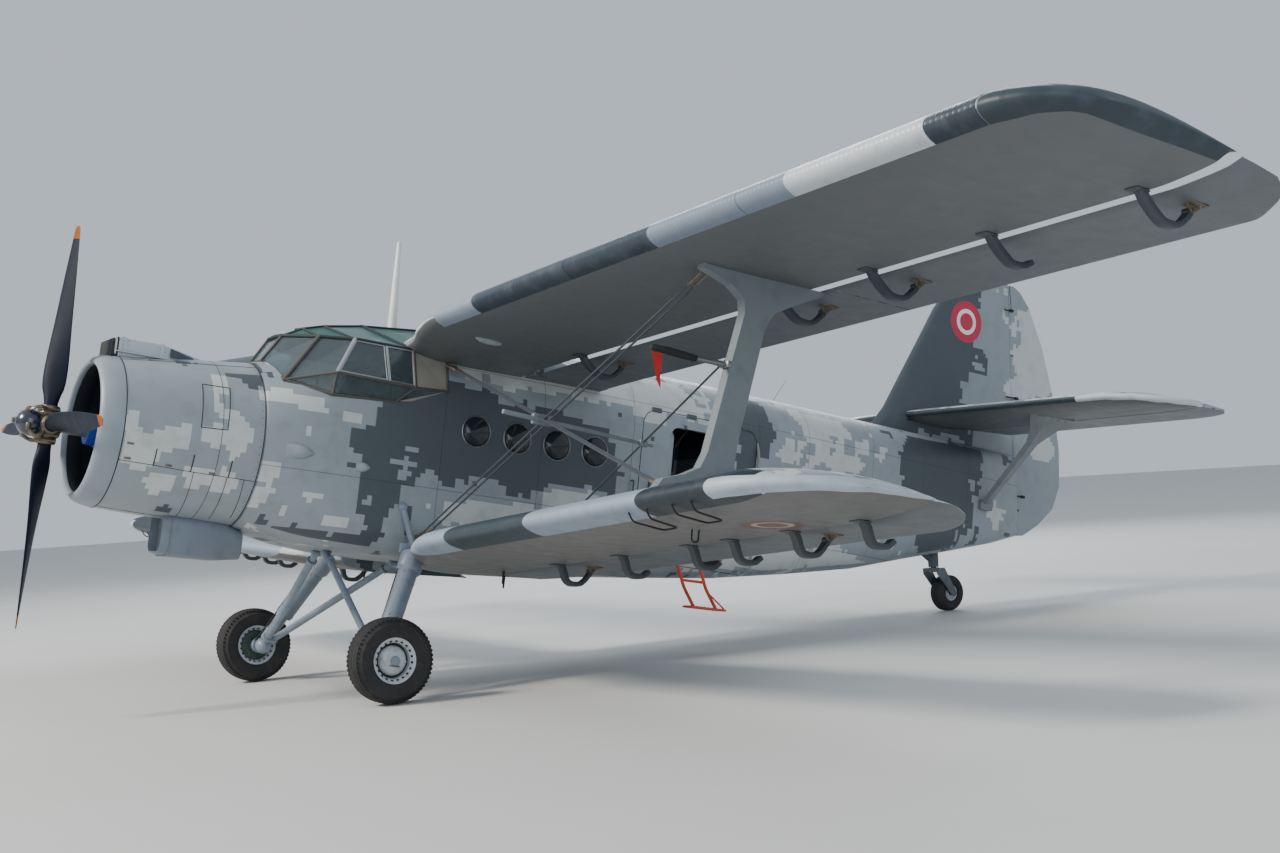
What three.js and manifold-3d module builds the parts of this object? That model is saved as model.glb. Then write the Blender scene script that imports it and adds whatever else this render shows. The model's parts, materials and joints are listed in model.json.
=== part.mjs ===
// Single-engine utility biplane with a nine-cylinder radial, parked on its tail wheel.
// Millimetres, +Z up. Airframe axes: X forward, Y to port, Z up, origin midway between the main axles.
import * as THREE from "three";
import { mergeVertices } from "three/addons/utils/BufferGeometryUtils.js";
import { ConvexGeometry } from "three/addons/geometries/ConvexGeometry.js";
import Module from "manifold-3d";

const wasm = await Module();
wasm.setup();

// Driving dimensions
const PITCH = 10.8; // degrees, nose up when parked
const MAIN_TYRE_RADIUS = 380;
const TAIL_TYRE_RADIUS = 220;
const HALF_TRACK = 1680;
const WALL = 60; // cabin wall with its frames
const GAP = 0.3; // between fixed neighbours
const RUN = 8; // round moving pieces
const PORT = 1;
const STARBOARD = -1;
const SIDES = [
  { side: PORT, tag: "L" },
  { side: STARBOARD, tag: "R" },
];

// Finishes
const PAINT = {
  grey: { color: 0x8b98a6, roughness: 0.5, metalness: 0.1 },
  pale: { color: 0xb9c2ca, roughness: 0.5, metalness: 0.1 },
  slate: { color: 0x3c464f, roughness: 0.5, metalness: 0.1 },
  leading: { color: 0xc9d1d9, roughness: 0.35, metalness: 0.4 },
  canopy: { color: 0x2c4a4c, roughness: 0.5, metalness: 0.2 },
  glass: { color: 0x9fb4bd, roughness: 0.05, metalness: 0, transparent: true, opacity: 0.35 },
  blade: { color: 0x1b1f2a, roughness: 0.4, metalness: 0.2 },
  bronze: { color: 0x9a8466, roughness: 0.45, metalness: 0.6 },
  steel: { color: 0x8e949b, roughness: 0.4, metalness: 0.7 },
  engine: { color: 0x5b6168, roughness: 0.6, metalness: 0.5 },
  rubber: { color: 0x1c1c1e, roughness: 0.9, metalness: 0 },
  seat: { color: 0x4b4238, roughness: 0.9, metalness: 0 },
  floor: { color: 0x6f7678, roughness: 0.8, metalness: 0.1 },
  red: { color: 0xc4502e, roughness: 0.5, metalness: 0.1 },
};

const rad = THREE.MathUtils.degToRad;
const lerp = THREE.MathUtils.lerp;
const vec = (x, y, z) => new THREE.Vector3(x, y, z);

// Solids
function solid(geometry) {
  const bare = new THREE.BufferGeometry();
  bare.setAttribute("position", geometry.getAttribute("position").clone());
  if (geometry.index) bare.setIndex(geometry.index.clone());
  const merged = mergeVertices(bare, 1e-3);
  const triVerts = [];
  for (let i = 0; i < merged.index.count; i += 3) {
    const [a, b, c] = [0, 1, 2].map((k) => merged.index.getX(i + k));
    if (a !== b && b !== c && c !== a) triVerts.push(a, b, c);
  }
  return new wasm.Manifold(
    new wasm.Mesh({
      numProp: 3,
      vertProperties: merged.attributes.position.array,
      triVerts: new Uint32Array(triVerts),
    }),
  );
}

function geometryOf(manifold) {
  const mesh = manifold.getMesh();
  const made = new THREE.BufferGeometry();
  made.setAttribute("position", new THREE.BufferAttribute(Float32Array.from(mesh.vertProperties), 3));
  made.setIndex(new THREE.BufferAttribute(Uint32Array.from(mesh.triVerts), 1));
  return made;
}

const join = (first, ...rest) => rest.reduce((sum, next) => sum.add(next), first);
const cut = (body, ...tools) => tools.reduce((left, tool) => left.subtract(tool), body);
const placed = (body, matrix) => solid(geometryOf(body).applyMatrix4(matrix));

// Skins rings of equal count, fans both ends shut, and faces the result outwards.
function loft(rings) {
  const count = rings[0].length;
  const points = rings.flat();
  const index = [];
  for (let k = 0; k + 1 < rings.length; k++)
    for (let i = 0; i < count; i++) {
      const a = k * count + i;
      const b = k * count + ((i + 1) % count);
      index.push(a, b, b + count, a, b + count, a + count);
    }
  for (const start of [0, (rings.length - 1) * count]) {
    const hub = points.length;
    const middle = vec(0, 0, 0);
    for (let i = 0; i < count; i++) middle.addScaledVector(points[start + i], 1 / count);
    points.push(middle);
    for (let i = 0; i < count; i++) {
      const [a, b] = [start + i, start + ((i + 1) % count)];
      index.push(...(start ? [hub, a, b] : [hub, b, a]));
    }
  }
  return solid(facingOut(new THREE.BufferGeometry().setFromPoints(points).setIndex(index)));
}

// Turns every face round where a closed surface encloses a negative volume.
function facingOut(geometry) {
  const index = Array.from(geometry.index.array);
  const corner = (i) => vec(0, 0, 0).fromBufferAttribute(geometry.getAttribute("position"), index[i]);
  let volume = 0;
  for (let i = 0; i < index.length; i += 3) volume += corner(i).dot(corner(i + 1).cross(corner(i + 2)));
  return volume < 0 ? geometry.setIndex(index.reverse()) : geometry;
}

function box(x0, x1, y0, y1, z0, z1) {
  const made = new THREE.BoxGeometry(Math.abs(x1 - x0), Math.abs(y1 - y0), Math.abs(z1 - z0));
  return solid(made.translate((x0 + x1) / 2, (y0 + y1) / 2, (z0 + z1) / 2));
}

function rod(from, to, radius, endRadius = radius, sides = 16) {
  const along = to.clone().sub(from);
  const made = new THREE.CylinderGeometry(endRadius, radius, along.length(), sides);
  made.translate(0, along.length() / 2, 0);
  made.applyQuaternion(new THREE.Quaternion().setFromUnitVectors(vec(0, 1, 0), along.normalize()));
  return solid(made.translate(from.x, from.y, from.z));
}

// Turns a profile of [radius, height] pairs round the axis from one point towards another.
function turned(profile, from, towards, sides = 32) {
  const made = new THREE.LatheGeometry(
    profile.map(([radius, height]) => new THREE.Vector2(radius, height)),
    sides,
  );
  const axis = towards.clone().sub(from).normalize();
  made.applyQuaternion(new THREE.Quaternion().setFromUnitVectors(vec(0, 1, 0), axis));
  return solid(facingOut(made.translate(from.x, from.y, from.z)));
}

// Pushes a side-view outline of [x, z] pairs from y0 to y1.
function sideCut(outline, y0, y1) {
  const shape = new THREE.Shape(outline.map(([x, z]) => new THREE.Vector2(x, z)));
  const made = new THREE.ExtrudeGeometry(shape, { depth: Math.abs(y1 - y0), bevelEnabled: false });
  made.rotateX(Math.PI / 2);
  return solid(made.translate(0, Math.max(y0, y1), 0));
}

// Pushes a plan outline of [x, y] pairs from z0 to z1.
function planCut(outline, z0, z1) {
  const shape = new THREE.Shape(outline.map(([x, y]) => new THREE.Vector2(x, y)));
  const made = new THREE.ExtrudeGeometry(shape, { depth: z1 - z0, bevelEnabled: false });
  return solid(made.translate(0, 0, z0));
}

function mesh(name, manifold, finish) {
  const material = new THREE.MeshStandardMaterial(finish);
  const made = new THREE.Mesh(geometryOf(manifold), material);
  made.name = name;
  return made;
}

function group(parent, position = vec(0, 0, 0), rotation = [0, 0, 0]) {
  const made = new THREE.Group();
  made.position.copy(position);
  made.rotation.set(...rotation);
  parent.add(made);
  return made;
}

// Fuselage stations: half width, bottom, top, then the radii of the upper and lower corners.
const STATIONS = [
  { x: 1040, half: 790, bottom: 1062, top: 2625, crown: 700, bilge: 720 },
  { x: 850, half: 820, bottom: 1036, top: 2660, crown: 640, bilge: 640 },
  { x: 450, half: 870, bottom: 985, top: 2900, crown: 640, bilge: 480 },
  { x: 0, half: 892, bottom: 957, top: 3110, crown: 680, bilge: 340 },
  { x: -650, half: 900, bottom: 952, top: 3225, crown: 700, bilge: 270 },
  { x: -1900, half: 900, bottom: 972, top: 3258, crown: 700, bilge: 240 },
  { x: -3000, half: 900, bottom: 1028, top: 3258, crown: 690, bilge: 240 },
  { x: -4100, half: 850, bottom: 1138, top: 3250, crown: 640, bilge: 260 },
  { x: -5200, half: 735, bottom: 1300, top: 3238, crown: 540, bilge: 290 },
  { x: -6250, half: 600, bottom: 1474, top: 3224, crown: 430, bilge: 290 },
  { x: -7150, half: 470, bottom: 1690, top: 3216, crown: 330, bilge: 270 },
  { x: -8000, half: 335, bottom: 1886, top: 3214, crown: 240, bilge: 220 },
  { x: -8650, half: 215, bottom: 2046, top: 3212, crown: 160, bilge: 150 },
  { x: -9250, half: 80, bottom: 2232, top: 3210, crown: 64, bilge: 64 },
];
const CORNER_STEPS = 6;
const FIREWALL = 1040;
const COCKPIT_REAR = -650;
const CABIN_REAR = -4450;
const TAIL_END = -9250;

function stationAt(x) {
  const after = STATIONS.findIndex((row) => row.x <= x);
  if (after <= 0) return { ...STATIONS[0], x };
  const [a, b] = [STATIONS[after - 1], STATIONS[after]];
  const t = (x - a.x) / (b.x - a.x);
  const row = { x };
  for (const key of ["half", "bottom", "top", "crown", "bilge"]) row[key] = lerp(a[key], b[key], t);
  return row;
}

function hoop({ x, half, bottom, top, crown, bilge }, grow) {
  const corners = [
    [half - crown, top - crown, crown, 0],
    [crown - half, top - crown, crown, 90],
    [bilge - half, bottom + bilge, bilge, 180],
    [half - bilge, bottom + bilge, bilge, 270],
  ];
  return corners.flatMap(([y, z, radius, start]) =>
    Array.from({ length: CORNER_STEPS + 1 }, (_, k) => {
      const angle = rad(start + (90 * k) / CORNER_STEPS);
      return vec(x, y + (radius + grow) * Math.cos(angle), z + (radius + grow) * Math.sin(angle));
    }),
  );
}

function hull(front, rear, grow = 0) {
  const inside = STATIONS.map((row) => row.x).filter((x) => x < front && x > rear);
  return loft([front, ...inside, rear].map((x) => hoop(stationAt(x), grow)));
}

// Openings in the fuselage
const SILL = [
  [970, 2660],
  [880, 2436],
  [493, 2350],
  [-125, 2376],
  [-282, 2402],
  [COCKPIT_REAR, 2560],
];
const CANOPY_ZONE = [...SILL, [COCKPIT_REAR, 3500], [970, 3500]];
const PORTHOLES = { xs: [-993, -1445, -1893, -2336], z: 2224, radius: 140, ring: 168 };
const CARGO_DOOR = { front: -2916, rear: -4376, bottom: 1236, top: 2740, corner: 180 };
const PASSENGER_DOOR = { front: -3240, rear: -4060, bottom: 1250, top: 2630, corner: 110 };

function grownOutline(outline, by) {
  const middle = outline.reduce(([x, z], [a, b]) => [x + a / outline.length, z + b / outline.length], [0, 0]);
  return outline.map(([x, z]) => [x + Math.sign(x - middle[0]) * by, z + Math.sign(z - middle[1]) * by]);
}

function doorOutline({ front, rear, bottom, top, corner }, shrink = 0) {
  const [x0, x1, z0, z1] = [rear + shrink, front - shrink, bottom + shrink, top - shrink];
  const arc = (x, z, start) =>
    Array.from({ length: 5 }, (_, k) => {
      const angle = rad(start + 22.5 * k);
      return [x + corner * Math.cos(angle), z + corner * Math.sin(angle)];
    });
  return [[x0, z0], [x1, z0], ...arc(x1 - corner, z1 - corner, 0), ...arc(x0 + corner, z1 - corner, 90)];
}

// Airfoil: nose at x = 0, tail at x = 1, both surfaces as share of the chord.
function airfoil(x, thickness, camber) {
  const poly = 0.2969 * Math.sqrt(x) - 0.126 * x - 0.3516 * x ** 2 + 0.2843 * x ** 3 - 0.1015 * x ** 4;
  const half = 5 * thickness * poly;
  const middle = 4 * camber * x * (1 - x);
  return { upper: middle + half, lower: middle - half };
}

const FOIL_STEPS = 9;
function foilRing({ y, nose, z, chord, thickness }, camber, grow = 0) {
  const upper = [];
  const lower = [];
  for (let k = 0; k <= FOIL_STEPS; k++) {
    const x = (1 - Math.cos((Math.PI * k) / FOIL_STEPS)) / 2;
    const at = airfoil(x, thickness, camber);
    const along = nose + grow - x * (chord + 2 * grow);
    upper.push(vec(along, y, z + at.upper * chord + (k ? grow : 0)));
    if (k) lower.unshift(vec(along, y, z + at.lower * chord - grow));
  }
  return [...upper, ...lower];
}

// Wings: root leading edge at y = 0, then spanwise rows in the panel's own axes, nose measured forward of it.
const UPPER_WING = {
  name: "upper",
  root: vec(33, 0, 2958),
  dihedral: 2.98,
  incidence: 3.31,
  camber: 0.03,
  chord: 2400,
  slot: 44,
  rows: [
    { y: 300, nose: -330, z: -10, chord: 2070, thickness: 0.15 },
    { y: 900, nose: -250, z: -8, chord: 2150, thickness: 0.148 },
    { y: 1300, nose: -110, z: -3, chord: 2290, thickness: 0.143 },
    { y: 1850, nose: 0, z: 0, chord: 2400, thickness: 0.14 },
    { y: 8560, nose: 0, z: 0, chord: 2390, thickness: 0.14 },
    { y: 8800, nose: -70, z: 2, chord: 2200, thickness: 0.128 },
    { y: 8980, nose: -220, z: 8, chord: 1900, thickness: 0.108 },
    { y: 9090, nose: -480, z: 16, chord: 1440, thickness: 0.075 },
  ],
};
const LOWER_WING = {
  name: "lower",
  root: vec(84, 0, 869),
  dihedral: 4.27,
  incidence: 1.81,
  camber: 0.03,
  chord: 2000,
  slot: 32,
  rows: [
    { y: 780, nose: -560, z: 40, chord: 1440, thickness: 0.17 },
    { y: 1100, nose: -470, z: 26, chord: 1530, thickness: 0.165 },
    { y: 1600, nose: -200, z: 8, chord: 1800, thickness: 0.15 },
    { y: 2250, nose: 0, z: 0, chord: 2000, thickness: 0.14 },
    { y: 6420, nose: 0, z: 0, chord: 2000, thickness: 0.14 },
    { y: 6700, nose: -90, z: 4, chord: 1820, thickness: 0.128 },
    { y: 6960, nose: -330, z: 14, chord: 1380, thickness: 0.11 },
    { y: 7118, nose: -700, z: 22, chord: 780, thickness: 0.08 },
  ],
};
const SLAT = { share: 0.12, from: 1860, to: 8540 };
// Surfaces by span. Arms carry them: those in pinned hold a pin, the others only reach under the surface.
const SURFACES = [
  { name: "upper_flap", wing: UPPER_WING, from: 1000, to: 5420, pinned: [2050, 4980], arms: [] },
  { name: "aileron", wing: UPPER_WING, from: 5432, to: 9200, pinned: [6040, 8480], arms: [7230] },
  {
    name: "lower_flap", wing: LOWER_WING, from: 1220, to: 7300,
    pinned: [2430, 5690], arms: [3430, 4430, 4960, 6450],
  },
];
const SLOT = { share: 0.645, noseShare: 0.705 }; // of the chord
const HINGE = { share: 0.785, below: 36 }; // of the chord, and under the lower surface
const ARM = { wide: 44, boss: 19, bore: 10, pin: 9, lug: 14, apart: 6 };
// Arm from the slot's edge down and back to the hinge, as share of the way and depth under the hinge.
const ARM_ROWS = [
  { along: -0.1, down: -24, deep: 30 },
  { along: 0.02, down: 62, deep: 30 },
  { along: 0.13, down: 116, deep: 28 },
  { along: 0.33, down: 144, deep: 26 },
  { along: 0.6, down: 138, deep: 26 },
  { along: 0.84, down: 82, deep: 26 },
  { along: 1, down: 12, deep: 26 },
];

function wingBody({ rows, camber }, side, grow = 0) {
  return loft(rows.map((row) => foilRing({ ...row, y: row.y * side }, camber, grow)));
}

// Slot of a wing in the panel's axes: its edge, and the centre and radius of the nose behind it.
function slotOf({ chord, camber, slot }) {
  const at = airfoil(SLOT.noseShare, 0.14, camber);
  const radius = ((at.upper - at.lower) / 2) * chord * 0.995;
  const edge = -SLOT.share * chord;
  return { edge, radius, x: edge - slot - radius, z: ((at.upper + at.lower) / 2) * chord };
}

// Hinge line of a wing's surfaces, under the lower skin.
function hingeOf({ chord, camber }) {
  const at = airfoil(HINGE.share, 0.14, camber);
  return { x: -HINGE.share * chord, z: at.lower * chord - HINGE.below };
}

// Curved arm that carries a surface at one place along the span.
function arm(slot, hinge, side, y, pinned) {
  const rows = ARM_ROWS.slice(0, pinned ? ARM_ROWS.length : ARM_ROWS.length - 1);
  const body = loft(
    rows.map(({ along, down, deep }) => {
      const x = lerp(slot.edge, hinge.x, along);
      const z = hinge.z - down;
      const [inner, outer] = [side * (y - ARM.wide / 2), side * (y + ARM.wide / 2)];
      const rearLean = along > 0.8 ? vec(-deep / 2, 0, -deep / 4) : vec(0, 0, -deep / 2);
      const lean = along < 0.1 ? vec(deep / 2, 0, 0) : rearLean;
      return [
        vec(x, inner, z).add(lean),
        vec(x, outer, z).add(lean),
        vec(x, outer, z).sub(lean),
        vec(x, inner, z).sub(lean),
      ];
    }),
  );
  if (!pinned) return body;
  const ends = (half) => [vec(hinge.x, side * (y - half), hinge.z), vec(hinge.x, side * (y + half), hinge.z)];
  const boss = rod(...ends(ARM.wide / 2), ARM.boss, ARM.boss, 8);
  return cut(join(body, boss), rod(...ends(60), ARM.bore, ARM.bore, 8));
}

// Lug and pin of a surface beside such an arm.
function lug(hinge, side, y) {
  const near = y + ARM.wide / 2 + ARM.apart;
  const far = near + ARM.lug;
  const at = (place) => vec(hinge.x, side * place, hinge.z);
  return join(
    spanBox(side, near, far, hinge.x - 18, hinge.x + 18, hinge.z, hinge.z + HINGE.below + 30),
    rod(at(near), at(far), 18, 18, 8),
    rod(at(y - ARM.wide / 2), at(far - 2), ARM.pin, ARM.pin, 8),
  );
}

function spanBox(side, from, to, x0, x1, z0, z1) {
  return box(x0, x1, side * from, side * to, z0, z1);
}

const airframe = new THREE.Group();
airframe.rotation.y = -rad(PITCH);
airframe.position.z = MAIN_TYRE_RADIUS;

// Fuselage shells
function canopyHull(grow) {
  // Corners of the glasshouse on one side: x forward, y out, z up.
  const corners = [
    { x: 960, y: 150, z: 2640 },
    { x: 890, y: 655, z: 2434 },
    { x: 790, y: 180, z: 2918 },
    { x: 570, y: 565, z: 2908 },
    { x: 504, y: 945, z: 2542 },
    { x: 289, y: 752, z: 2913 },
    { x: 493, y: 872, z: 2346 },
    { x: -125, y: 888, z: 2372 },
    { x: -288, y: 950, z: 2530 },
    { x: COCKPIT_REAR, y: 905, z: 2556 },
    { x: COCKPIT_REAR, y: 800, z: 2890 },
    { x: -300, y: 778, z: 2915 },
    { x: 640, y: 300, z: 3000 },
    { x: 435, y: 300, z: 3062 },
    { x: 44, y: 300, z: 3136 },
    { x: COCKPIT_REAR, y: 300, z: 3214 },
    { x: 600, y: 0, z: 3036 },
    { x: 44, y: 0, z: 3160 },
    { x: COCKPIT_REAR, y: 0, z: 3228 },
  ];
  const middle = vec(100, 0, 2600);
  const points = corners.flatMap(({ x, y, z }) =>
    SIDES.map(({ side }) => {
      const point = vec(x, y * side, z);
      const away = point.clone().sub(middle);
      const ends = x === COCKPIT_REAR ? vec(0, 1, 1) : vec(1, 1, 1);
      const step = vec(Math.sign(away.x), Math.sign(away.y), Math.sign(away.z)).multiplyScalar(grow);
      return point.add(step.multiply(ends));
    }),
  );
  return solid(new ConvexGeometry(points));
}

function noseFuselage() {
  const shell = cut(hull(FIREWALL, COCKPIT_REAR), hull(FIREWALL - WALL, COCKPIT_REAR - 10, -WALL));
  return cut(shell, sideCut(CANOPY_ZONE, -2000, 2000));
}

function portholeCutters(side, radius) {
  return PORTHOLES.xs.map((x) =>
    rod(vec(x, side * 700, PORTHOLES.z), vec(x, side * 1000, PORTHOLES.z), radius, radius, 18),
  );
}

function cabinShell() {
  const shell = cut(hull(COCKPIT_REAR - GAP, CABIN_REAR), hull(COCKPIT_REAR + 10, CABIN_REAR - 10, -WALL));
  const doorway = sideCut(doorOutline(CARGO_DOOR), 500, 1200);
  return cut(
    shell,
    doorway,
    ...portholeCutters(PORT, PORTHOLES.radius),
    ...portholeCutters(STARBOARD, PORTHOLES.radius),
  );
}

function doorPanel(frame, shrink, y0 = 500) {
  const wall = cut(hull(-2800, CABIN_REAR, 0), hull(-2790, CABIN_REAR - 10, -WALL));
  const side = sideCut(doorOutline(frame, shrink), y0, 1200);
  return wall.intersect(side);
}

function canopyFrame() {
  const zone = sideCut(grownOutline(CANOPY_ZONE, -GAP), -2000, 2000);
  const shell = cut(canopyHull(0), canopyHull(-34)).intersect(zone);
  const rearFace = COCKPIT_REAR + GAP;
  const rear = sideCut(
    [[rearFace - 60, 2300], [rearFace, 2300], [rearFace, 3400], [rearFace - 60, 3400]],
    -1200,
    1200,
  );
  // Side panes as [x, z] outlines, cut through both sides at once.
  const panes = [
    [[782, 2482], [560, 2862], [348, 2872], [520, 2566]],
    [[472, 2580], [290, 2874], [-2, 2874], [-6, 2576]],
    [[-36, 2576], [-32, 2874], [-300, 2874], [-262, 2576]],
    [[735, 2432], [520, 2500], [470, 2392]],
    [[440, 2392], [474, 2496], [-120, 2500], [-106, 2404]],
  ];
  const sides = panes.flatMap((outline) => [sideCut(outline, 500, 1200), sideCut(outline, -1200, -500)]);
  // Windscreen panes as [y, z] outlines seen from ahead.
  const screens = [
    [[-120, 2668], [120, 2668], [120, 2890], [-120, 2890]],
    [[165, 2640], [560, 2512], [500, 2872], [180, 2884]],
    [[-165, 2640], [-180, 2884], [-500, 2872], [-560, 2512]],
  ];
  const fronts = screens.map((outline) => {
    const shape = new THREE.Shape(outline.map(([y, z]) => new THREE.Vector2(y, z)));
    const made = new THREE.ExtrudeGeometry(shape, { depth: 900, bevelEnabled: false });
    made.applyMatrix4(new THREE.Matrix4().makeBasis(vec(0, 1, 0), vec(0, 0, 1), vec(1, 0, 0)));
    return solid(made.translate(520, 0, 0));
  });
  return cut(shell, rear, cockpitWell(), ...sides, ...fronts);
}

// The open space between the cockpit sills.
function cockpitWell() {
  const half = [[890, 540], [500, 820], [-125, 836], [COCKPIT_REAR - 20, 848]];
  const outline = [...half, ...half.slice().reverse().map(([x, y]) => [x, -y])];
  return planCut(outline, 2250, 2640);
}

function canopyGlass() {
  const liner = cut(canopyHull(-34 - GAP), canopyHull(-40));
  const zone = [
    [955, 2655], [878, 2440], [493, 2354], [-125, 2380],
    [-270, 2404], [-330, 2420], [-330, 2900], [955, 2900],
  ];
  return cut(liner.intersect(sideCut(zone, -1200, 1200)), cockpitWell());
}

const fuselage = group(airframe);
const fuselageGrown = hull(FIREWALL + 1, TAIL_END, GAP);
const canopyGrown = canopyHull(GAP);
fuselage.add(mesh("nose_fuselage", noseFuselage(), PAINT.grey));
fuselage.add(mesh("cabin_shell", cabinShell(), PAINT.grey));
fuselage.add(mesh("canopy_frame", canopyFrame(), PAINT.canopy));
fuselage.add(mesh("canopy_glass", canopyGlass(), PAINT.glass));

// Porthole panes: one clear strip a side, seated behind the wall
for (const { side, tag } of SIDES) {
  const wallInside = 900 - WALL - GAP;
  const xs = PORTHOLES.xs;
  const strip = box(
    xs[0] + 180, xs[3] - 180,
    side * (wallInside - 6), side * wallInside,
    PORTHOLES.z - 170, PORTHOLES.z + 170,
  );
  fuselage.add(mesh("porthole_panes_" + tag, strip, PAINT.glass));
}

// Doors
const DOOR_OPEN = 92; // degrees, swung inwards as parked
const doorHinge = vec(PASSENGER_DOOR.front - 14, 812, 0);
const BARREL = { radius: 8, long: 40, heights: [1400, 2400] };
// A hinge barrel on its arm; reach runs from the axis along X, and the arm stands up to the panel.
function barrel(z, reach, inset) {
  const { x, y } = doorHinge;
  return join(
    rod(vec(x, y, z), vec(x, y, z + BARREL.long), BARREL.radius),
    box(x, x + reach, y - BARREL.radius, y, z, z + BARREL.long),
    box(x + reach, x + reach - Math.sign(reach) * inset, y - BARREL.radius, y + 26, z, z + BARREL.long),
  );
}
const cargoDoor = join(
  cut(doorPanel(CARGO_DOOR, GAP), sideCut(doorOutline(PASSENGER_DOOR), 500, 1200)),
  ...BARREL.heights.map((z) => barrel(z + BARREL.long + 0.4, 34, 14)),
);
fuselage.add(mesh("cargo_door", cargoDoor, PAINT.grey));
const passengerHinge = group(fuselage, doorHinge, [0, 0, rad(DOOR_OPEN)]);
passengerHinge.name = "hinge_passenger_door";
{
  const leaf = join(doorPanel(PASSENGER_DOOR, RUN), ...BARREL.heights.map((z) => barrel(z, -34, 26)));
  const local = placed(leaf, new THREE.Matrix4().makeTranslation(-doorHinge.x, -doorHinge.y, 0));
  passengerHinge.add(mesh("passenger_door", local, PAINT.grey));
}

// Rear fuselage and cabin fittings
const RUDDER_LEAN = 7; // degrees, hinge line leaning forward
const RUDDER_FOOT = vec(-9190, 0, 2200);
const RUDDER_NOSE = 60;
function behindRudderLine(offset) {
  const tool = box(-3000, offset, -800, 800, -600, 4200);
  const lean = new THREE.Matrix4().makeRotationY(rad(RUDDER_LEAN));
  return placed(tool, lean.setPosition(RUDDER_FOOT));
}
const rearFuselage = cut(hull(CABIN_REAR - GAP, TAIL_END), behindRudderLine(RUDDER_NOSE + RUN));

const FLOOR = { top: 1226, thick: 36, rear: -4200, cockpitTop: 1540 };
function cabinFloor() {
  const wide = 800;
  return join(
    box(COCKPIT_REAR + 30, FLOOR.rear, -wide, wide, FLOOR.top - FLOOR.thick, FLOOR.top),
    box(COCKPIT_REAR + 30, COCKPIT_REAR + 66, -wide, wide, FLOOR.top - FLOOR.thick, FLOOR.cockpitTop),
    box(COCKPIT_REAR + 30, 900, -640, 640, FLOOR.cockpitTop - FLOOR.thick, FLOOR.cockpitTop),
    box(COCKPIT_REAR + 30, -100, -wide, wide, FLOOR.cockpitTop - FLOOR.thick, FLOOR.cockpitTop),
  ).intersect(hull(FIREWALL - WALL - GAP, CABIN_REAR + 1, -WALL - GAP));
}
function bulkhead() {
  const plate = hull(COCKPIT_REAR + 64, COCKPIT_REAR + 34, -WALL - GAP);
  const doorway = box(-800, -500, -330, 330, FLOOR.cockpitTop, 2950);
  const under = box(-800, -500, -900, 900, 900, FLOOR.cockpitTop - 20);
  const inCanopy = cut(box(-800, -500, -1100, 1100, 2640, 3400), canopyHull(-41));
  const shoulder = cut(box(-800, -500, -1100, 1100, 2500, 2650), box(-900, -400, -820, 820, 2400, 2700));
  return cut(plate, doorway, under, inCanopy, shoulder);
}
fuselage.add(mesh("floor_and_bulkhead", join(cabinFloor(), bulkhead()), PAINT.floor));

function pilotSeat(side) {
  const y = side * 400;
  const seat = join(
    box(-330, 80, y - 210, y + 210, FLOOR.cockpitTop + 280, FLOOR.cockpitTop + 380),
    box(-400, -310, y - 210, y + 210, FLOOR.cockpitTop + 280, FLOOR.cockpitTop + 960),
    box(-300, 20, y - 150, y + 150, FLOOR.cockpitTop + GAP, FLOOR.cockpitTop + 300),
  );
  return seat;
}
for (const { side, tag } of SIDES) fuselage.add(mesh("pilot_seat_" + tag, pilotSeat(side), PAINT.seat));
const panel = join(
  sideCut([[620, 2060], [590, 2420], [700, 2470], [760, 2420], [700, 2060]], -600, 600),
  box(640, 700, -120, 120, FLOOR.cockpitTop + GAP, 2100),
);
fuselage.add(mesh("instrument_panel", panel, PAINT.slate));

// Fin, rudder, stabiliser and elevator
const FOIL_SHARES = [
  { along: 0, share: 0 },
  { along: 0.02, share: 0.34 },
  { along: 0.07, share: 0.6 },
  { along: 0.2, share: 0.87 },
  { along: 0.42, share: 1 },
  { along: 0.7, share: 0.86 },
];
// One section of a fixed tail surface: nose to rear face, then back along the other side.
function tailRing(front, rear, half, rearHalf, place) {
  const one = FOIL_SHARES.map(({ along, share }) => [lerp(front, rear, along), half * share]);
  one.push([rear, rearHalf]);
  const other = one.slice(1).reverse().map(([x, h]) => [x, -h]);
  return [...one, ...other].map(([x, h]) => place(x, h));
}
// One section of a hinged tail surface: a round nose about the hinge, tapering to the trailing edge.
function hingedRing(radius, chord, place) {
  const nose = [-90, -60, -30, 0, 30, 60, 90].map((a) => [radius * Math.cos(rad(a)), radius * Math.sin(rad(a))]);
  return [...nose, [-chord, 7], [-chord, -7]].map(([x, h]) => place(x, h));
}

// Fin rows: height along the hinge line, nose ahead of it, half thickness.
const FIN_ROWS = [
  { s: 940, front: 3000, half: 90 },
  { s: 1240, front: 2620, half: 92 },
  { s: 1400, front: 2330, half: 94 },
  { s: 1566, front: 2170, half: 95 },
  { s: 2825, front: 1312, half: 74 },
  { s: 3040, front: 1130, half: 66 },
  { s: 3160, front: 900, half: 50 },
  { s: 3215, front: 560, half: 26 },
];
const RUDDER_ROWS = [
  { s: 10, chord: 130 },
  { s: 140, chord: 400 },
  { s: 350, chord: 680 },
  { s: 640, chord: 822 },
  { s: 1110, chord: 838 },
  { s: 1880, chord: 735 },
  { s: 2440, chord: 578 },
  { s: 2940, chord: 360 },
  { s: 3130, chord: 210 },
  { s: 3205, chord: 90 },
];
const rudderNose = (s) => lerp(RUDDER_NOSE, 26, s / 3215);
const tailFrame = group(airframe, RUDDER_FOOT, [0, rad(RUDDER_LEAN), 0]);
tailFrame.name = "hinge_rudder";

const STAB = { z: 3452, hinge: -8250, nose: 42, tip: 3600 };
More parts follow.
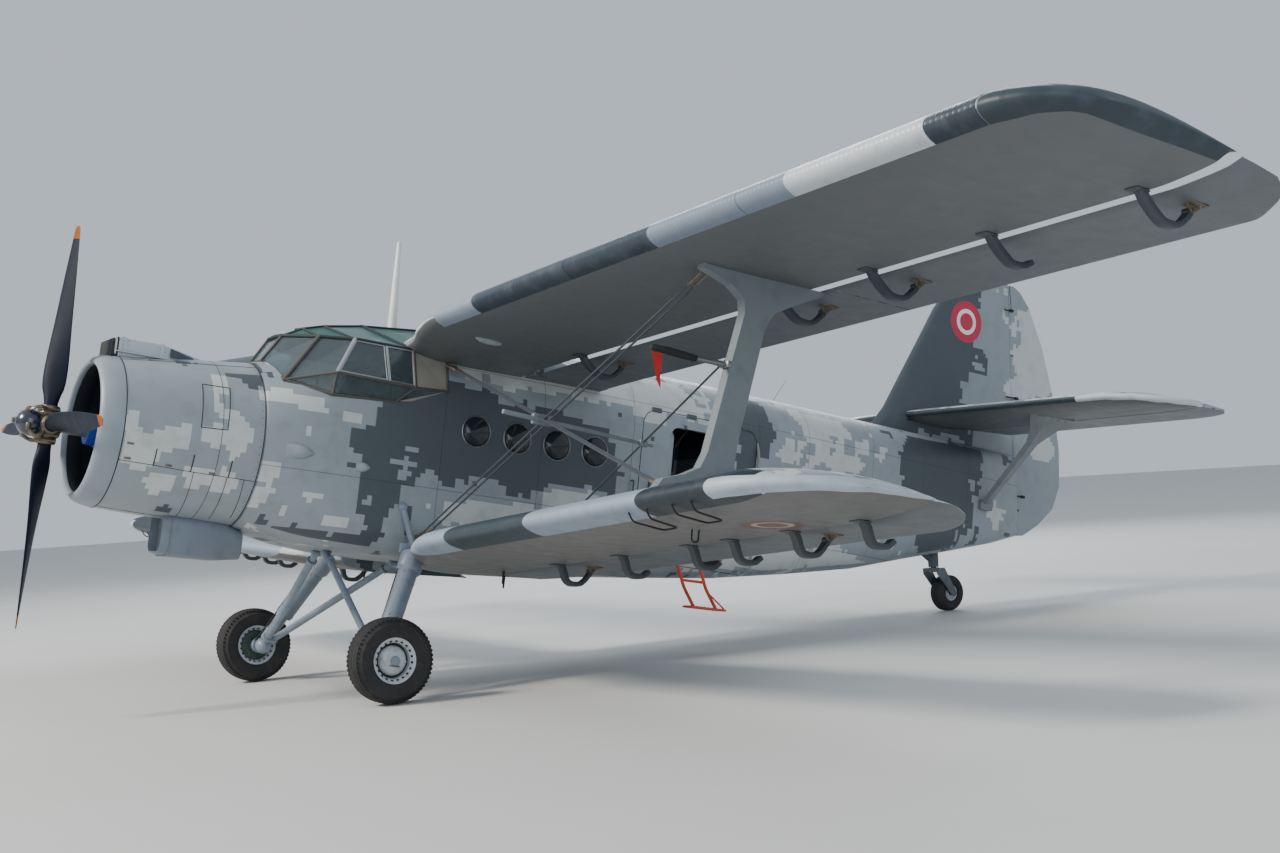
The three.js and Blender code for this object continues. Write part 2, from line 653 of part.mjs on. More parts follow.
// Stabiliser rows: out from the centre line, leading edge, half thickness, then chord behind the hinge.
const STAB_ROWS = [
  { y: 0, front: -7140, half: 88, chord: 620 },
  { y: 3000, front: -7310, half: 82, chord: 600 },
  { y: 3260, front: -7440, half: 70, chord: 560 },
  { y: 3450, front: -7720, half: 50, chord: 480 },
  { y: 3570, front: -8080, half: 34, chord: 330 },
];
const stabNose = (y) => lerp(STAB.nose, 20, Math.max(0, (Math.abs(y) - 3000) / 600));
const bothSides = (rows) => [...rows.slice(1).reverse().map((row) => ({ ...row, y: -row.y })), ...rows];

function stabiliser(grow = 0) {
  return loft(
    bothSides(STAB_ROWS).map(({ y, front, half }) =>
      tailRing(front + grow, STAB.hinge + stabNose(y) + RUN - grow, half + grow, stabNose(y) + grow, (x, h) =>
        vec(x, y, STAB.z + h),
      ),
    ),
  );
}
const ELEVATOR_ROOT = 120;
function elevator() {
  const half = (side) => {
    const rows = STAB_ROWS.map((row) => ({ ...row, y: side * Math.max(row.y, ELEVATOR_ROOT) }));
    return loft(rows.map(({ y, chord }) => hingedRing(stabNose(y), chord, (x, h) => vec(x, y, h))));
  };
  return join(half(PORT), half(STARBOARD), rod(vec(0, -200, 0), vec(0, 200, 0), 25));
}
const inTail = new THREE.Matrix4().makeRotationY(rad(RUDDER_LEAN)).setPosition(RUDDER_FOOT).invert();
const torqueBore = rod(vec(STAB.hinge, -400, STAB.z), vec(STAB.hinge, 400, STAB.z), 25.8);
function fin() {
  const rows = FIN_ROWS.map(({ s, front, half }) =>
    tailRing(front, rudderNose(s) + RUN, half, rudderNose(s), (x, h) => vec(x, h, s)),
  );
  const tools = [fuselageGrown, stabiliser(GAP), torqueBore].map((tool) => placed(tool, inTail));
  return cut(loft(rows), ...tools);
}
const rudderPins = [{ s: 330 }, { s: 2300 }];
function rudder() {
  return loft(RUDDER_ROWS.map(({ s, chord }) => hingedRing(rudderNose(s), chord, (x, h) => vec(x, h, s))));
}
// Rudder hinge arm: reaches from the fixed post into a slot in the rudder's nose.
function finWithArms() {
  const arms = rudderPins.slice(1).map(({ s }) => box(-8, 140, -12, 12, s - 9, s + 9));
  const seats = rudderPins.slice(1).map(({ s }) => rod(vec(0, 0, s - 9), vec(0, 0, s + 9), 20));
  return join(fin(), ...arms, ...seats);
}
function rudderWithSlots() {
  const slots = rudderPins.map(({ s }) => box(-30, 200, -70, 70, s - 12, s + 12));
  const pins = rudderPins.map(({ s }) => rod(vec(0, 0, s - 14), vec(0, 0, s + 14), 8));
  return join(cut(rudder(), ...slots), ...pins);
}
const pinBore = ({ s }) => rod(vec(0, 0, s - 30), vec(0, 0, s + 30), 8.5);
tailFrame.add(mesh("fin", cut(finWithArms(), pinBore(rudderPins[1])), PAINT.grey));
tailFrame.add(mesh("rudder", rudderWithSlots(), PAINT.pale));
fuselage.add(mesh("stabiliser", stabiliser(), PAINT.pale));
const elevatorHinge = group(fuselage, vec(STAB.hinge, 0, STAB.z));
elevatorHinge.name = "hinge_elevator";
elevatorHinge.add(mesh("elevator", elevator(), PAINT.pale));
{
  const { s } = rudderPins[0];
  const arm = join(box(-8, 160, -12, 12, s - 9, s + 9), rod(vec(0, 0, s - 9), vec(0, 0, s + 9), 20));
  const local = placed(cut(arm, pinBore(rudderPins[0])), new THREE.Matrix4().copy(inTail).invert());
  fuselage.add(mesh("rear_fuselage", join(rearFuselage, local), PAINT.grey));
}

// Tail struts: foot on the fuselage, head under the stabiliser
for (const { side, tag } of SIDES) {
  const foot = vec(-8340, side * 262, 2470);
  const head = vec(-7830, side * 1800, STAB.z - 70);
  const along = head.clone().sub(foot).normalize();
  const ring = (centre, front, rear, thick) =>
    [
      [front, 0],
      [front * 0.4 + rear * 0.1, thick],
      [rear, 0],
      [front * 0.4 + rear * 0.1, -thick],
    ].map(([x, h]) => centre.clone().add(vec(x, 0, 0)).addScaledVector(vec(0, -along.z, along.y * side).normalize(), h));
  const rows = [
    { at: -0.06, front: 60, rear: -60, thick: 18 },
    { at: 0.1, front: 75, rear: -75, thick: 24 },
    { at: 0.72, front: 95, rear: -95, thick: 26 },
    { at: 0.86, front: 190, rear: -200, thick: 26 },
    { at: 1.04, front: 400, rear: -400, thick: 22 },
  ];
  const body = loft(rows.map(({ at, front, rear, thick }) => ring(foot.clone().lerp(head, at), front, rear, thick)));
  fuselage.add(mesh("tail_strut_" + tag, cut(body, fuselageGrown, stabiliser(GAP)), PAINT.grey));
}

// Wings with their slats, flaps and ailerons
for (const { side, tag } of SIDES) {
  for (const wing of [UPPER_WING, LOWER_WING]) {
    const frame = group(airframe, wing.root, [side * rad(wing.dihedral), -rad(wing.incidence), 0]);
    frame.updateMatrixWorld(true);
    const intoPanel = new THREE.Matrix4().compose(
      wing.root,
      new THREE.Quaternion().setFromEuler(frame.rotation),
      vec(1, 1, 1),
    ).invert();
    const hinge = hingeOf(wing);
    const slot = slotOf(wing);
    let body = wingBody(wing, side);
    for (const { name, wing: owner, from, to, pinned, arms } of SURFACES) {
      if (owner !== wing) continue;
      const noseAt = (y) => vec(slot.x, side * y, slot.z);
      const nose = rod(noseAt(from), noseAt(to), slot.radius, slot.radius, 24);
      const behind = spanBox(side, from, to, slot.x, -3000, -400, 400);
      const lugs = pinned.map((y) => lug(hinge, side, y));
      const surface = join(wingBody(wing, side).intersect(join(nose, behind)), ...lugs);
      const local = placed(surface, new THREE.Matrix4().makeTranslation(-hinge.x, 0, -hinge.z));
      const flapHinge = group(frame, vec(hinge.x, 0, hinge.z));
      flapHinge.name = "hinge_" + name + "_" + tag;
      flapHinge.add(mesh(name + "_" + tag, local, PAINT.pale));
      body = join(
        cut(body, spanBox(side, from - RUN, to + RUN, slot.edge, -3000, -400, 400)),
        ...pinned.map((y) => arm(slot, hinge, side, y, true)),
        ...arms.map((y) => arm(slot, hinge, side, y, false)),
      );
    }
    if (wing === UPPER_WING) {
      const split = -SLAT.share * wing.chord;
      const bay = spanBox(side, SLAT.from, SLAT.to, split, 200, -400, 400);
      const slat = wingBody(wing, side).intersect(
        spanBox(side, SLAT.from + GAP, SLAT.to - GAP, split + GAP, 200, -400, 400),
      );
      body = cut(body, bay);
      frame.add(mesh("slat_" + tag, slat, PAINT.leading));
    }
    body = cut(body, placed(fuselageGrown, intoPanel), placed(canopyGrown, intoPanel));
    frame.add(mesh(wing.name + "_wing_" + tag, body, PAINT.grey));
  }
}

// Cowl
const COWL = { frontZ: 1786, rearZ: 1840, seam: 2273, lip: 2472, skirt: 1430 };
const cowlZ = (x) => lerp(COWL.rearZ, COWL.frontZ, (x - FIREWALL) / (COWL.seam - FIREWALL));
// Cowl rows: station and outer radius.
const COWL_ROWS = [
  { x: COWL.seam, radius: 690 },
  { x: 1900, radius: 722 },
  { x: COWL.skirt, radius: 752 },
  { x: FIREWALL + 4, radius: 780 },
];
function cowlRing(x, radius) {
  return Array.from({ length: 40 }, (_, k) => {
    const angle = (2 * Math.PI * k) / 40;
    return vec(x, radius * Math.cos(angle), cowlZ(x) + radius * Math.sin(angle));
  });
}
function cowlRadius(x) {
  const after = Math.max(1, COWL_ROWS.findIndex((row) => row.x <= x));
  const [a, b] = [COWL_ROWS[after - 1], COWL_ROWS[after]];
  return lerp(a.radius, b.radius, (x - a.x) / (b.x - a.x));
}
function cowlSolid(front, rear, grow = 0) {
  const inside = COWL_ROWS.map((row) => row.x).filter((x) => x < front && x > rear);
  return loft([front, ...inside, rear].map((x) => cowlRing(x, cowlRadius(x) + grow)));
}
const cowlShell = (front, rear, thick) => cut(cowlSolid(front, rear), cowlSolid(front + 1, rear - 1, -thick));
const cowl = group(airframe);
{
  const foot = vec(COWL.seam + GAP, 0, COWL.frontZ);
  const lipProfile = [
    [690, 0],
    [676, 90],
    [648, 160],
    [612, 196],
    [588, 194],
    [578, 160],
    [590, 80],
    [640, 0],
    [690, 0],
  ];
  cowl.add(mesh("cowl_ring", turned(lipProfile, foot, foot.clone().add(vec(1, 0, 0)), 40), PAINT.grey));
  cowl.add(mesh("cowl_shell", cowlShell(COWL.seam, COWL.skirt + GAP, 22), PAINT.pale));
  cowl.add(mesh("cowl_skirt", cowlShell(COWL.skirt, FIREWALL + 4, 26), PAINT.pale));
}

// Engine: crankcase, nine finned cylinders and the accessory case that reaches the firewall
const THRUST = { x: 2753, z: 1766 };
function engine() {
  const z = THRUST.z;
  const axis = (x) => vec(x, 0, z);
  let body = turned(
    [
      [0, 0], [230, 0], [250, 60], [290, 100], [290, 420],
      [240, 470], [190, 560], [150, 660], [120, 780], [0, 780],
    ],
    axis(1640),
    axis(3000),
    16,
  );
  body = join(body, rod(axis(FIREWALL + GAP), axis(1700), 210, 260, 20));
  const fins = [[0, 230], [96, 230]];
  for (const at of [320, 440]) fins.push([96, at], [118, at + 6], [118, at + 30], [96, at + 36]);
  fins.push([104, 575], [104, 640], [0, 655]);
  for (let k = 0; k < 9; k++) {
    const angle = rad(90 + 40 * k);
    const out = vec(0, Math.cos(angle), Math.sin(angle));
    const foot = axis(1920);
    body = join(body, turned(fins, foot, foot.clone().add(out), 8));
  }
  const bore = rod(axis(2330), axis(2500), 61.2, 61.2, 24);
  return cut(body, bore);
}
cowl.add(mesh("engine", engine(), PAINT.engine));

// Propeller
const spinner = group(airframe, vec(THRUST.x, 0, THRUST.z));
spinner.name = "hinge_propeller";
const BLADE_PHASE = -2.85; // degrees from upright, as parked
const BLADE_ROWS = [
  { out: 150, chord: 120, thick: 118, twist: 62 },
  { out: 200, chord: 122, thick: 112, twist: 60 },
  { out: 360, chord: 214, thick: 82, twist: 53 },
  { out: 540, chord: 232, thick: 60, twist: 45 },
  { out: 900, chord: 208, thick: 38, twist: 33 },
  { out: 1350, chord: 158, thick: 24, twist: 25 },
  { out: 1650, chord: 104, thick: 16, twist: 21 },
  { out: 1760, chord: 82, thick: 12, twist: 20 },
  { out: 1800, chord: 48, thick: 10, twist: 20 },
];
function blade() {
  const outline = [
    [0.5, 0],
    [0.36, 0.34],
    [0.1, 0.5],
    [-0.25, 0.36],
    [-0.5, 0.05],
    [-0.5, -0.05],
    [-0.25, -0.36],
    [0.1, -0.5],
    [0.36, -0.34],
  ];
  return loft(
    BLADE_ROWS.map(({ out, chord, thick, twist }) =>
      outline.map(([across, deep]) => {
        const [a, b] = [across * chord, deep * thick];
        const angle = rad(twist);
        return vec(a * Math.sin(angle) - b * Math.cos(angle), -a * Math.cos(angle) - b * Math.sin(angle), out);
      }),
    ),
  );
}
function propellerHub() {
  const aft = vec(-410, 0, 0);
  let hub = turned(
    [
      [0, 0], [60, 0], [60, 280], [120, 292], [130, 340], [130, 480], [116, 500],
      [116, 580], [96, 640], [52, 680], [30, 684], [30, 710], [0, 710],
    ],
    aft,
    vec(400, 0, 0),
    18,
  );
  for (let k = 0; k < 4; k++) {
    const angle = rad(90 * k + BLADE_PHASE);
    const out = vec(0, -Math.sin(angle), Math.cos(angle));
    hub = join(hub, rod(vec(0, 0, 0), out.clone().multiplyScalar(178), 88, 82, 12));
  }
  for (let k = 0; k < 4; k++) {
    const angle = rad(90 * k + BLADE_PHASE);
    const socket = rod(vec(0, 0, 149), vec(0, 0, 400), 66, 66, 12);
    hub = cut(hub, placed(socket, new THREE.Matrix4().makeRotationX(angle)));
  }
  return hub;
}
spinner.add(mesh("propeller_hub", propellerHub(), PAINT.bronze));
for (let k = 0; k < 4; k++) {
  const turn = group(spinner, vec(0, 0, 0), [rad(90 * k + BLADE_PHASE), 0, 0]);
  turn.add(mesh("propeller_blade_" + (k + 1), blade(), PAINT.blade));
}

// Air intakes and exhaust
const cowlGrown = cowlSolid(COWL.seam + 1, FIREWALL + 3, GAP);
function roundBox(x, y, z0, z1, half, radius) {
  const corners = [
    [half - radius, z1 - radius, 0],
    [radius - half, z1 - radius, 90],
    [radius - half, z0 + radius, 180],
    [half - radius, z0 + radius, 270],
  ];
  return corners.flatMap(([cy, cz, start]) =>
    [0, 30, 60, 90].map((a) => vec(x, y + cy + radius * Math.cos(rad(start + a)), cz + radius * Math.sin(rad(start + a)))),
  );
}
{
  const outer = loft([
    roundBox(1680, 0, 760, 1120, 190, 90),
    roundBox(1560, 0, 735, 1130, 215, 100),
    roundBox(1150, 0, 745, 1120, 215, 100),
    roundBox(925, 0, 778, 1040, 195, 80),
  ]);
  const inner = loft([roundBox(1690, 0, 790, 985, 160, 70), roundBox(915, 0, 806, 985, 165, 60)]);
  const scoop = cut(outer, inner, cowlGrown, fuselageGrown, box(700, 1800, -400, 400, 1090, 1300));
  cowl.add(mesh("oil_cooler_scoop", scoop, PAINT.grey));
  const trunk = loft([
    roundBox(2345, 0, 2440, 2604, 190, 30),
    roundBox(2310, 0, 2440, 2622, 205, 36),
    roundBox(1880, 0, 2440, 2628, 205, 36),
    roundBox(1470, 0, 2440, 2566, 90, 20),
  ]);
  const mouth = loft([roundBox(2360, 0, 2502, 2582, 150, 24), roundBox(2150, 0, 2502, 2582, 150, 24)]);
  cowl.add(mesh("carburettor_intake", cut(trunk, mouth, cowlGrown, ringGrown()), PAINT.pale));
  const pipeFrom = vec(1330, -700, 1440);
  const pipeBend = vec(1240, -850, 1330);
  const pipeTo = vec(760, -905, 1262);
  const pipe = join(rod(pipeFrom, pipeBend, 88, 88, 20), rod(pipeBend, pipeTo, 92, 92, 20));
  const bore = rod(pipeBend, pipeTo.clone().add(vec(-60, 0, -8)), 84, 84, 20);
  cowl.add(mesh("exhaust_pipe", cut(pipe, bore, cowlGrown, fuselageGrown), PAINT.steel));
}
function ringGrown() {
  const foot = vec(COWL.seam, 0, COWL.frontZ);
  const profile = [[0, 0], [691, 0], [677, 91], [649, 161], [612, 198], [0, 198]];
  return turned(profile, foot, foot.clone().add(vec(1, 0, 0)), 40);
}

// Interplane struts, seated in the wings
const STRUT = { y: 5280, thick: 90 };
const STRUT_SIDE = [
  [-120, 1300],
  [-250, 1480],
  [-430, 1535],
  [-560, 1600],
  [-615, 1720],
  [-756, 2402],
  [-840, 2800],
  [-820, 2900],
  [-700, 2985],
  [-440, 3060],
  [-440, 3300],
  [-1640, 3300],
  [-1560, 3060],
  [-1300, 2940],
  [-1110, 2840],
  [-1035, 2700],
  [-870, 1800],
  [-860, 1640],
  [-980, 1540],
  [-1220, 1480],
  [-1300, 1300],
];
for (const { side, tag } of SIDES) {
  const blank = sideCut(STRUT_SIDE, side * STRUT.y - STRUT.thick / 2, side * STRUT.y + STRUT.thick / 2);
  const tools = [UPPER_WING, LOWER_WING].map((wing) => {
    const seat = new THREE.Matrix4().makeRotationFromEuler(
      new THREE.Euler(side * rad(wing.dihedral), -rad(wing.incidence), 0),
    );
    return placed(wingBody(wing, side, GAP), seat.setPosition(wing.root));
  });
  // What is left between the two wings.
  const between = sideCut([[400, 1200], [-2600, 1200], [-2600, 3200], [400, 3200]], side * 5000, side * 5600);
  airframe.add(mesh("interplane_strut_" + tag, cut(blank.intersect(between), ...tools), PAINT.grey));
}

// Bracing: flying wires from the lower root to the strut head, landing wires from the upper root to its foot
const WIRE = { radius: 7, apart: 60 };
for (const { side, tag } of SIDES) {
  const inner = side * (900 + GAP);
  const outer = side * (STRUT.y - STRUT.thick / 2 - GAP);
  const wires = [
    { low: vec(-500, inner, 1150), high: vec(-500, outer, 3060) },
    { low: vec(-500 - WIRE.apart, inner, 1150), high: vec(-500 - WIRE.apart, outer, 3060) },
    { low: vec(-620, inner, 2800), high: vec(-300, outer, 1430) },
    { low: vec(-620 - WIRE.apart, inner, 2800), high: vec(-300 - WIRE.apart, outer, 1430) },
  ];
  let body = null;
  for (const { low, high } of wires) {
    const line = rod(low, high, WIRE.radius, WIRE.radius, 5);
    body = body ? join(body, line) : line;
  }
  const keep = box(-1200, 0, inner, outer, 800, 3300);
  const plates = [
    box(-470, -590, inner, inner + side * 16, 1110, 1190),
    box(-590, -710, inner, inner + side * 16, 2755, 2822),
  ];
  const bar = box(-430, -590, side * 3005, side * 3045, 2068, 2146);
  airframe.add(mesh("bracing_" + tag, join(body, ...plates, bar).intersect(keep), PAINT.steel));
}

// Main gear
const GEAR = {
  axle: 44,
  knuckleY: 1400,
  front: vec(66, 120, 940),
  rear: vec(-750, 110, 932),
  shockTop: vec(-440, 1000, 1000),
};
for (const { side, tag } of SIDES) {
  const flip = (point) => vec(point.x, point.y * side, point.z);
  const knuckle = vec(0, side * GEAR.knuckleY, 0);
  const shockFoot = vec(-18, side * (GEAR.knuckleY + 20), 60);
  const shockTop = flip(GEAR.shockTop);
  const knuckleBlock = (grow) =>
    turned(
      [[0, -70 - grow], [78 + grow, -70 - grow], [78 + grow, 70 + grow], [0, 70 + grow]],
      knuckle,
      knuckle.clone().add(vec(0, 1, 0)),
      20,
    );
  const vee = cut(
    join(
      knuckleBlock(0),
      rod(knuckle, vec(0, side * (HALF_TRACK + 128), 0), GEAR.axle, GEAR.axle, 24),
      rod(knuckle, flip(GEAR.front), 40, 40, 14),
      rod(knuckle, flip(GEAR.rear), 36, 36, 14),
    ),
    fuselageGrown,
    box(-2000, 1000, -side * 0.4, -side * 2000, -500, 1500),
  );
  const veeHalf = cut(vee, box(-2000, 1000, side * 55, -side * 2000, -500, 1500));
  airframe.add(mesh("gear_vee_" + tag, veeHalf, PAINT.grey));
  const direction = shockTop.clone().sub(shockFoot).normalize();
  const along = (d) => shockFoot.clone().addScaledVector(direction, d);
  const length = shockTop.distanceTo(shockFoot);
  const upper = join(
    rod(along(0), along(330), 62, 62, 16),
    rod(along(300), along(length), 92, 94, 16),
    rod(along(length - 150), along(length + 20), 112, 112, 16),
    rod(along(length), vec(-318, side * 890, 1405), 42, 34, 12),
    rod(vec(-318, side * 860, 1415), vec(-318, side * 925, 1415), 62, 62, 12),
  );
  const frameOfLower = new THREE.Matrix4()
    .makeRotationFromEuler(new THREE.Euler(side * rad(LOWER_WING.dihedral), -rad(LOWER_WING.incidence), 0))
    .setPosition(LOWER_WING.root);
  const shock = cut(
    upper,
    knuckleBlock(GAP),
    rod(knuckle, flip(GEAR.rear), 36.4, 36.4, 14),
    rod(knuckle, flip(GEAR.front), 40.4, 40.4, 14),
    fuselageGrown,
    placed(wingBody(LOWER_WING, side, GAP), frameOfLower),
  );
  airframe.add(mesh("shock_strut_" + tag, shock, PAINT.grey));
}

// Wheels: rim and tyre turned about the axle
function rimProfile(bore, seat, half) {
  return [
    [bore, -half],
    [bore + 30, -half],
    [seat * 0.72, -half * 0.5],
    [seat * 0.86, -half],
    [seat * 1.04, -half],
    [seat, -half * 0.8],
    [seat, half * 0.8],
    [seat * 1.04, half],
    [seat * 0.86, half],
    [seat * 0.72, half * 0.5],
    [bore + 30, half],
    [bore, half],
    [bore, -half],
  ];
}
function tyreProfile({ seat, half, rimHalf }, radius) {
  const deep = radius - seat;
  const bead = (hand) => [
    [seat + GAP, hand * rimHalf * 0.78],
    [seat * 1.04 + 2 * GAP, hand * rimHalf],
  ];
  const points = bead(-1);
  const flank = [
    [0.2, 0.84],
    [0.5, 1],
    [0.76, 0.9],
    [0.93, 0.62],
    [1, 0.22],
  ];
  for (const [out, wide] of flank) points.push([seat + deep * out, -half * wide]);
  for (const [out, wide] of flank.slice().reverse()) points.push([seat + deep * out, half * wide]);
  points.push(...bead(1).reverse(), points[0]);
  return points;
}
const WHEEL = { seat: 196, half: 125, rimHalf: 96, bore: 45 };
const TAIL_WHEEL = { seat: 96, half: 98, rimHalf: 70, bore: 19 };
for (const { side, tag } of SIDES) {
  const hub = group(airframe, vec(0, side * HALF_TRACK, 0));
  hub.name = "hinge_main_wheel_" + tag;
  const out = vec(0, 1, 0);
  const rim = rimProfile(WHEEL.bore, WHEEL.seat, WHEEL.rimHalf);
  hub.add(mesh("main_rim_" + tag, turned(rim, vec(0, 0, 0), out, 32), PAINT.pale));
  const tyre = turned(tyreProfile(WHEEL, MAIN_TYRE_RADIUS), vec(0, 0, 0), out, 32);
  hub.add(mesh("main_tyre_" + tag, tyre, PAINT.rubber));
}

// Tail wheel: leg on the fuselage, trailing fork that swivels, wheel in the fork
const TAIL_AXLE_X = -8090;
const tailAxleDrop = TAIL_TYRE_RADIUS - MAIN_TYRE_RADIUS - TAIL_AXLE_X * Math.sin(rad(PITCH));
const tailAxleZ = tailAxleDrop / Math.cos(rad(PITCH));
const tailAxle = vec(TAIL_AXLE_X, 0, tailAxleZ);
const SWIVEL = { forward: 190, up: 330 }; // from the tail axle, in ground axes
const upright = vec(Math.sin(rad(PITCH)), 0, Math.cos(rad(PITCH)));
const ahead = vec(Math.cos(rad(PITCH)), 0, -Math.sin(rad(PITCH)));
const swivelFoot = tailAxle.clone().addScaledVector(ahead, SWIVEL.forward).addScaledVector(upright, SWIVEL.up);
const upFoot = (distance) => swivelFoot.clone().addScaledVector(upright, distance);
{
  const top = swivelFoot.clone().addScaledVector(upright, 420);
  const leg = cut(
    join(rod(swivelFoot, top, 62, 74, 20), rod(upFoot(60), swivelFoot.clone().add(vec(420, 0, 260)), 36, 36, 12)),
    rod(upFoot(-10), upFoot(90), 30.8, 30.8, 20),
    fuselageGrown,
  );
  fuselage.add(mesh("tail_leg", leg, PAINT.steel));
}
const swivel = group(airframe, swivelFoot, [0, rad(PITCH), 0]);
swivel.name = "hinge_tail_fork";
{
  const reach = vec(-SWIVEL.forward, 0, -SWIVEL.up);
  const arm = (side) =>
    sideCut(
      [
        [58, -12],
        [-60, -12],
        [-SWIVEL.forward - 46, -SWIVEL.up - 6],
        [-SWIVEL.forward - 12, -SWIVEL.up - 44],
        [-SWIVEL.forward + 40, -SWIVEL.up - 22],
        [58, -80],
      ],
      side * 112,
      side * 130,
    );
  const fork = join(
    rod(vec(0, 0, -30), vec(0, 0, 84), 30, 30, 20),
    rod(vec(0, 0, -60), vec(0, 0, -RUN), 62, 62, 20),
    box(-60, 58, -130, 130, -60, -12),
    arm(PORT),
    arm(STARBOARD),
    rod(reach.clone().add(vec(0, -130, 0)), reach.clone().add(vec(0, 130, 0)), 18, 18, 16),
  );
  swivel.add(mesh("tail_fork", fork, PAINT.steel));
  const hub = group(swivel, reach);
  hub.name = "hinge_tail_wheel";
  const out = vec(0, 1, 0);
  const rim = rimProfile(TAIL_WHEEL.bore, TAIL_WHEEL.seat, TAIL_WHEEL.rimHalf);
  hub.add(mesh("tail_rim", turned(rim, vec(0, 0, 0), out, 24), PAINT.pale));
  const tyre = turned(tyreProfile(TAIL_WHEEL, TAIL_TYRE_RADIUS), vec(0, 0, 0), out, 24);
  hub.add(mesh("tail_tyre", tyre, PAINT.rubber));
}

// Boarding ladder hooked over the door sill
{
  const rail = (x) => rod(vec(x, 800, 1254), vec(x, 1240, 780), 14, 14, 8);
  const rung = rod(vec(-3460, 985, 1055), vec(-3760, 985, 1055), 12, 12, 6);
  const tread = sideCut([[-3400, 772], [-3820, 772], [-3820, 796], [-3400, 796]], 1130, 1330);
  const skin = hull(-3000, -4400, GAP);
  const outside = box(-3000, -4400, 820, 1400, 700, 1300);
  const ladder = cut(join(rail(-3470), rail(-3750), rung, tread).intersect(outside), skin);
  fuselage.add(mesh("boarding_ladder", ladder, PAINT.red));
}

// Part frame: centre of the footprint, on the ground
const part = new THREE.Group();
part.add(airframe);
part.updateMatrixWorld(true);
const bounds = new THREE.Box3().setFromObject(part, true);
const middle = bounds.getCenter(vec(0, 0, 0));
airframe.position.x -= middle.x;
airframe.position.y -= middle.y;
airframe.position.z -= bounds.min.z;
part.updateMatrixWorld(true);

export default part;
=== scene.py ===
"""Parked single-engine utility biplane in grey block camouflage, dressed around its frame.

Lengths are metres. Airframe axes have X forward, Y to port and Z up, square to the propeller
shaft, with their origin midway between the main axles. The row frame stands on the ground.
"""

import json
import logging
import math
from dataclasses import dataclass, field
from enum import Enum
from typing import Iterable, Sequence

import bmesh
import bpy
from mathutils import Matrix, Vector
from mathutils.bvhtree import BVHTree

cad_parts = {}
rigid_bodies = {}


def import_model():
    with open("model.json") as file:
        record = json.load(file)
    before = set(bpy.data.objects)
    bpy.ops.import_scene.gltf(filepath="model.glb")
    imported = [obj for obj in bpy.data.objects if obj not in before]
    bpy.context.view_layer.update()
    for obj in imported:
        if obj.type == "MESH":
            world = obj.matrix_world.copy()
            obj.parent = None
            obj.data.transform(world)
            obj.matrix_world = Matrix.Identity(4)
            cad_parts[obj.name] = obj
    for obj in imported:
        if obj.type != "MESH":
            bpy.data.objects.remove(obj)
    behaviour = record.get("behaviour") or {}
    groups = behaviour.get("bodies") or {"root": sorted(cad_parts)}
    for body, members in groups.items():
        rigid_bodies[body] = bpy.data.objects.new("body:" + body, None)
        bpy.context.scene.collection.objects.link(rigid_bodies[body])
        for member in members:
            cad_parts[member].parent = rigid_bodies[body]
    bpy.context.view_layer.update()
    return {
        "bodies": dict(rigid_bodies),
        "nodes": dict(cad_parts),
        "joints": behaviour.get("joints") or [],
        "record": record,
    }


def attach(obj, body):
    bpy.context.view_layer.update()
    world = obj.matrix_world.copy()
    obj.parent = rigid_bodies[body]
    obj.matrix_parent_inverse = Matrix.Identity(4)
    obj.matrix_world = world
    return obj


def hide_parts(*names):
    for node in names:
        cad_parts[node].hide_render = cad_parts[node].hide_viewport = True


LOG = logging.getLogger("biplane")
SIDES = ((1, "L"), (-1, "R"))
TURN = 2 * math.pi
Point = Sequence[float]
# Corners of a frame node's loose triangles that lie nearer than this are one corner.
WELD = 2e-5
# Faces of a frame node that turn by fewer degrees than this are one face.
FLAT = 0.4


def lerp(start: float, end: float, share: float) -> float:
    """Returns the value at a share of the way from start to end."""
    return start + (end - start) * share


def smooth_rows(rows: Sequence[Sequence[float]], at: float) -> list[float]:
    """Reads a table between its rows along a smooth curve that never overshoots.

    Args:
        rows: rows whose first column rises, and whose other columns are wanted.
        at: place in the first column.

    Returns:
        The other columns at that place.
    """
    last = len(rows) - 2
    k = min(last, max(0, sum(row[0] <= at for row in rows) - 1))
    wide = rows[k + 1][0] - rows[k][0]
    t = min(1.0, max(0.0, (at - rows[k][0]) / wide))

    def slope(i: int, column: int) -> float:
        """Slope at row i, level where the column turns round.

        Args:
            i: number of the row.
            column: number of the column.

        Returns:
            The slope there.
        """
        if i in (0, len(rows) - 1):
            j = 0 if i == 0 else i - 1
            return (rows[j + 1][column] - rows[j][column]) / (rows[j + 1][0] - rows[j][0])
        before = (rows[i][column] - rows[i - 1][column]) / (rows[i][0] - rows[i - 1][0])
        after = (rows[i + 1][column] - rows[i][column]) / (rows[i + 1][0] - rows[i][0])
        return 2 * before * after / (before + after) if before * after > 0 else 0.0

    found = []
    for column in range(1, len(rows[0])):
        a, b = rows[k][column], rows[k + 1][column]
        m, n = slope(k, column) * wide, slope(k + 1, column) * wide
        found.append(
            a * (2 * t**3 - 3 * t**2 + 1)
            + m * (t**3 - 2 * t**2 + t)
            + b * (3 * t**2 - 2 * t**3)
            + n * (t**3 - t**2)
        )
    return found


def arc(centre: Point, radius: float, start: float, end: float, steps: int) -> list[tuple]:
    """Returns points on a flat arc, angles in degrees, as (first, second) pairs."""
    angles = [math.radians(lerp(start, end, k / steps)) for k in range(steps + 1)]
    return [(centre[0] + radius * math.cos(a), centre[1] + radius * math.sin(a)) for a in angles]


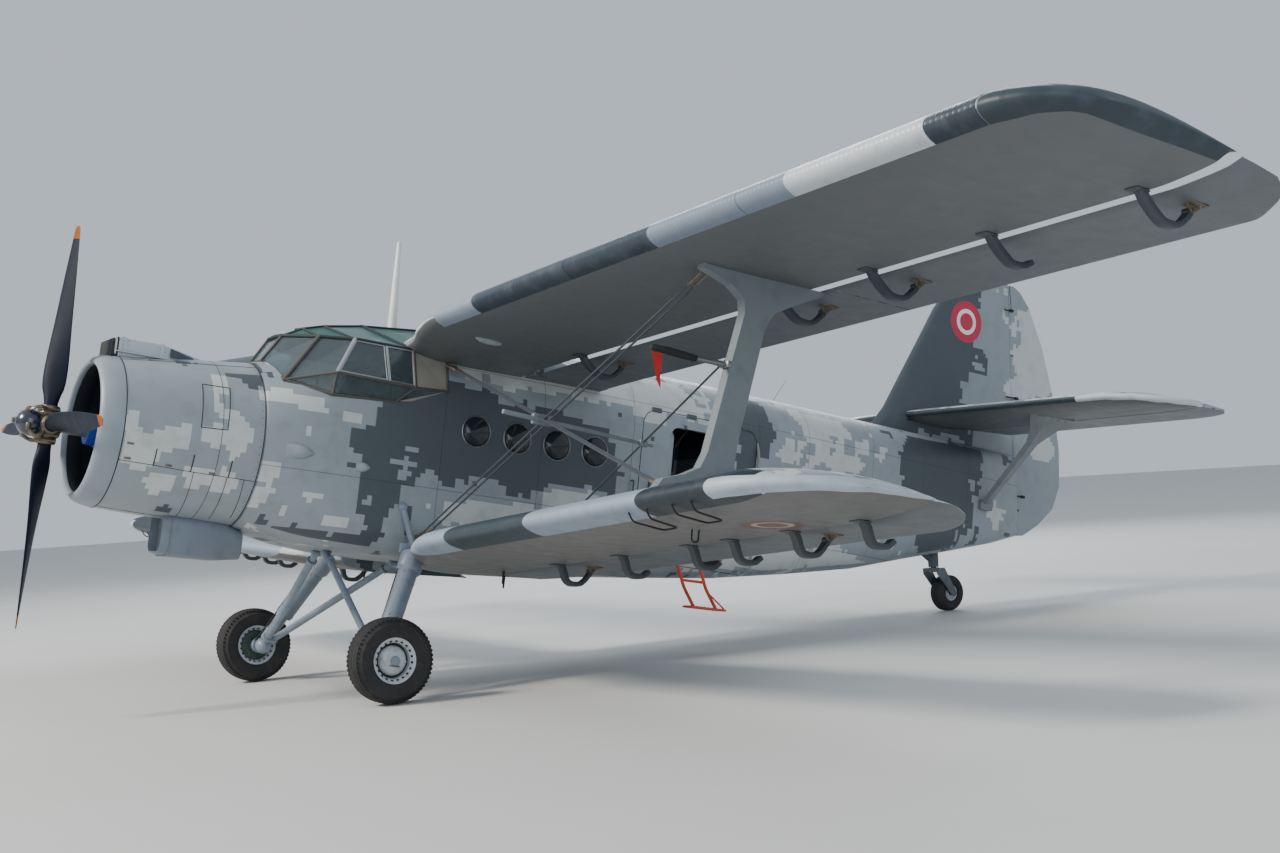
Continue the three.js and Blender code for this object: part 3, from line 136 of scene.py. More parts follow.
def bent(points: Sequence[Point], radius: float, steps: int = 5) -> list[Vector]:
    """Rounds the corners of a bent tube's route.

    Args:
        points: corners of the route.
        radius: how far before and after a corner the bend starts and ends.
        steps: pieces in each bend.

    Returns:
        The route with a smooth bend at each inner corner.
    """
    path = [Vector(p) for p in points]
    route = [path[0]]
    for before, corner, after in zip(path, path[1:], path[2:]):
        start = corner + (before - corner).normalized() * min(radius, (before - corner).length / 2)
        end = corner + (after - corner).normalized() * min(radius, (after - corner).length / 2)
        for k in range(steps + 1):
            t = k / steps
            route.append(start.lerp(corner, t).lerp(corner.lerp(end, t), t))
    return [*route, path[-1]]


def aimed(start: Point, end: Point) -> Matrix:
    """Returns axes at start whose Z runs towards end."""
    along = Vector(end) - Vector(start)
    return Matrix.Translation(start) @ along.to_track_quat("Z", "Y").to_matrix().to_4x4()


class Shape:
    """A mesh modelled with bmesh operators in one set of axes.

    Attributes:
        axes: matrix from the shape's axes to the row frame.
        mesh: the bmesh under work.
    """

    def __init__(self, axes: Matrix | None = None) -> None:
        """Starts an empty mesh in the given axes, or in the row frame."""
        self.axes = axes.copy() if axes else Matrix()
        self.mesh = bmesh.new()

    def added(self, known: set) -> list:
        """Returns the vertices that aren't in the known set."""
        return [v for v in self.mesh.verts if v not in known]

    def soften(self, verts: Iterable, width: float, segments: int = 2, angle: float = 30) -> None:
        """Rounds the edges between these vertices that are sharper than the angle in degrees.

        Args:
            verts: vertices whose edges may be rounded.
            width: how far from an edge its rounding starts.
            segments: faces across the rounding.
            angle: only edges sharper than this are rounded.
        """
        chosen = set(verts)
        edges = [
            e
            for e in self.mesh.edges
            if e.verts[0] in chosen
            and e.verts[1] in chosen
            and len(e.link_faces) == 2
            and e.calc_face_angle(0) > math.radians(angle)
        ]
        bmesh.ops.bevel(
            self.mesh, geom=edges, offset=width, offset_type="OFFSET", affect="EDGES",
            segments=segments, profile=0.5, material=-1, clamp_overlap=True,
        )

    def rod(
        self, start: Point, end: Point, radius: float, end_radius: float | None = None,
        sides: int = 16, soft: float = 0.0,
    ) -> "Shape":
        """Adds a round bar from start to end, tapered where end_radius is given.

        Args:
            start: middle of its first end.
            end: middle of its other end.
            radius: radius at the start.
            end_radius: radius at the end, where it differs.
            sides: corners of the round.
            soft: radius of its edges, or 0 where they stay sharp.

        Returns:
            The shape itself.
        """
        known = set(self.mesh.verts)
        length = (Vector(end) - Vector(start)).length
        bmesh.ops.create_cone(
            self.mesh, cap_ends=True, cap_tris=False, segments=sides, radius1=radius,
            radius2=radius if end_radius is None else end_radius, depth=length,
            matrix=aimed(start, end) @ Matrix.Translation((0, 0, length / 2)),
        )
        if soft:
            self.soften(self.added(known), soft, angle=50)
        return self

    def block(
        self, centre: Point, size: Point, turn: Matrix | None = None, soft: float = 0.0
    ) -> "Shape":
        """Adds a block by its centre and its sizes along X, Y and Z, turned about its centre.

        Args:
            centre: its middle.
            size: its sizes along X, Y and Z.
            turn: how it is turned about its middle.
            soft: radius of its edges, or 0 where they stay sharp.

        Returns:
            The shape itself.
        """
        known = set(self.mesh.verts)
        place = Matrix.Translation(centre) @ (turn or Matrix())
        bmesh.ops.create_cube(self.mesh, size=1, matrix=place @ Matrix.Diagonal((*size, 1)))
        if soft:
            self.soften(self.added(known), soft)
        return self

    def ball(self, centre: Point, radius: float, squash: Point = (1, 1, 1), sides: int = 16) -> "Shape":
        """Adds a ball, squashed along X, Y and Z.

        Args:
            centre: its middle.
            radius: its radius.
            squash: shares of the radius along X, Y and Z.
            sides: corners of the round.

        Returns:
            The shape itself.
        """
        bmesh.ops.create_uvsphere(
            self.mesh, u_segments=sides, v_segments=sides // 2, radius=radius,
            matrix=Matrix.Translation(centre) @ Matrix.Diagonal((*squash, 1)),
        )
        return self

    def turned(
        self, profile: Sequence[Point], foot: Point, towards: Point, sides: int = 48
    ) -> "Shape":
        """Spins a profile of (radius, height) pairs about the line from foot towards a point.

        Args:
            profile: (radius, height) pairs along the section.
            foot: where the height is 0.
            towards: a point further up the line.
            sides: steps of the spin.

        Returns:
            The shape itself.
        """
        known = set(self.mesh.verts)
        line = self._line([(radius, 0, height) for radius, height in profile])
        verts = list({v for e in line for v in e.verts})
        bmesh.ops.spin(
            self.mesh, geom=verts + line, cent=(0, 0, 0), axis=(0, 0, 1), angle=TURN,
            steps=sides, use_merge=True,
        )
        fresh = self.added(known)
        bmesh.ops.remove_doubles(self.mesh, verts=fresh, dist=1e-6)
        bmesh.ops.transform(self.mesh, matrix=aimed(foot, towards), verts=self.added(known))
        return self

    def _line(self, points: Iterable[Point]) -> list:
        """Adds a chain of edges through the points and returns the edges."""
        verts = [bmesh.ops.create_vert(self.mesh, co=p)["vert"][0] for p in points]
        return [self.mesh.edges.new(pair) for pair in zip(verts, verts[1:])]

    def loft(self, rings: Sequence[Sequence[Point]], ends: bool = True) -> "Shape":
        """Draws one closed ring out through all the others, which have as many points.

        Args:
            rings: the closed rings in order.
            ends: whether faces close the first and the last one.

        Returns:
            The shape itself.
        """
        verts = [bmesh.ops.create_vert(self.mesh, co=p)["vert"][0] for p in rings[0]]
        edges = [self.mesh.edges.new(pair) for pair in zip(verts, verts[1:] + verts[:1])]
        if ends:
            self.mesh.faces.new(verts)
        for ring in rings[1:]:
            made = bmesh.ops.extrude_edge_only(self.mesh, edges=edges)["geom"]
            fresh = {v for v in made if isinstance(v, bmesh.types.BMVert)}
            edges = [
                e for e in made
                if isinstance(e, bmesh.types.BMEdge) and e.verts[0] in fresh and e.verts[1] in fresh
            ]
            moved = []
            for vert, place in zip(verts, ring):
                follower = next(e.other_vert(vert) for e in vert.link_edges if e.other_vert(vert) in fresh)
                follower.co = Vector(place)
                moved.append(follower)
            verts = moved
        if ends:
            self.mesh.faces.new(verts)
        return self

    def tube(
        self, points: Sequence[Point], radius: float | Sequence[float], sides: int = 12,
        squash: float = 1.0,
    ) -> "Shape":
        """Sweeps a round or flattened section along a route.

        Args:
            points: the route.
            radius: one radius, or one for each point.
            sides: corners of the section.
            squash: thickness across as a share of the radius.

        Returns:
            The shape itself.
        """
        path = [Vector(p) for p in points]
        radii = list(radius) if isinstance(radius, Sequence) else [radius] * len(path)
        heading = (path[1] - path[0]).normalized()
        side = heading.orthogonal().normalized()
        rings = []
        for k, place in enumerate(path):
            ahead = (path[min(k + 1, len(path) - 1)] - path[max(k - 1, 0)]).normalized()
            side = (side - ahead * side.dot(ahead)).normalized()
            across = ahead.cross(side)
            rings.append(
                [
                    place + side * radii[k] * math.cos(a) + across * radii[k] * squash * math.sin(a)
                    for a in (TURN * j / sides for j in range(sides))
                ]
            )
        return self.loft(rings)

    def plate(self, outline: Sequence[Point], push: Point, soft: float = 0.0) -> "Shape":
        """Adds a flat plate with this outline, thickened along push.

        Args:
            outline: its corners in order.
            push: how thick it is and which way.
            soft: radius of its edges, or 0 where they stay sharp.

        Returns:
            The shape itself.
        """
        known = set(self.mesh.verts)
        verts = [bmesh.ops.create_vert(self.mesh, co=p)["vert"][0] for p in outline]
        face = self.mesh.faces.new(verts)
        made = bmesh.ops.extrude_face_region(self.mesh, geom=[face])["geom"]
        moved = [v for v in made if isinstance(v, bmesh.types.BMVert)]
        bmesh.ops.translate(self.mesh, vec=Vector(push), verts=moved)
        if soft:
            self.soften(self.added(known), soft)
        return self

    def bolts(
        self, places: Iterable[Point], out: Point, radius: float, high: float, sides: int = 6
    ) -> "Shape":
        """Adds bolt heads that stand out from a face."""
        for place in places:
            self.rod(place, Vector(place) + Vector(out).normalized() * high, radius, radius * 0.9, sides)
        return self

    def take(self, node: bpy.types.Object) -> "Shape":
        """Adds a merged copy of a frame node's loose triangles, which lie in the row frame.

        Args:
            node: the frame node.

        Returns:
            The shape itself.
        """
        known = set(self.mesh.verts)
        self.mesh.from_mesh(node.data)
        fresh = self.added(known)
        bmesh.ops.transform(self.mesh, matrix=self.axes.inverted(), verts=fresh)
        bmesh.ops.remove_doubles(self.mesh, verts=fresh, dist=WELD)
        fresh = set(self.added(known))
        edges = [e for e in self.mesh.edges if e.verts[0] in fresh]
        bmesh.ops.dissolve_limit(
            self.mesh, angle_limit=math.radians(FLAT), verts=list(fresh), edges=edges,
            use_dissolve_boundaries=False, delimit=set(),
        )
        return self

    def done(self, name: str, crease: float = 32, outward: bool = True) -> bpy.types.Object:
        """Turns the work into an object at the origin.

        Args:
            name: the piece's name.
            crease: edges sharper than this many degrees stay sharp.
            outward: whether faces are made to point outwards first.

        Returns:
            The new object.
        """
        if outward:
            bmesh.ops.recalc_face_normals(self.mesh, faces=self.mesh.faces)
        bmesh.ops.transform(self.mesh, matrix=self.axes, verts=self.mesh.verts)
        data = bpy.data.meshes.new(name)
        self.mesh.to_mesh(data)
        self.mesh.free()
        for face in data.polygons:
            face.use_smooth = True
        data.set_sharp_from_angle(angle=math.radians(crease))
        piece = bpy.data.objects.new(name, data)
        bpy.context.scene.collection.objects.link(piece)
        return piece
# Finishes


Socket = bpy.types.NodeSocket
Value = Socket | float
# Noise from the first value to the second carries a surface from clean to soiled.
DIRT = (0.5, 0.78)
# The same for the faint wide changes of tone under the dirt, and their share of the mottle.
WIDE_TONE = (0.3, 0.7)
WIDE_SHARE = 0.4
# Three sizes of patch in the stencilled paint: patches per metre, finer detail, and weight.
LARGE_PATCH = (0.95, 0.0, 0.5)
MIDDLE_PATCH = (2.6, 0.0, 0.9)
SMALL_PATCH = (6.0, 1.0, 0.6)
# A middle patch is laid out in cells this many times as wide as a stencil square.
COARSE_CELL = 3
# Faces whose normal stands further up or down than this take their squares from above.
LEVEL = 0.8
# How far apart in the noise the two sides lie, and the squares that are taken from above.
SIDE_SHIFT = 1.7
TOP_SHIFT = 5.0
# A blob sets in at the first share of its size and has its full tone at the second.
BLOB_FADE = (1.3, 0.4)
# Faces whose normal points further down than this are undersides.
UNDERSIDE = -0.25
# Faces whose normal stands less far up or down than this belong to a rounded edge.
ROUNDED = 0.88
# Half width of a seam in the sheet, how dark it shows, and the hex of the shadow in it.
SEAM = (0.0035, 0.55, "20262B")
# Rivets in metres: spacing in a row, spacing of the rows, and the head's outer and inner edge.
RIVET_PITCH = 0.055
RIVET_ROWS = 0.31
RIVET_HEAD = (0.0065, 0.004)
# Wave of the thin sheet between its frames: width in millimetres, and height against a rivet.
SHEET_WAVE = (380, 2.0)
# Fabric or sheet over a rib: how far from the rib it rises, and how much against a rivet.
RIB_RISE = (0.035, 3.0)


class Slot(Enum):
    """The record's groups of finishes."""

    CAMOUFLAGE = "camouflage_paint"
    PALE = "pale_paint"
    LEADING_EDGE = "leading_edge"
    GEAR = "gear_paint"
    RIGGING = "rigging_steel"
    WINDOWS = "window_glass"
    CANOPY = "canopy_paint"
    TYRES = "tyre_rubber"
    RIMS = "rim_paint"
    ENGINE = "engine_metal"
    HUB = "hub_metal"
    EXHAUST = "exhaust_steel"
    CABIN = "cabin_trim"
    SEATS = "seat_cover"
    PANEL = "panel_paint"
    LADDER = "ladder_paint"
    BLADES = "blade_paint"


def linear(code: str) -> tuple[float, float, float, float]:
    """Turns an sRGB hex colour into linear red, green, blue and alpha."""
    parts = [int(code[k : k + 2], 16) / 255 for k in (0, 2, 4)]
    return (*(c / 12.92 if c <= 0.04045 else ((c + 0.055) / 1.055) ** 2.4 for c in parts), 1.0)


def add(tree: bpy.types.NodeTree, kind: str, links: dict | None = None, **settings) -> bpy.types.Node:
    """Adds a shader node.

    Args:
        tree: the material's node tree.
        kind: the node type without its ShaderNode prefix.
        links: a socket or a constant for each input, by name or number.
        **settings: the node's own properties.

    Returns:
        The new node.
    """
    node = tree.nodes.new("ShaderNode" + kind)
    for name, value in settings.items():
        setattr(node, name, value)
    for name, value in (links or {}).items():
        if isinstance(value, bpy.types.NodeSocket):
            tree.links.new(value, node.inputs[name])
        else:
            node.inputs[name].default_value = value
    return node


def maths(tree: bpy.types.NodeTree, operation: str, *values: Value) -> Socket:
    """Returns the output of a Math node on up to three sockets or numbers."""
    return add(tree, "Math", dict(enumerate(values)), operation=operation).outputs[0]


def blended(tree: bpy.types.NodeTree, share: Value, under: Socket | tuple, over: Socket | tuple) -> Socket:
    """Returns the colour that lies between under and over by a share."""
    return add(tree, "Mix", {0: share, 6: under, 7: over}, data_type="RGBA").outputs[2]


def blended_value(tree: bpy.types.NodeTree, share: Value, under: Value, over: Value) -> Socket:
    """Returns the number that lies between under and over by a share."""
    return add(tree, "Mix", {0: share, 2: under, 3: over}, data_type="FLOAT").outputs[0]


def spots(tree: bpy.types.NodeTree, where: Socket, millimetres: float, detail: float = 2.0) -> Socket:
    """Returns noise from 0 to 1 whose patches are about that many millimetres across."""
    links = {"Vector": where, "Scale": 1000 / millimetres, "Detail": detail}
    return add(tree, "TexNoise", links).outputs["Fac"]


def banded(
    tree: bpy.types.NodeTree, value: Value, low: float, high: float, start: float = 0.0, end: float = 1.0
) -> Socket:
    """Returns value carried from the range low to high onto start to end, clamped."""
    links = {0: value, 1: low, 2: high, 3: start, 4: end}
    return add(tree, "MapRange", links).outputs[0]


@dataclass(frozen=True)
class Finish:
    """One real material and how its surface was made.

    Attributes:
        name: the material's name.
        group: the record's slot that it belongs to, or none on the stage.
        colour: sRGB hex of the clean surface.
        soiled: sRGB hex that dirt or wear turns it towards.
        rough: roughness of the clean surface.
        metal: metallic share.
        coat: clear coat weight.
        gleam: strength of the plain reflection; 0.5 is that of the IOR.
        mottle_mm: size of the patches of dirt or tone.
        mottle: how far patches turn to the soiled colour.
        grain_mm: size of the surface's own texture.
        grain: height of that texture in millimetres.
    """

    name: str
    group: Slot | None
    colour: str
    soiled: str
    rough: float = 0.5
    metal: float = 0.0
    coat: float = 0.0
    gleam: float = 0.5
    mottle_mm: float = 160
    mottle: float = 0.35
    grain_mm: float = 14
    grain: float = 0.15

    @property
    def slot(self) -> str:
        """The slot's name in the record."""
        return self.group.value

    def colours(self, tree: bpy.types.NodeTree, where: Socket) -> Socket:
        """Returns the surface's colour before dirt; kinds of finish override it."""
        tone = spots(tree, where, self.mottle_mm * 4, 1)
        share = banded(tree, tone, *WIDE_TONE, 0.0, self.mottle * WIDE_SHARE)
        return blended(tree, share, linear(self.colour), linear(self.soiled))

    def height(self, tree: bpy.types.NodeTree, where: Socket) -> Socket:
        """Returns the surface's own relief from 0 to 1; kinds of finish override it."""
        return spots(tree, where, self.grain_mm, 3)

    def material(self) -> bpy.types.Material:
        """Returns the material, made once."""
        found = bpy.data.materials.get(self.name)
        if found:
            return found
        made = bpy.data.materials.new(self.name)
        made.use_nodes = True
        tree = made.node_tree
        shader = tree.nodes["Principled BSDF"]
        where = add(tree, "TexCoord").outputs["Object"]
        colour = self.colours(tree, where)
        patches = spots(tree, where, self.mottle_mm, 5)
        dirt = banded(tree, patches, *DIRT, 0.0, self.mottle)
        colour = blended(tree, dirt, colour, linear(self.soiled))
        rough = banded(tree, patches, 0.2, 0.8, max(0.03, self.rough - 0.08), min(1.0, self.rough + 0.1))
        links = {"Height": self.height(tree, where), "Distance": self.grain / 1000, "Strength": 1.0}
        bump = add(tree, "Bump", links).outputs["Normal"]
        tree.links.new(colour, shader.inputs["Base Color"])
        tree.links.new(rough, shader.inputs["Roughness"])
        tree.links.new(bump, shader.inputs["Normal"])
        shader.inputs["Metallic"].default_value = self.metal
        shader.inputs["Coat Weight"].default_value = self.coat
        shader.inputs["Specular IOR Level"].default_value = self.gleam
        shader.inputs["Coat Roughness"].default_value = 0.2
        return made


@dataclass(frozen=True)
class Glazing(Finish):
    """Acrylic sheet, drawn and polished: clear and slightly blue, with faint haze.

    Attributes:
        see_through: share of the light that passes into the sheet.
    """

    see_through: float = 0.9

    def material(self) -> bpy.types.Material:
        """Returns the clear material, made once."""
        found = bpy.data.materials.get(self.name)
        if found:
            return found
        made = super().material()
        shader = made.node_tree.nodes["Principled BSDF"]
        shader.inputs["Transmission Weight"].default_value = self.see_through
        shader.inputs["IOR"].default_value = 1.49
        return made


@dataclass(frozen=True)
class Weave(Finish):
    """Woven cloth whose threads cross at an even spacing, drawn coarse enough to show.

    Attributes:
        thread_mm: spacing of the threads.
    """

    thread_mm: float = 6

    def height(self, tree: bpy.types.NodeTree, where: Socket) -> Socket:
        """Returns crossing threads as relief.

        Args:
            tree: the material's node tree.
            where: object coordinates.

        Returns:
            The relief from 0 to 1.
        """
        # The bands of a wave texture repeat every 0.31 of its scaled length, near 2 / TURN.
        links = {"Vector": where, "Scale": 1000 / self.thread_mm / TURN * 2}
        one = add(tree, "TexWave", links, bands_direction="X").outputs["Fac"]
        other = add(tree, "TexWave", links, bands_direction="Z").outputs["Fac"]
        return maths(tree, "MULTIPLY", one, other)


@dataclass(frozen=True)
class BladePaint(Finish):
    """Enamel sprayed on a forged blade: deep blue black, with a warm band at the tip.

    Attributes:
        centre: the propeller's centre.
        tip_from: distance from the centre where the tip colour starts.
        tip: sRGB hex of the tip colour.
    """

    centre: tuple = (0, 0, 0)
    tip_from: float = 1.7
    tip: str = "C98A3C"

    def colours(self, tree: bpy.types.NodeTree, where: Socket) -> Socket:
        """Returns the blade colour with its tip band."""
        away = add(tree, "VectorMath", {0: where, 1: self.centre}, operation="DISTANCE").outputs["Value"]
        under = super().colours(tree, where)
        return blended(tree, maths(tree, "GREATER_THAN", away, self.tip_from), under, linear(self.tip))


@dataclass(frozen=True)
class Blob:
    """A soft patch of the camouflage in side view.

    Attributes:
        x: place along the airframe.
        z: height in airframe axes.
        wide: half length.
        high: half height.
        tone: how much darker it makes the paint, or paler if negative.
    """

    x: float
    z: float
    wide: float
    high: float
    tone: float


@dataclass(frozen=True)
class Ring:
    """A plain round mark of two colours on a panel, without any sign on it.

    Attributes:
        centre: its middle in the row frame.
        radius: its outer radius.
        outer: sRGB hex of the outer ring and the middle disc.
        inner: sRGB hex of the ring between them.
        shares: radius of that ring's two edges as shares of the whole.
        below: whether only faces that look down carry it.
    """

    centre: tuple
    radius: float
    outer: str
    inner: str
    shares: tuple = (0.62, 0.42)
    below: bool = False


@dataclass(frozen=True)
class Camouflage(Finish):
    """Matt two-part paint sprayed through square stencils over riveted sheet.

    The squares come from noise read at the corners of small and of large cells, so that the
    borders between the paints run in steps while the patches stay large.

    Attributes:
        origin: the airframe axes' origin in the row frame.
        pitch: how far the airframe stands nose up, in degrees.
        cell_mm: side of one stencil square.
        blobs: soft patches that the squares follow.
        tones: sRGB hex of the paints from palest to darkest.
        edges: where one paint gives way to the next.
        base: overall darkness, from 0 to 1.
        vary: how much the noise moves the tone.
        below: sRGB hex of panels that look down, or none where they carry the pattern too.
        nose: X where a leading edge's bands start, and for each band where it starts and its hex.
        seams: X of vertical seams in the sheet.
        rows: Z of level seams in the sheet.
        rings: round marks.
        rims: for each stretch of a rounded edge, where it starts and ends along Y, and its hex.
        ribs_mm: spacing of a wing's ribs along Y, or 0 where there are none.
    """

    origin: tuple = (0, 0, 0)
    pitch: float = 10.8
    cell_mm: float = 46
    blobs: tuple = ()
    tones: tuple = ("BEC2C0", "8B949A", "444D54")
    edges: tuple = (0.36, 0.64)
    base: float = 0.5
    vary: float = 1.0
    below: str | None = None
    nose: tuple = ()
    seams: tuple = ()
    rows: tuple = ()
    rings: tuple = ()
    rims: tuple = ()
    ribs_mm: float = 0.0

    def _axes(self, tree: bpy.types.NodeTree, where: Socket) -> tuple[Socket, Socket, Socket]:
        """Returns X, Y and Z in airframe axes.

        Args:
            tree: the material's node tree.
            where: object coordinates.

        Returns:
            One socket for each of the three.
        """
        turn = (0, -math.radians(self.pitch), 0)
        links = {"Vector": where, "Location": self.origin, "Rotation": turn}
        inside = add(tree, "Mapping", links, vector_type="TEXTURE").outputs[0]
        parts = add(tree, "SeparateXYZ", {0: inside})
        return parts.outputs[0], parts.outputs[1], parts.outputs[2]

    def _cells(self, tree: bpy.types.NodeTree, x: Socket, side: Socket, up: Socket, cell: float) -> Socket:
        """Returns the corner of the stencil cell that a place lies in."""
        links = {0: maths(tree, "SNAP", x, cell), 1: side, 2: maths(tree, "SNAP", up, cell)}
        return add(tree, "CombineXYZ", links).outputs[0]

    def _tone(self, tree: bpy.types.NodeTree, place: tuple[Socket, Socket, Socket], down: Socket) -> Socket:
        """Returns how dark the paint is, the same all over one stencil square.

        Args:
            tree: the material's node tree.
            place: X, Y and Z in airframe axes.
            down: the height part of the surface's normal.

        Returns:
            The tone, pale at 0 and dark at 1.
        """
        x, y, z = place
        level = maths(tree, "GREATER_THAN", maths(tree, "ABSOLUTE", down), LEVEL)
        up = blended_value(tree, level, z, maths(tree, "ADD", y, TOP_SHIFT))
        shift = blended_value(tree, level, SIDE_SHIFT, 0.0)
        side = maths(tree, "MULTIPLY", maths(tree, "SIGN", y), shift)
        fine = self._cells(tree, x, side, up, self.cell_mm / 1000)
        coarse = self._cells(tree, x, side, up, self.cell_mm / 1000 * COARSE_CELL)
        tone = 0.0
        for cell, (scale, detail, weight) in (
            (fine, LARGE_PATCH), (coarse, MIDDLE_PATCH), (fine, SMALL_PATCH),
        ):
            links = {"Vector": cell, "Scale": scale, "Detail": detail}
            tone = maths(tree, "MULTIPLY_ADD", add(tree, "TexNoise", links).outputs["Fac"], weight, tone)
        tone = maths(tree, "MULTIPLY_ADD", tone, self.vary, self.base - self.vary)
        for blob in self.blobs:
            parts = add(tree, "SeparateXYZ", {0: fine}).outputs
            along = maths(tree, "MULTIPLY", maths(tree, "SUBTRACT", parts[0], blob.x), 1 / blob.wide)
            rise = maths(tree, "MULTIPLY", maths(tree, "SUBTRACT", parts[2], blob.z), 1 / blob.high)
            square = maths(tree, "MULTIPLY", along, along)
            away = maths(tree, "SQRT", maths(tree, "MULTIPLY_ADD", rise, rise, square))
            tone = maths(tree, "ADD", tone, banded(tree, away, *BLOB_FADE, 0.0, blob.tone))
        return tone

    def _paint(self, tree: bpy.types.NodeTree, tone: Socket) -> Socket:
        """Returns the paint that belongs to a tone, with hard borders between paints.

        Args:
            tree: the material's node tree.
            tone: how dark the paint is.

        Returns:
            The paint's colour.
        """
        colour = add(tree, "ValToRGB", {0: tone})
        ramp = colour.color_ramp
        ramp.interpolation = "CONSTANT"
        ramp.elements[0].color = linear(self.tones[0])
        ramp.elements[1].position = self.edges[0]
        ramp.elements[1].color = linear(self.tones[1])
        for edge, code in zip(self.edges[1:], self.tones[2:]):
            ramp.elements.new(edge).color = linear(code)
        return colour.outputs[0]

    def _edged(
        self, tree: bpy.types.NodeTree, colour: Socket, place: tuple[Socket, Socket, Socket], down: Socket
    ) -> Socket:
        """Returns the colour with a leading edge's bands and the rims of rounded edges over it.

        Args:
            tree: the material's node tree.
            colour: the colour under it.
            place: X, Y and Z in airframe axes.
            down: the height part of the surface's normal.

        Returns:
            The colour with them.
        """
        x, y, _ = place
        out = maths(tree, "ABSOLUTE", y)
        if self.nose:
            ahead, bands = self.nose
            band = along_span(tree, out, bands)
            colour = blended(tree, maths(tree, "GREATER_THAN", x, ahead), colour, band)
        steep = maths(tree, "LESS_THAN", maths(tree, "ABSOLUTE", down), ROUNDED)
        for start, end, code in self.rims:
            reached = maths(tree, "GREATER_THAN", out, start)
            inside = maths(tree, "MULTIPLY", reached, maths(tree, "LESS_THAN", out, end))
            colour = blended(tree, maths(tree, "MULTIPLY", steep, inside), colour, linear(code))
        return colour

    def _line(self, tree: bpy.types.NodeTree, colour: Socket, along: Socket, at: float) -> Socket:
        """Returns the colour with a thin dark seam where along is at."""
        half, dark, code = SEAM
        near = maths(tree, "COMPARE", along, at, half)
        return blended(tree, maths(tree, "MULTIPLY", near, dark), colour, linear(code))

    def _ringed(
        self, tree: bpy.types.NodeTree, colour: Socket, where: Socket, down: Socket, ring: Ring
    ) -> Socket:
        """Returns the colour with a round mark over it.

        Args:
            tree: the material's node tree.
            colour: the colour under it.
            where: object coordinates.
            down: the height part of the surface's normal.
            ring: the round mark.

        Returns:
            The colour with the mark.
        """
        away = add(tree, "VectorMath", {0: where, 1: ring.centre}, operation="DISTANCE").outputs["Value"]
        if ring.below:
            away = maths(tree, "ADD", away, maths(tree, "GREATER_THAN", down, 0.0))
        for share, code in zip((1.0, *ring.shares), (ring.outer, ring.inner, ring.outer)):
            inside = maths(tree, "LESS_THAN", away, ring.radius * share)
            colour = blended(tree, inside, colour, linear(code))
        return colour

    def colours(self, tree: bpy.types.NodeTree, where: Socket) -> Socket:
        """Returns the squares, with undersides, edges, seams and round marks over them.

        Args:
            tree: the material's node tree.
            where: object coordinates.

        Returns:
            The colour before dirt.
        """
        place = self._axes(tree, where)
        normal = add(tree, "TexCoord").outputs["Normal"]
        down = add(tree, "SeparateXYZ", {0: normal}).outputs[2]
        colour = self._paint(tree, self._tone(tree, place, down))
        if self.below:
            under = maths(tree, "LESS_THAN", down, UNDERSIDE)
            colour = blended(tree, under, colour, linear(self.below))
        colour = self._edged(tree, colour, place, down)
        for at in self.seams:
            colour = self._line(tree, colour, place[0], at)
        for at in self.rows:
            colour = self._line(tree, colour, place[2], at)
        for ring in self.rings:
            colour = self._ringed(tree, colour, where, down, ring)
        return colour

    def _rivets(self, tree: bpy.types.NodeTree, across: Socket, along: Socket) -> Socket:
        """Returns the squared distance to the nearest rivet of the rows that run along."""
        beside = maths(tree, "PINGPONG", across, RIVET_ROWS / 2)
        between = maths(tree, "PINGPONG", along, RIVET_PITCH / 2)
        return maths(tree, "ADD", maths(tree, "POWER", beside, 2), maths(tree, "POWER", between, 2))

    def height(self, tree: bpy.types.NodeTree, where: Socket) -> Socket:
        """Returns rivet heads, drawn coarse enough to show, in lines along frames and stringers.

        Args:
            tree: the material's node tree.
            where: object coordinates.

        Returns:
            The relief, in heights of a rivet.
        """
        x, y, z = self._axes(tree, where)
        nearest = maths(tree, "MINIMUM", self._rivets(tree, x, z), self._rivets(tree, z, x))
        rivet = banded(tree, maths(tree, "SQRT", nearest), *RIVET_HEAD)
        wide, tall = SHEET_WAVE
        wave = maths(tree, "MULTIPLY_ADD", spots(tree, where, wide, 1), tall, rivet)
        if not self.ribs_mm:
            return wave
        rib = maths(tree, "PINGPONG", y, self.ribs_mm / 2000)
        reach, rise = RIB_RISE
        return maths(tree, "ADD", wave, banded(tree, rib, 0.0, reach, rise, 0.0))


def along_span(
    tree: bpy.types.NodeTree, place: Socket, bands: Sequence[tuple[float, str]]
) -> Socket | tuple:
    """Returns the colour of the band that a place along the span lies in.

    Args:
        tree: the material's node tree.
        place: distance out from the centre line.
        bands: where each band starts, and its sRGB hex.

    Returns:
        The colour socket that picks the band.
    """
    colour = linear(bands[0][1])
    for start, code in bands[1:]:
        colour = blended(tree, maths(tree, "GREATER_THAN", place, start), colour, linear(code))
    return colour


@dataclass(frozen=True)
class BandedSheet(Finish):
    """Anodised and painted sheet whose stretches along a wing differ in tone, with pressed ribs.

    Attributes:
        bands: where each stretch starts along Y, and its sRGB hex.
        ribs_mm: spacing of the pressed ribs.
    """

    bands: tuple = ()
    ribs_mm: float = 46

    def colours(self, tree: bpy.types.NodeTree, where: Socket) -> Socket:
        """Returns the stretches' colours."""
        out = maths(tree, "ABSOLUTE", add(tree, "SeparateXYZ", {0: where}).outputs[1])
        return along_span(tree, out, self.bands)

    def height(self, tree: bpy.types.NodeTree, where: Socket) -> Socket:
        """Returns ribs that run round the sheet."""
        out = add(tree, "SeparateXYZ", {0: where}).outputs[1]
        rib = maths(tree, "PINGPONG", out, self.ribs_mm / 2000)
        return banded(tree, rib, self.ribs_mm / 5000, self.ribs_mm / 2500)
# Workshop


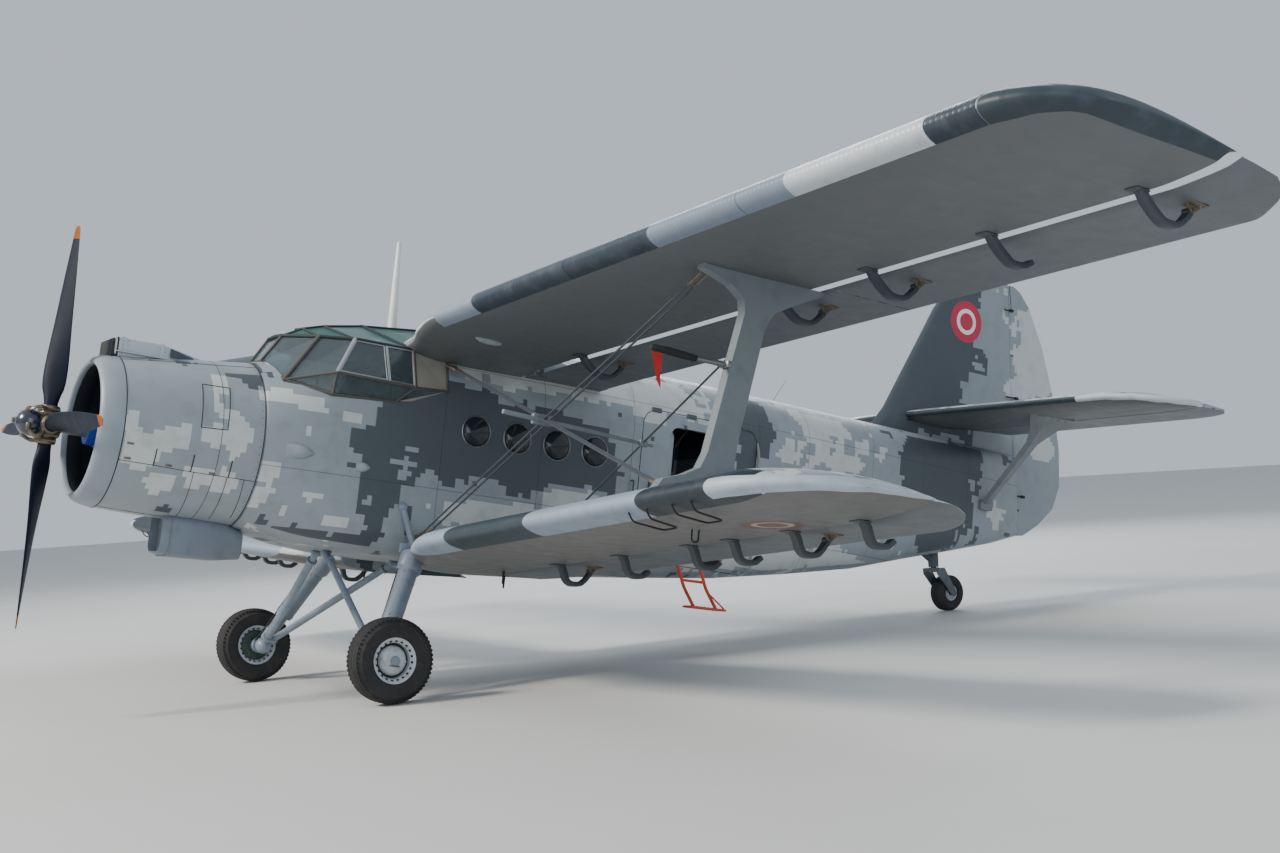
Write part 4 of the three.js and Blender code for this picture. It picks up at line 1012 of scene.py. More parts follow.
class Workshop:
    """Holds the airframe's axes, and hangs finished pieces on their bodies.

    Attributes:
        axes: matrix from airframe axes to the row frame.
        joints: the frame's joints by name.
        origin: the airframe axes' origin in the row frame.
        pitch: how far the airframe stands nose up, in degrees.
        count: pieces made so far.
    """

    def __init__(self, frame: dict) -> None:
        """Finds the airframe axes from the propeller's and the main wheel's joints.
        """
        self.frame = frame
        joints = {joint["name"]: joint for joint in frame["joints"]}
        self.joints = joints
        ahead = Vector(joints["propeller_spin"]["axis"]).normalized()
        out = Vector((0, 1, 0))
        up = ahead.cross(out)
        axle = Vector(joints["main_wheel_spin_L"]["pos_m"])
        self.origin = Vector((axle.x, 0, axle.z))
        turn = Matrix((ahead, out, up)).transposed().to_4x4()
        self.axes = Matrix.Translation(self.origin) @ turn
        self.pitch = math.degrees(math.asin(ahead.z))
        self.count = 0

    def node(self, name: str) -> bpy.types.Object:
        """Returns a frame node by name."""
        return self.frame["nodes"][name]

    def place(self, point: Point) -> Vector:
        """Returns a point of the airframe axes in the row frame."""
        return self.axes @ Vector(point)

    def hang(
        self, shape: Shape, name: str, body: str, finish: Finish, replaces: Sequence[str] = (),
        crease: float = 32, outward: bool = True,
    ) -> bpy.types.Object:
        """Finishes a shape and hangs it on a body.

        Args:
            shape: the modelled mesh.
            name: the piece's name.
            body: the body that it moves with.
            finish: its material.
            replaces: frame nodes that it stands for.
            crease: edges sharper than this many degrees stay sharp.
            outward: whether its faces are turned outwards first.

        Returns:
            The finished piece.
        """
        piece = shape.done(name, crease, outward)
        return self.dress(piece, body, finish, replaces)

    def dress(
        self, piece: bpy.types.Object, body: str, finish: Finish, replaces: Sequence[str] = ()
    ) -> bpy.types.Object:
        """Gives an object its material and body, and hides the nodes that it stands for.

        Args:
            piece: the object.
            body: the body that it moves with.
            finish: its material.
            replaces: frame nodes that it stands for.

        Returns:
            The same object.
        """
        piece.data.materials.clear()
        piece.data.materials.append(finish.material())
        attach(piece, body)
        if replaces:
            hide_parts(*replaces)
        self.count += 1
        LOG.info("%s rides on %s in %s", piece.name, body, finish.name)
        return piece

    def skin(
        self, name: str, node: str, body: str, finish: Finish, crease: float = 32, soft: float = 0.0
    ) -> bpy.types.Object:
        """Replaces a frame node by a merged and smoothly shaded copy of it.

        Args:
            name: the piece's name.
            node: the frame node that it copies.
            body: the body that it moves with.
            finish: its material.
            crease: edges sharper than this many degrees stay sharp.
            soft: radius of its edges, or 0 where they stay as they are.

        Returns:
            The finished piece.
        """
        shape = Shape(self.axes).take(self.node(node))
        if soft:
            shape.soften(shape.mesh.verts, soft, 2, crease)
        piece = self.hang(shape, name, body, finish, (node,), crease)
        weighted = piece.modifiers.new("weighted normals", "WEIGHTED_NORMAL")
        weighted.keep_sharp = True
        weighted.weight = 80
        return piece

    def coat_node(self, name: str, finish: Finish) -> None:
        """Gives a frame node that stays its material."""
        node = self.node(name)
        node.data.materials.clear()
        node.data.materials.append(finish.material())
# Wings


@dataclass(frozen=True)
class Section:
    """One rib of a wing.

    Attributes:
        y: place along the span.
        nose: how far its nose stands ahead of the root's edge.
        z: height of its chord line in the panel's axes.
        chord: its chord.
        thick: its thickness as a share of the chord.
    """

    y: float
    nose: float
    z: float
    chord: float
    thick: float


def foil(share: float, thick: float, camber: float) -> tuple[float, float]:
    """Returns a section's upper and lower height as shares of the chord.

    Args:
        share: place along the chord, from 0 at the nose.
        thick: thickness as a share of the chord.
        camber: camber as a share of the chord.

    Returns:
        The upper and the lower height.
    """
    x = min(1.0, max(0.0, share))
    poly = 0.2969 * math.sqrt(x) - 0.126 * x - 0.3516 * x**2 + 0.2843 * x**3 - 0.1015 * x**4
    middle = 4 * camber * x * (1 - x)
    return middle + 5 * thick * poly, middle - 5 * thick * poly


@dataclass
class Surface:
    """One hinged surface of a wing.

    Attributes:
        name: its name without the side.
        start: where it starts along the span.
        end: where it ends, past the tip where it runs out to it.
        pinned: places of the arms that hold its pins.
        arms: places of the arms that only reach under it.
    """

    name: str
    start: float
    end: float
    pinned: tuple = ()
    arms: tuple = ()


@dataclass
class WingPanel:
    """One side of a wing with its hinged surfaces.

    Attributes:
        name: upper or lower.
        root: leading edge on the centre line, in airframe axes.
        dihedral: degrees up towards the tip.
        incidence: degrees nose up.
        camber: share of the chord.
        chord: of the straight stretch.
        slot: gap ahead of the surfaces.
        rows: sections from root to tip as y, nose, z, chord, thickness.
        surfaces: the hinged surfaces.
        open_slot: how far the lower rear edge stands ahead of the upper one, which opens the slot
            to the eye from below.
        slot_share: place of the wing's rear edge as a share of the chord.
        nose_share: place where a surface's nose is widest.
        hinge_share: place of the hinge line.
        hinge_below: depth of the hinge line under the lower skin.
        thick: thickness share of the straight stretch.
        tip_round: how far from its end the tip closes to an edge.
        steps: points along each skin.
    """

    name: str
    root: tuple
    dihedral: float
    incidence: float
    chord: float
    slot: float
    rows: tuple
    surfaces: tuple
    camber: float = 0.03
    open_slot: float = 0.0
    slot_share: float = 0.645
    nose_share: float = 0.705
    hinge_share: float = 0.785
    hinge_below: float = 0.036
    thick: float = 0.14
    tip_round: float = 0.11
    steps: int = 18

    def axes(self, shop: Workshop, side: int) -> Matrix:
        """Returns the panel's axes in the row frame: X ahead of the root's edge, Y to port."""
        turn = Matrix.Rotation(side * math.radians(self.dihedral), 4, "X")
        turn = turn @ Matrix.Rotation(-math.radians(self.incidence), 4, "Y")
        return shop.axes @ Matrix.Translation(self.root) @ turn

    def section(self, y: float) -> Section:
        """Returns the section at a place along the span.

        Args:
            y: place along the span.

        Returns:
            The section, thinned towards the tip's edge.
        """
        nose, z, chord, thick = smooth_rows(self.rows, y)
        tip = self.rows[-1][0]
        closing = min(1.0, max(0.0, (tip - y) / self.tip_round))
        return Section(y, nose, z, chord, thick * max(0.16, math.sqrt(closing * (2 - closing))))

    def stations(self, start: float, end: float) -> list[float]:
        """Returns places along the span, close together where the outline curves.

        Args:
            start: where they begin.
            end: where they stop.

        Returns:
            The places in rising order.
        """
        found = {start, end}
        for (a, *_), (b, *_) in zip(self.rows, self.rows[1:]):
            pieces = 1 if b - a > 1.5 else 5
            found.update(lerp(a, b, k / pieces) for k in range(pieces + 1))
        tip = self.rows[-1][0]
        found.update(tip - self.tip_round * (1 - math.cos(math.pi / 2 * k / 6)) for k in range(7))
        return sorted(y for y in found if start <= y <= end)

    def skin_points(self, at: Section, low: float, high: float, upper: bool, steps: int) -> list[tuple]:
        """Returns (x, z) points on one skin of a section from share low to share high.

        Args:
            at: the section.
            low: share of the chord where they begin.
            high: share of the chord where they stop.
            upper: whether they lie on the upper skin.
            steps: stretches between them.

        Returns:
            The points, from low to high.
        """
        first, last = (math.acos(1 - 2 * min(1.0, max(0.0, s))) for s in (low, high))
        found = []
        for k in range(steps + 1):
            share = (1 - math.cos(lerp(first, last, k / steps))) / 2
            height = foil(share, at.thick, self.camber)[0 if upper else 1]
            found.append((at.nose - share * at.chord, at.z + height * at.chord))
        return found

    def front_ring(self, y: float, side: int, edge: float, start: float = 0.0) -> list[tuple]:
        """Returns the closed ring of the fixed wing from its nose to a rear edge at X.

        Args:
            y: place along the span.
            side: 1 for port, -1 for starboard.
            edge: X of the rear edge.
            start: share of the chord where it begins.

        Returns:
            The ring in the panel's axes.
        """
        at = self.section(y)
        share = min(1.0, (at.nose - edge) / at.chord)
        upper = self.skin_points(at, start, share, True, self.steps)
        cut = 0.0 if share >= 1 else self.open_slot / at.chord
        lower = self.skin_points(at, start, share - cut, False, self.steps)
        ring = [*upper, *reversed(lower[1:] if start == 0 else lower)]
        if share >= 1:
            ring.pop(self.steps + 1)
            ring.insert(self.steps + 1, (ring[self.steps][0], ring[self.steps][1] - 0.002))
        return [(x, side * y, z) for x, z in ring]

    def surface_ring(self, y: float, side: int) -> list[tuple]:
        """Returns the closed ring of a hinged surface: round nose, then back to the rear edge.

        Args:
            y: place along the span.
            side: 1 for port, -1 for starboard.

        Returns:
            The ring in the panel's axes.
        """
        at = self.section(y)
        upper, lower = foil(self.nose_share, self.thick, self.camber)
        radius = (upper - lower) / 2 * self.chord * 0.995
        centre = -self.slot_share * self.chord - self.slot - radius
        share = min(0.97, (at.nose - centre) / at.chord)
        under = self.skin_points(at, share, 1, False, 8)
        if self.open_slot:
            back = min(0.97, (at.nose + 0.8 * self.chord) / at.chord)
            top = self.skin_points(at, back, 1, True, 8)
            tip = Vector((centre + radius, under[0][1] + 0.006))
            rise = Vector(top[0])
            round_nose = [tip + Vector((-0.006, -0.006)), tip]
            round_nose += [tuple(tip.lerp(rise, k / 8)) for k in range(1, 8)]
        else:
            top = self.skin_points(at, share, 1, True, 8)
            half, middle = (top[0][1] - under[0][1]) / 2, (top[0][1] + under[0][1]) / 2
            round_nose = [
                (centre + radius * math.cos(a), middle + half * math.sin(a))
                for a in (math.radians(lerp(-90, 90, k / 10)) for k in range(1, 10))
            ]
        rear = (top[-1][0], top[-1][1] - 0.003)
        ring = [*top, rear, *reversed(under[:-1]), *round_nose]
        return [(x, side * y, z) for x, z in ring]

    @property
    def hinge(self) -> tuple[float, float]:
        """X and Z of the hinge line in the panel's axes."""
        lower = foil(self.hinge_share, self.thick, self.camber)[1]
        return -self.hinge_share * self.chord, lower * self.chord - self.hinge_below

    @property
    def edge(self) -> float:
        """X of the fixed wing's rear edge ahead of the slot."""
        return -self.slot_share * self.chord

    def fixed(self, shop: Workshop, side: int, tag: str, finish: Finish, arm_paint: Finish) -> None:
        """Builds the fixed wing, its root behind the slot, and the arms under it.

        Args:
            shop: the workshop that hangs the pieces.
            side: 1 for port, -1 for starboard.
            tag: L or R, which ends the pieces' names.
            finish: the skin's finish.
            arm_paint: the arms' finish.
        """
        start, tip = self.rows[0][0], self.rows[-1][0]
        inner = min(s.start for s in self.surfaces) - 0.008
        shape = Shape(self.axes(shop, side))
        shape.loft([self.front_ring(y, side, self.edge) for y in self.stations(start, tip)])
        shape.loft([self.rear_ring(y, side) for y in self.stations(start, inner)])
        name = f"{self.name}_wing_skin_{tag}"
        shop.hang(shape, name, "airframe", finish, (f"{self.name}_wing_{tag}",), 40)
        self.arms(shop, side, tag, arm_paint)

    def rear_ring(self, y: float, side: int) -> list[tuple]:
        """Returns the ring of the fixed root behind the slot's edge.

        Args:
            y: place along the span.
            side: 1 for port, -1 for starboard.

        Returns:
            The ring in the panel's axes.
        """
        at = self.section(y)
        share = (at.nose - self.edge) / at.chord
        upper = self.skin_points(at, share, 1, True, 8)
        lower = self.skin_points(at, share, 1, False, 8)
        rear = (lower[-1][0], lower[-1][1] - 0.002)
        return [(x, side * y, z) for x, z in [*upper, rear, *reversed(lower[:-1])]]

    def arms(self, shop: Workshop, side: int, tag: str, finish: Finish) -> None:
        """Builds the curved arms, with a bolted bracket and a spacer tube at each.

        Args:
            shop: the workshop that hangs the pieces.
            side: 1 for port, -1 for starboard.
            tag: L or R, which ends the pieces' names.
            finish: the arms' finish.
        """
        shape = Shape(self.axes(shop, side))
        hinge_x, hinge_z = self.hinge
        half = 0.034
        run = hinge_x - self.edge
        foot = -self.open_slot / abs(run)
        rows = (
            (foot - 0.14, -0.024, 0.05), (foot, 0.03, 0.05), (0.13, 0.112, 0.048), (0.33, 0.138, 0.044),
            (0.6, 0.132, 0.042), (0.84, 0.08, 0.036), (1.0, 0.012, 0.03),
        )
        for surface in self.surfaces:
            for y in (*surface.pinned, *surface.arms):
                pinned = y in surface.pinned
                rings = []
                last = 1.0 if pinned else 0.84
                for k in range(15):
                    along = lerp(rows[0][0], last, k / 14)
                    down, deep = smooth_rows(rows, along)
                    fore, aft = (smooth_rows(rows, a)[0] for a in (along - 0.02, min(1, along + 0.02)))
                    slope = (aft - fore) / 0.04
                    across = Vector((slope, 0, run)).normalized() * deep / 2
                    middle = Vector((lerp(self.edge, hinge_x, along), side * y, hinge_z - down))
                    ring = []
                    for out, up in ((-1, -1), (1, -1), (1, 1), (-1, 1)):
                        ring.append(middle + Vector((0, out * half, 0)) + across * up)
                    rings.append(ring)
                known = set(shape.mesh.verts)
                shape.loft(rings)
                shape.soften(shape.added(known), 0.005, 2, 40)
                seat = self.edge + self.open_slot + 0.06
                shape.block((seat, side * y, self.under(y, seat) - 0.006), (0.12, 0.1, 0.012), soft=0.003)
                if pinned:
                    shape.rod(
                        (hinge_x, side * (y - half), hinge_z), (hinge_x, side * (y + half), hinge_z), 0.024,
                        sides=20, soft=0.003,
                    )
        shop.hang(shape, f"{self.name}_hinge_arms_{tag}", "airframe", finish)

    def under(self, y: float, x: float) -> float:
        """Returns the height of the lower skin at a place in the panel's axes."""
        at = self.section(y)
        return at.z + foil((at.nose - x) / at.chord, at.thick, self.camber)[1] * at.chord

    def hinged(self, shop: Workshop, side: int, tag: str, finish: Finish, steel: Finish) -> None:
        """Builds the hinged surfaces with their lugs, pins and brackets.

        Args:
            shop: the workshop that hangs the pieces.
            side: 1 for port, -1 for starboard.
            tag: L or R, which ends the pieces' names.
            finish: the skins' finish.
            steel: the fittings' finish.
        """
        hinge_x, hinge_z = self.hinge
        for surface in self.surfaces:
            end = min(surface.end, self.rows[-1][0])
            places = self.stations(surface.start, end)
            shape = Shape(self.axes(shop, side))
            shape.loft([self.surface_ring(y, side) for y in places])
            name = f"{surface.name}_{tag}"
            shop.hang(shape, f"{surface.name}_skin_{tag}", name, finish, (name,), 50)
            fittings = Shape(self.axes(shop, side))
            for y in surface.pinned:
                near = y + 0.028
                far = near + 0.014
                under = self.under(y, hinge_x)
                top = under + 0.012
                outline = [
                    (hinge_x - 0.075, side * near, top), (hinge_x + 0.075, side * near, top),
                    (hinge_x + 0.06, side * near, top - 0.02),
                    (hinge_x + 0.018, side * near, hinge_z - 0.012),
                    (hinge_x, side * near, hinge_z - 0.019), (hinge_x - 0.018, side * near, hinge_z - 0.012),
                    (hinge_x - 0.06, side * near, top - 0.02),
                ]
                fittings.plate(outline, (0, side * (far - near), 0), soft=0.002)
                fittings.block(
                    (hinge_x, side * (near + 0.03), under - 0.003), (0.16, 0.075, 0.008), soft=0.002,
                )
                bolts = [
                    (hinge_x + dx, side * (near + 0.042), under - 0.006)
                    for dx in (-0.055, -0.018, 0.018, 0.055)
                ]
                fittings.bolts(bolts, (0, 0, -1), 0.008, 0.007)
                fittings.rod(
                    (hinge_x, side * (y - 0.03), hinge_z), (hinge_x, side * (far + 0.012), hinge_z), 0.009,
                    sides=12,
                )
                fittings.rod(
                    (hinge_x, side * (far + 0.002), hinge_z), (hinge_x, side * (far + 0.012), hinge_z),
                    0.016, sides=6,
                )
            shop.hang(fittings, f"{surface.name}_hinge_fittings_{tag}", name, steel)

    def slat(self, shop: Workshop, side: int, tag: str, finish: Finish, start: float, end: float) -> None:
        """Builds the slat: a shell a little proud of the nose, with its joints and rear step.

        Args:
            shop: the workshop that hangs the pieces.
            side: 1 for port, -1 for starboard.
            tag: L or R, which ends the pieces' names.
            finish: the piece's finish.
            start: where it begins along the span.
            end: where it stops.
        """
        shape = Shape(self.axes(shop, side))
        proud, step = 0.003, 0.006
        cuts = [start + (end - start) * k / 3 for k in range(4)]
        for low, high in zip(cuts, cuts[1:]):
            rings = []
            count = 8
            for k in range(count + 1):
                y = lerp(low + 0.003, high - 0.003, k / count)
                at = self.section(y)
                grown = Section(y, at.nose + proud, at.z, at.chord + proud, at.thick + 2 * proud / at.chord)
                upper = self.skin_points(grown, 0, 0.155, True, 12)
                lower = self.skin_points(grown, 0, 0.05, False, 8)
                inner = (upper[-1][0] + 0.01, upper[-1][1] - step)
                floor = (lower[-1][0] + 0.01, lower[-1][1] + step)
                ring = [*upper, inner, floor, *reversed(lower[1:])]
                rings.append([(x, side * y, z) for x, z in ring])
            shape.loft(rings)
        shop.hang(shape, f"slat_skin_{tag}", "airframe", finish, (f"slat_{tag}",), 40)
# Nose: cowl, intakes, engine and propeller


@dataclass
class Cowl:
    """Round cowl of a radial engine: nose ring, hinged panels and the skirt behind them.

    Attributes:
        seam: where the nose ring meets the panels.
        skirt: where the panels meet the skirt.
        rear: rear edge at the firewall.
        front_z: height of the axis at the seam.
        rear_z: height of the axis at the firewall.
        firewall: station of the firewall.
        rows: station and outer radius, from the rear.
        sides: corners of the round.
    """

    seam: float = 2.273
    skirt: float = 1.43
    rear: float = 1.044
    front_z: float = 1.786
    rear_z: float = 1.84
    firewall: float = 1.04
    rows: tuple = ((1.044, 0.78), (1.43, 0.752), (1.9, 0.722), (2.273, 0.69))
    sides: int = 96

    def height(self, x: float) -> float:
        """Returns the height of the cowl's axis at a station."""
        return lerp(self.rear_z, self.front_z, (x - self.firewall) / (self.seam - self.firewall))

    def radius(self, x: float) -> float:
        """Returns the outer radius at a station."""
        return smooth_rows(self.rows, x)[0]

    def at(self, x: float, degrees: float, off: float = 0.0) -> Vector:
        """Returns a point on the cowl; the angle runs up from port."""
        a = math.radians(degrees)
        reach = self.radius(x) + off
        return Vector((x, reach * math.cos(a), self.height(x) + reach * math.sin(a)))

    def ring(self, x: float, off: float) -> list[Vector]:
        """Returns the round at a station, grown by off."""
        return [self.at(x, 360 * k / self.sides, off) for k in range(self.sides)]

    def shell(self, shop: Workshop, front: float, rear: float, wall: float) -> Shape:
        """Returns a tube of the cowl with a wall.

        Args:
            shop: the workshop that hangs the pieces.
            front: station of its front edge.
            rear: station of its rear edge.
            wall: its thickness.

        Returns:
            The tube, not yet hung.
        """
        places = [lerp(front, rear, k / 8) for k in range(9)]
        outer = [self.ring(x, 0) for x in places]
        inner = [self.ring(x, -wall) for x in reversed(places)]
        shape = Shape(shop.axes).loft([*outer, *inner, outer[0]], ends=False)
        bmesh.ops.remove_doubles(shape.mesh, verts=shape.mesh.verts, dist=1e-5)
        return shape

    def lip(self, shop: Workshop, paint: Finish) -> None:
        """Builds the rounded nose ring.

        Args:
            shop: the workshop that hangs the pieces.
            paint: the piece's finish.
        """
        profile = [
            (0.69, 0), (0.688, 0.03), (0.676, 0.09), (0.665, 0.126), (0.648, 0.16), (0.632, 0.183),
            (0.612, 0.196), (0.598, 0.197), (0.588, 0.19), (0.58, 0.174), (0.578, 0.155),
            (0.582, 0.12), (0.59, 0.08), (0.612, 0.03), (0.64, 0), (0.69, 0),
        ]
        foot = (self.seam + 0.004, 0, self.front_z)
        shape = Shape(shop.axes).turned(profile, foot, (9, 0, self.front_z), self.sides)
        shop.hang(shape, "cowl_nose_ring", "airframe", paint, ("cowl_ring",), 60)

    def throat(self, shop: Workshop, paint: Finish) -> None:
        """Builds a dark thin shell just inside the nose ring: painted shade that makes the mouth read as
        deep.

        Args:
            shop: the workshop that hangs the pieces.
            paint: the piece's finish.
        """
        face = [
            (0.576, 0.15), (0.58, 0.12), (0.588, 0.08), (0.61, 0.03), (0.638, -0.002), (0.655, -0.03),
            (0.672, -0.2),
        ]
        wall = 0.004
        profile = [*face, *((reach - wall, along) for reach, along in reversed(face)), face[0]]
        foot = (self.seam + 0.004, 0, self.front_z)
        shape = Shape(shop.axes).turned(profile, foot, (9, 0, self.front_z), self.sides)
        # The dark shell is painted shade inside the mouth.
        shop.hang(shape, "cowl_throat", "airframe", paint, crease=60)

    def trim(self, shop: Workshop, black: Finish, steel: Finish) -> None:
        """Builds seams, hinge lines, straps, latches and the access panel's frame.

        Args:
            shop: the workshop that hangs the pieces.
            black: the seams' finish.
            steel: the catches' finish.
        """
        lines = Shape(shop.axes)
        for x, wide in ((self.seam - 0.001, 0.005), (self.skirt, 0.003), (1.052, 0.005)):
            lines.tube([*self.ring(x, -0.001), self.at(x, 360, -0.001)], wide, 6)
        for side in (1, -1):

            def spot(x: float, degrees: float, off: float = 0.0) -> Vector:
                """Returns a point on the cowl on this side."""
                point = self.at(x, degrees, off)
                return Vector((point.x, point.y * side, point.z))

            routes = (
                [(2.27, -25.1), (1.96, -25.9), (1.62, -27.4), (1.157, -28.4), (1.06, -28.6)],
                [(1.612, -27.4), (1.59, -55.0), (1.568, -80.0)],
                [(1.31, -28.0), (1.3, -50.0), (1.29, -71.0)],
                [(1.155, -28.4), (1.135, -46.0), (1.118, -64.5)],
                [(2.27, 66.0), (1.44, 65.0), (1.06, 64.6)],
                [(2.27, -80.0), (1.44, -80.0)],
            )
            for route in routes:
                dense = []
                for (xa, da), (xb, db) in zip(route, route[1:]):
                    dense += [spot(lerp(xa, xb, k / 6), lerp(da, db, k / 6)) for k in range(7)]
                lines.tube(dense, 0.003, 5)
            for x, low, high in ((1.97, -25.6, -13.8), (1.64, -27.2, -14.9), (1.3, -28.0, -16.0)):
                lines.tube([spot(x, lerp(low, high, k / 5), 0.001) for k in range(6)], 0.008, 6, 0.5)
            corners = [(1.621, 4.4), (1.613, 38.3), (1.368, 36.5), (1.385, 4.2), (1.621, 4.4)]
            frame = []
            for (xa, da), (xb, db) in zip(corners, corners[1:]):
                frame += [spot(lerp(xa, xb, k / 8), lerp(da, db, k / 8)) for k in range(8)]
            lines.tube([*frame, frame[0]], 0.0045, 6)
        shop.hang(lines, "cowl_seams", "airframe", black, crease=60)
        catches = Shape(shop.axes)
        for side in (1, -1):
            for x, degrees in ((2.2, -23), (2.2, -12), (1.84, -24.6), (1.45, -26.6), (2.0, 66), (1.6, 65.4)):
                point = self.at(x, degrees, 0.003)
                turn = Matrix.Rotation(math.radians(degrees if side > 0 else 180 - degrees), 4, "X")
                catches.block((point.x, point.y * side, point.z), (0.06, 0.007, 0.02), turn, 0.003)
        for degrees in range(0, 360, 5):
            point = self.at(1.075, degrees)
            out = Vector((0, point.y, point.z - self.height(1.075)))
            catches.bolts([point], out, 0.005, 0.003)
        shop.hang(catches, "cowl_catches", "airframe", steel)

    def build(self, shop: Workshop, paints: dict[str, Finish]) -> None:
        """Builds the whole cowl.

        Args:
            shop: the workshop that hangs the pieces.
            paints: the finishes by name.
        """
        self.lip(shop, paints["cowl_ring"])
        self.throat(shop, paints["throat"])
        shell = self.shell(shop, self.seam - 0.004, self.skirt + 0.001, 0.022)
        shop.hang(shell, "cowl_panels", "airframe", paints["cowl"], ("cowl_shell",), 40)
        skirt = self.shell(shop, self.skirt - 0.001, self.rear, 0.026)
        shop.hang(skirt, "cowl_skirt_panels", "airframe", paints["cowl"], ("cowl_skirt",), 40)
        self.trim(shop, paints["black"], paints["steel"])


@dataclass
class Engine:
    """Nine-cylinder air-cooled radial: finned barrels, heads, pushrods, baffles and pipes.

    Attributes:
        x: station of the cylinders.
        z: height of the shaft.
        cylinders: how many.
        fins: fins on each barrel.
    """

    x: float = 1.92
    z: float = 1.766
    cylinders: int = 9
    fins: int = 13

    def out(self, k: int, shift: float = 0.0) -> Vector:
        """Returns the direction of a cylinder, shifted by a share of the spacing."""
        a = math.radians(90 + 360 * (k + shift) / self.cylinders)
        return Vector((0, math.cos(a), math.sin(a)))

    def at(self, k: int, ahead: float, reach: float, shift: float = 0.0) -> Vector:
        """Returns a point ahead of the cylinders' plane and out from the shaft."""
        return Vector((self.x + ahead, 0, self.z)) + self.out(k, shift) * reach

    def barrel(self, shop: Workshop, paint: Finish) -> None:
        """Builds finned barrels and heads.

        Args:
            shop: the workshop that hangs the pieces.
            paint: the piece's finish.
        """
        profile = [(0.0, 0.2), (0.086, 0.2), (0.086, 0.27)]
        for n in range(self.fins):
            at = 0.275 + n * 0.0215
            reach = 0.104 if n < 7 else 0.116
            profile += [(0.088, at), (reach, at + 0.002), (reach, at + 0.006), (0.088, at + 0.008)]
        profile += [(0.088, 0.565), (0.07, 0.6), (0.03, 0.622), (0.0, 0.626)]
        shape = Shape(shop.axes)
        for k in range(self.cylinders):
            foot = self.at(k, 0, 0)
            shape.turned(profile, foot, foot + self.out(k), 18)
        shop.hang(shape, "engine_cylinders", "airframe", paint, ("engine",), 30)

    def crankcase(self, shop: Workshop, paint: Finish) -> None:
        """Builds the crankcase, its domed front and the accessory case behind.

        Args:
            shop: the workshop that hangs the pieces.
            paint: the piece's finish.
        """
        profile = [
            (0, 0), (0.22, 0), (0.25, 0.05), (0.285, 0.1), (0.29, 0.14), (0.29, 0.38), (0.27, 0.42),
            (0.235, 0.45), (0.23, 0.48), (0.212, 0.5), (0.19, 0.56), (0.168, 0.61), (0.15, 0.65),
            (0.15, 0.68), (0.128, 0.7), (0.122, 0.78), (0.062, 0.78), (0.062, 0.6), (0, 0.6),
        ]
        shape = Shape(shop.axes)
        shape.turned(profile, (1.64, 0, self.z), (9, 0, self.z), 48)
        shape.rod((1.05, 0, self.z), (1.7, 0, self.z), 0.21, 0.25, 28)
        for k in range(18):
            a = TURN * k / 18
            place = (2.1, 0.228 * math.cos(a), self.z + 0.228 * math.sin(a))
            shape.bolts([place], (1, 0, 0), 0.009, 0.02)
        for k in range(12):
            a = TURN * k / 12
            place = (2.318, 0.138 * math.cos(a), self.z + 0.138 * math.sin(a))
            shape.bolts([place], (1, 0, 0), 0.008, 0.016)
        shop.hang(shape, "engine_crankcase", "airframe", paint)

    def fittings(self, shop: Workshop, paints: dict[str, Finish]) -> None:
        """Builds rocker boxes, pushrod tubes, the ignition ring and its leads, pipes and baffles.

        Args:
            shop: the workshop that hangs the pieces.
            paints: the finishes by name.
        """
        boxes, rods = Shape(shop.axes), Shape(shop.axes)
        leads, baffles = Shape(shop.axes), Shape(shop.axes)
        for k in range(self.cylinders):
            out = self.out(k)
            side = Vector((1, 0, 0)).cross(out)
            turn = Matrix((Vector((1, 0, 0)), side, out)).transposed().to_4x4()
            for hand in (1, -1):
                head = self.at(k, 0.06, 0.585) + side * hand * 0.052
                boxes.block(head, (0.15, 0.05, 0.06), turn, 0.012)
                cap = self.at(k, 0.135, 0.585) + side * hand * 0.052
                boxes.rod(cap, cap + Vector((0.012, 0, 0)), 0.024, sides=12, soft=0.003)
                low = self.at(k, 0.15, 0.27) + side * hand * 0.03
                high = self.at(k, 0.13, 0.57) + side * hand * 0.052
                rods.rod(low, high, 0.0105, sides=10)
                rods.rod(low, low + (high - low) * 0.08, 0.016, sides=10)
                plug = self.at(k, 0.11, 0.5) + side * hand * 0.085
                leads.rod(plug, plug + Vector((0.05, 0, 0)) + side * hand * 0.02, 0.011, sides=8)
                ring = self.at(k, 0.24, 0.225, hand * 0.18)
                route = [
                    ring, ring + out * 0.12 + Vector((0.01, 0, 0)),
                    plug + Vector((0.07, 0, 0)) - out * 0.05,
                    plug + Vector((0.05, 0, 0)) + side * hand * 0.02,
                ]
                leads.tube(bent(route, 0.06, 4), 0.0055, 6)
            pipe = [self.at(k, -0.16, 0.3, 0.5), self.at(k, -0.1, 0.42, 0.42), self.at(k, -0.06, 0.56, 0.22)]
            rods.tube(bent(pipe, 0.07, 5), 0.028, 12)
            edge = [
                self.at(k, 0.005 - 0.06 * abs(s - 0.5) * 2, reach, s)
                for reach, shares in (
                    (0.34, (0.22, 0.36, 0.5, 0.64, 0.78)), (0.575, (0.78, 0.68, 0.5, 0.32, 0.22)),
                )
                for s in shares
            ]
            baffles.plate(edge, (0.004, 0, 0))
        ring = [self.at(0, 0.24, 0.225, self.cylinders * j / 48) for j in range(49)]
        leads.tube(ring, 0.014, 8)
        shop.hang(boxes, "engine_rocker_boxes", "airframe", paints["engine_pale"])
        shop.hang(rods, "engine_pushrods_and_pipes", "airframe", paints["engine"])
        shop.hang(leads, "engine_ignition_leads", "airframe", paints["yellow"])
        shop.hang(baffles, "engine_baffles", "airframe", paints["blue"], crease=40)

    def build(self, shop: Workshop, paints: dict[str, Finish]) -> None:
        """Builds the whole engine."""
        self.barrel(shop, paints["engine"])
        self.crankcase(shop, paints["blue"])
        self.fittings(shop, paints)


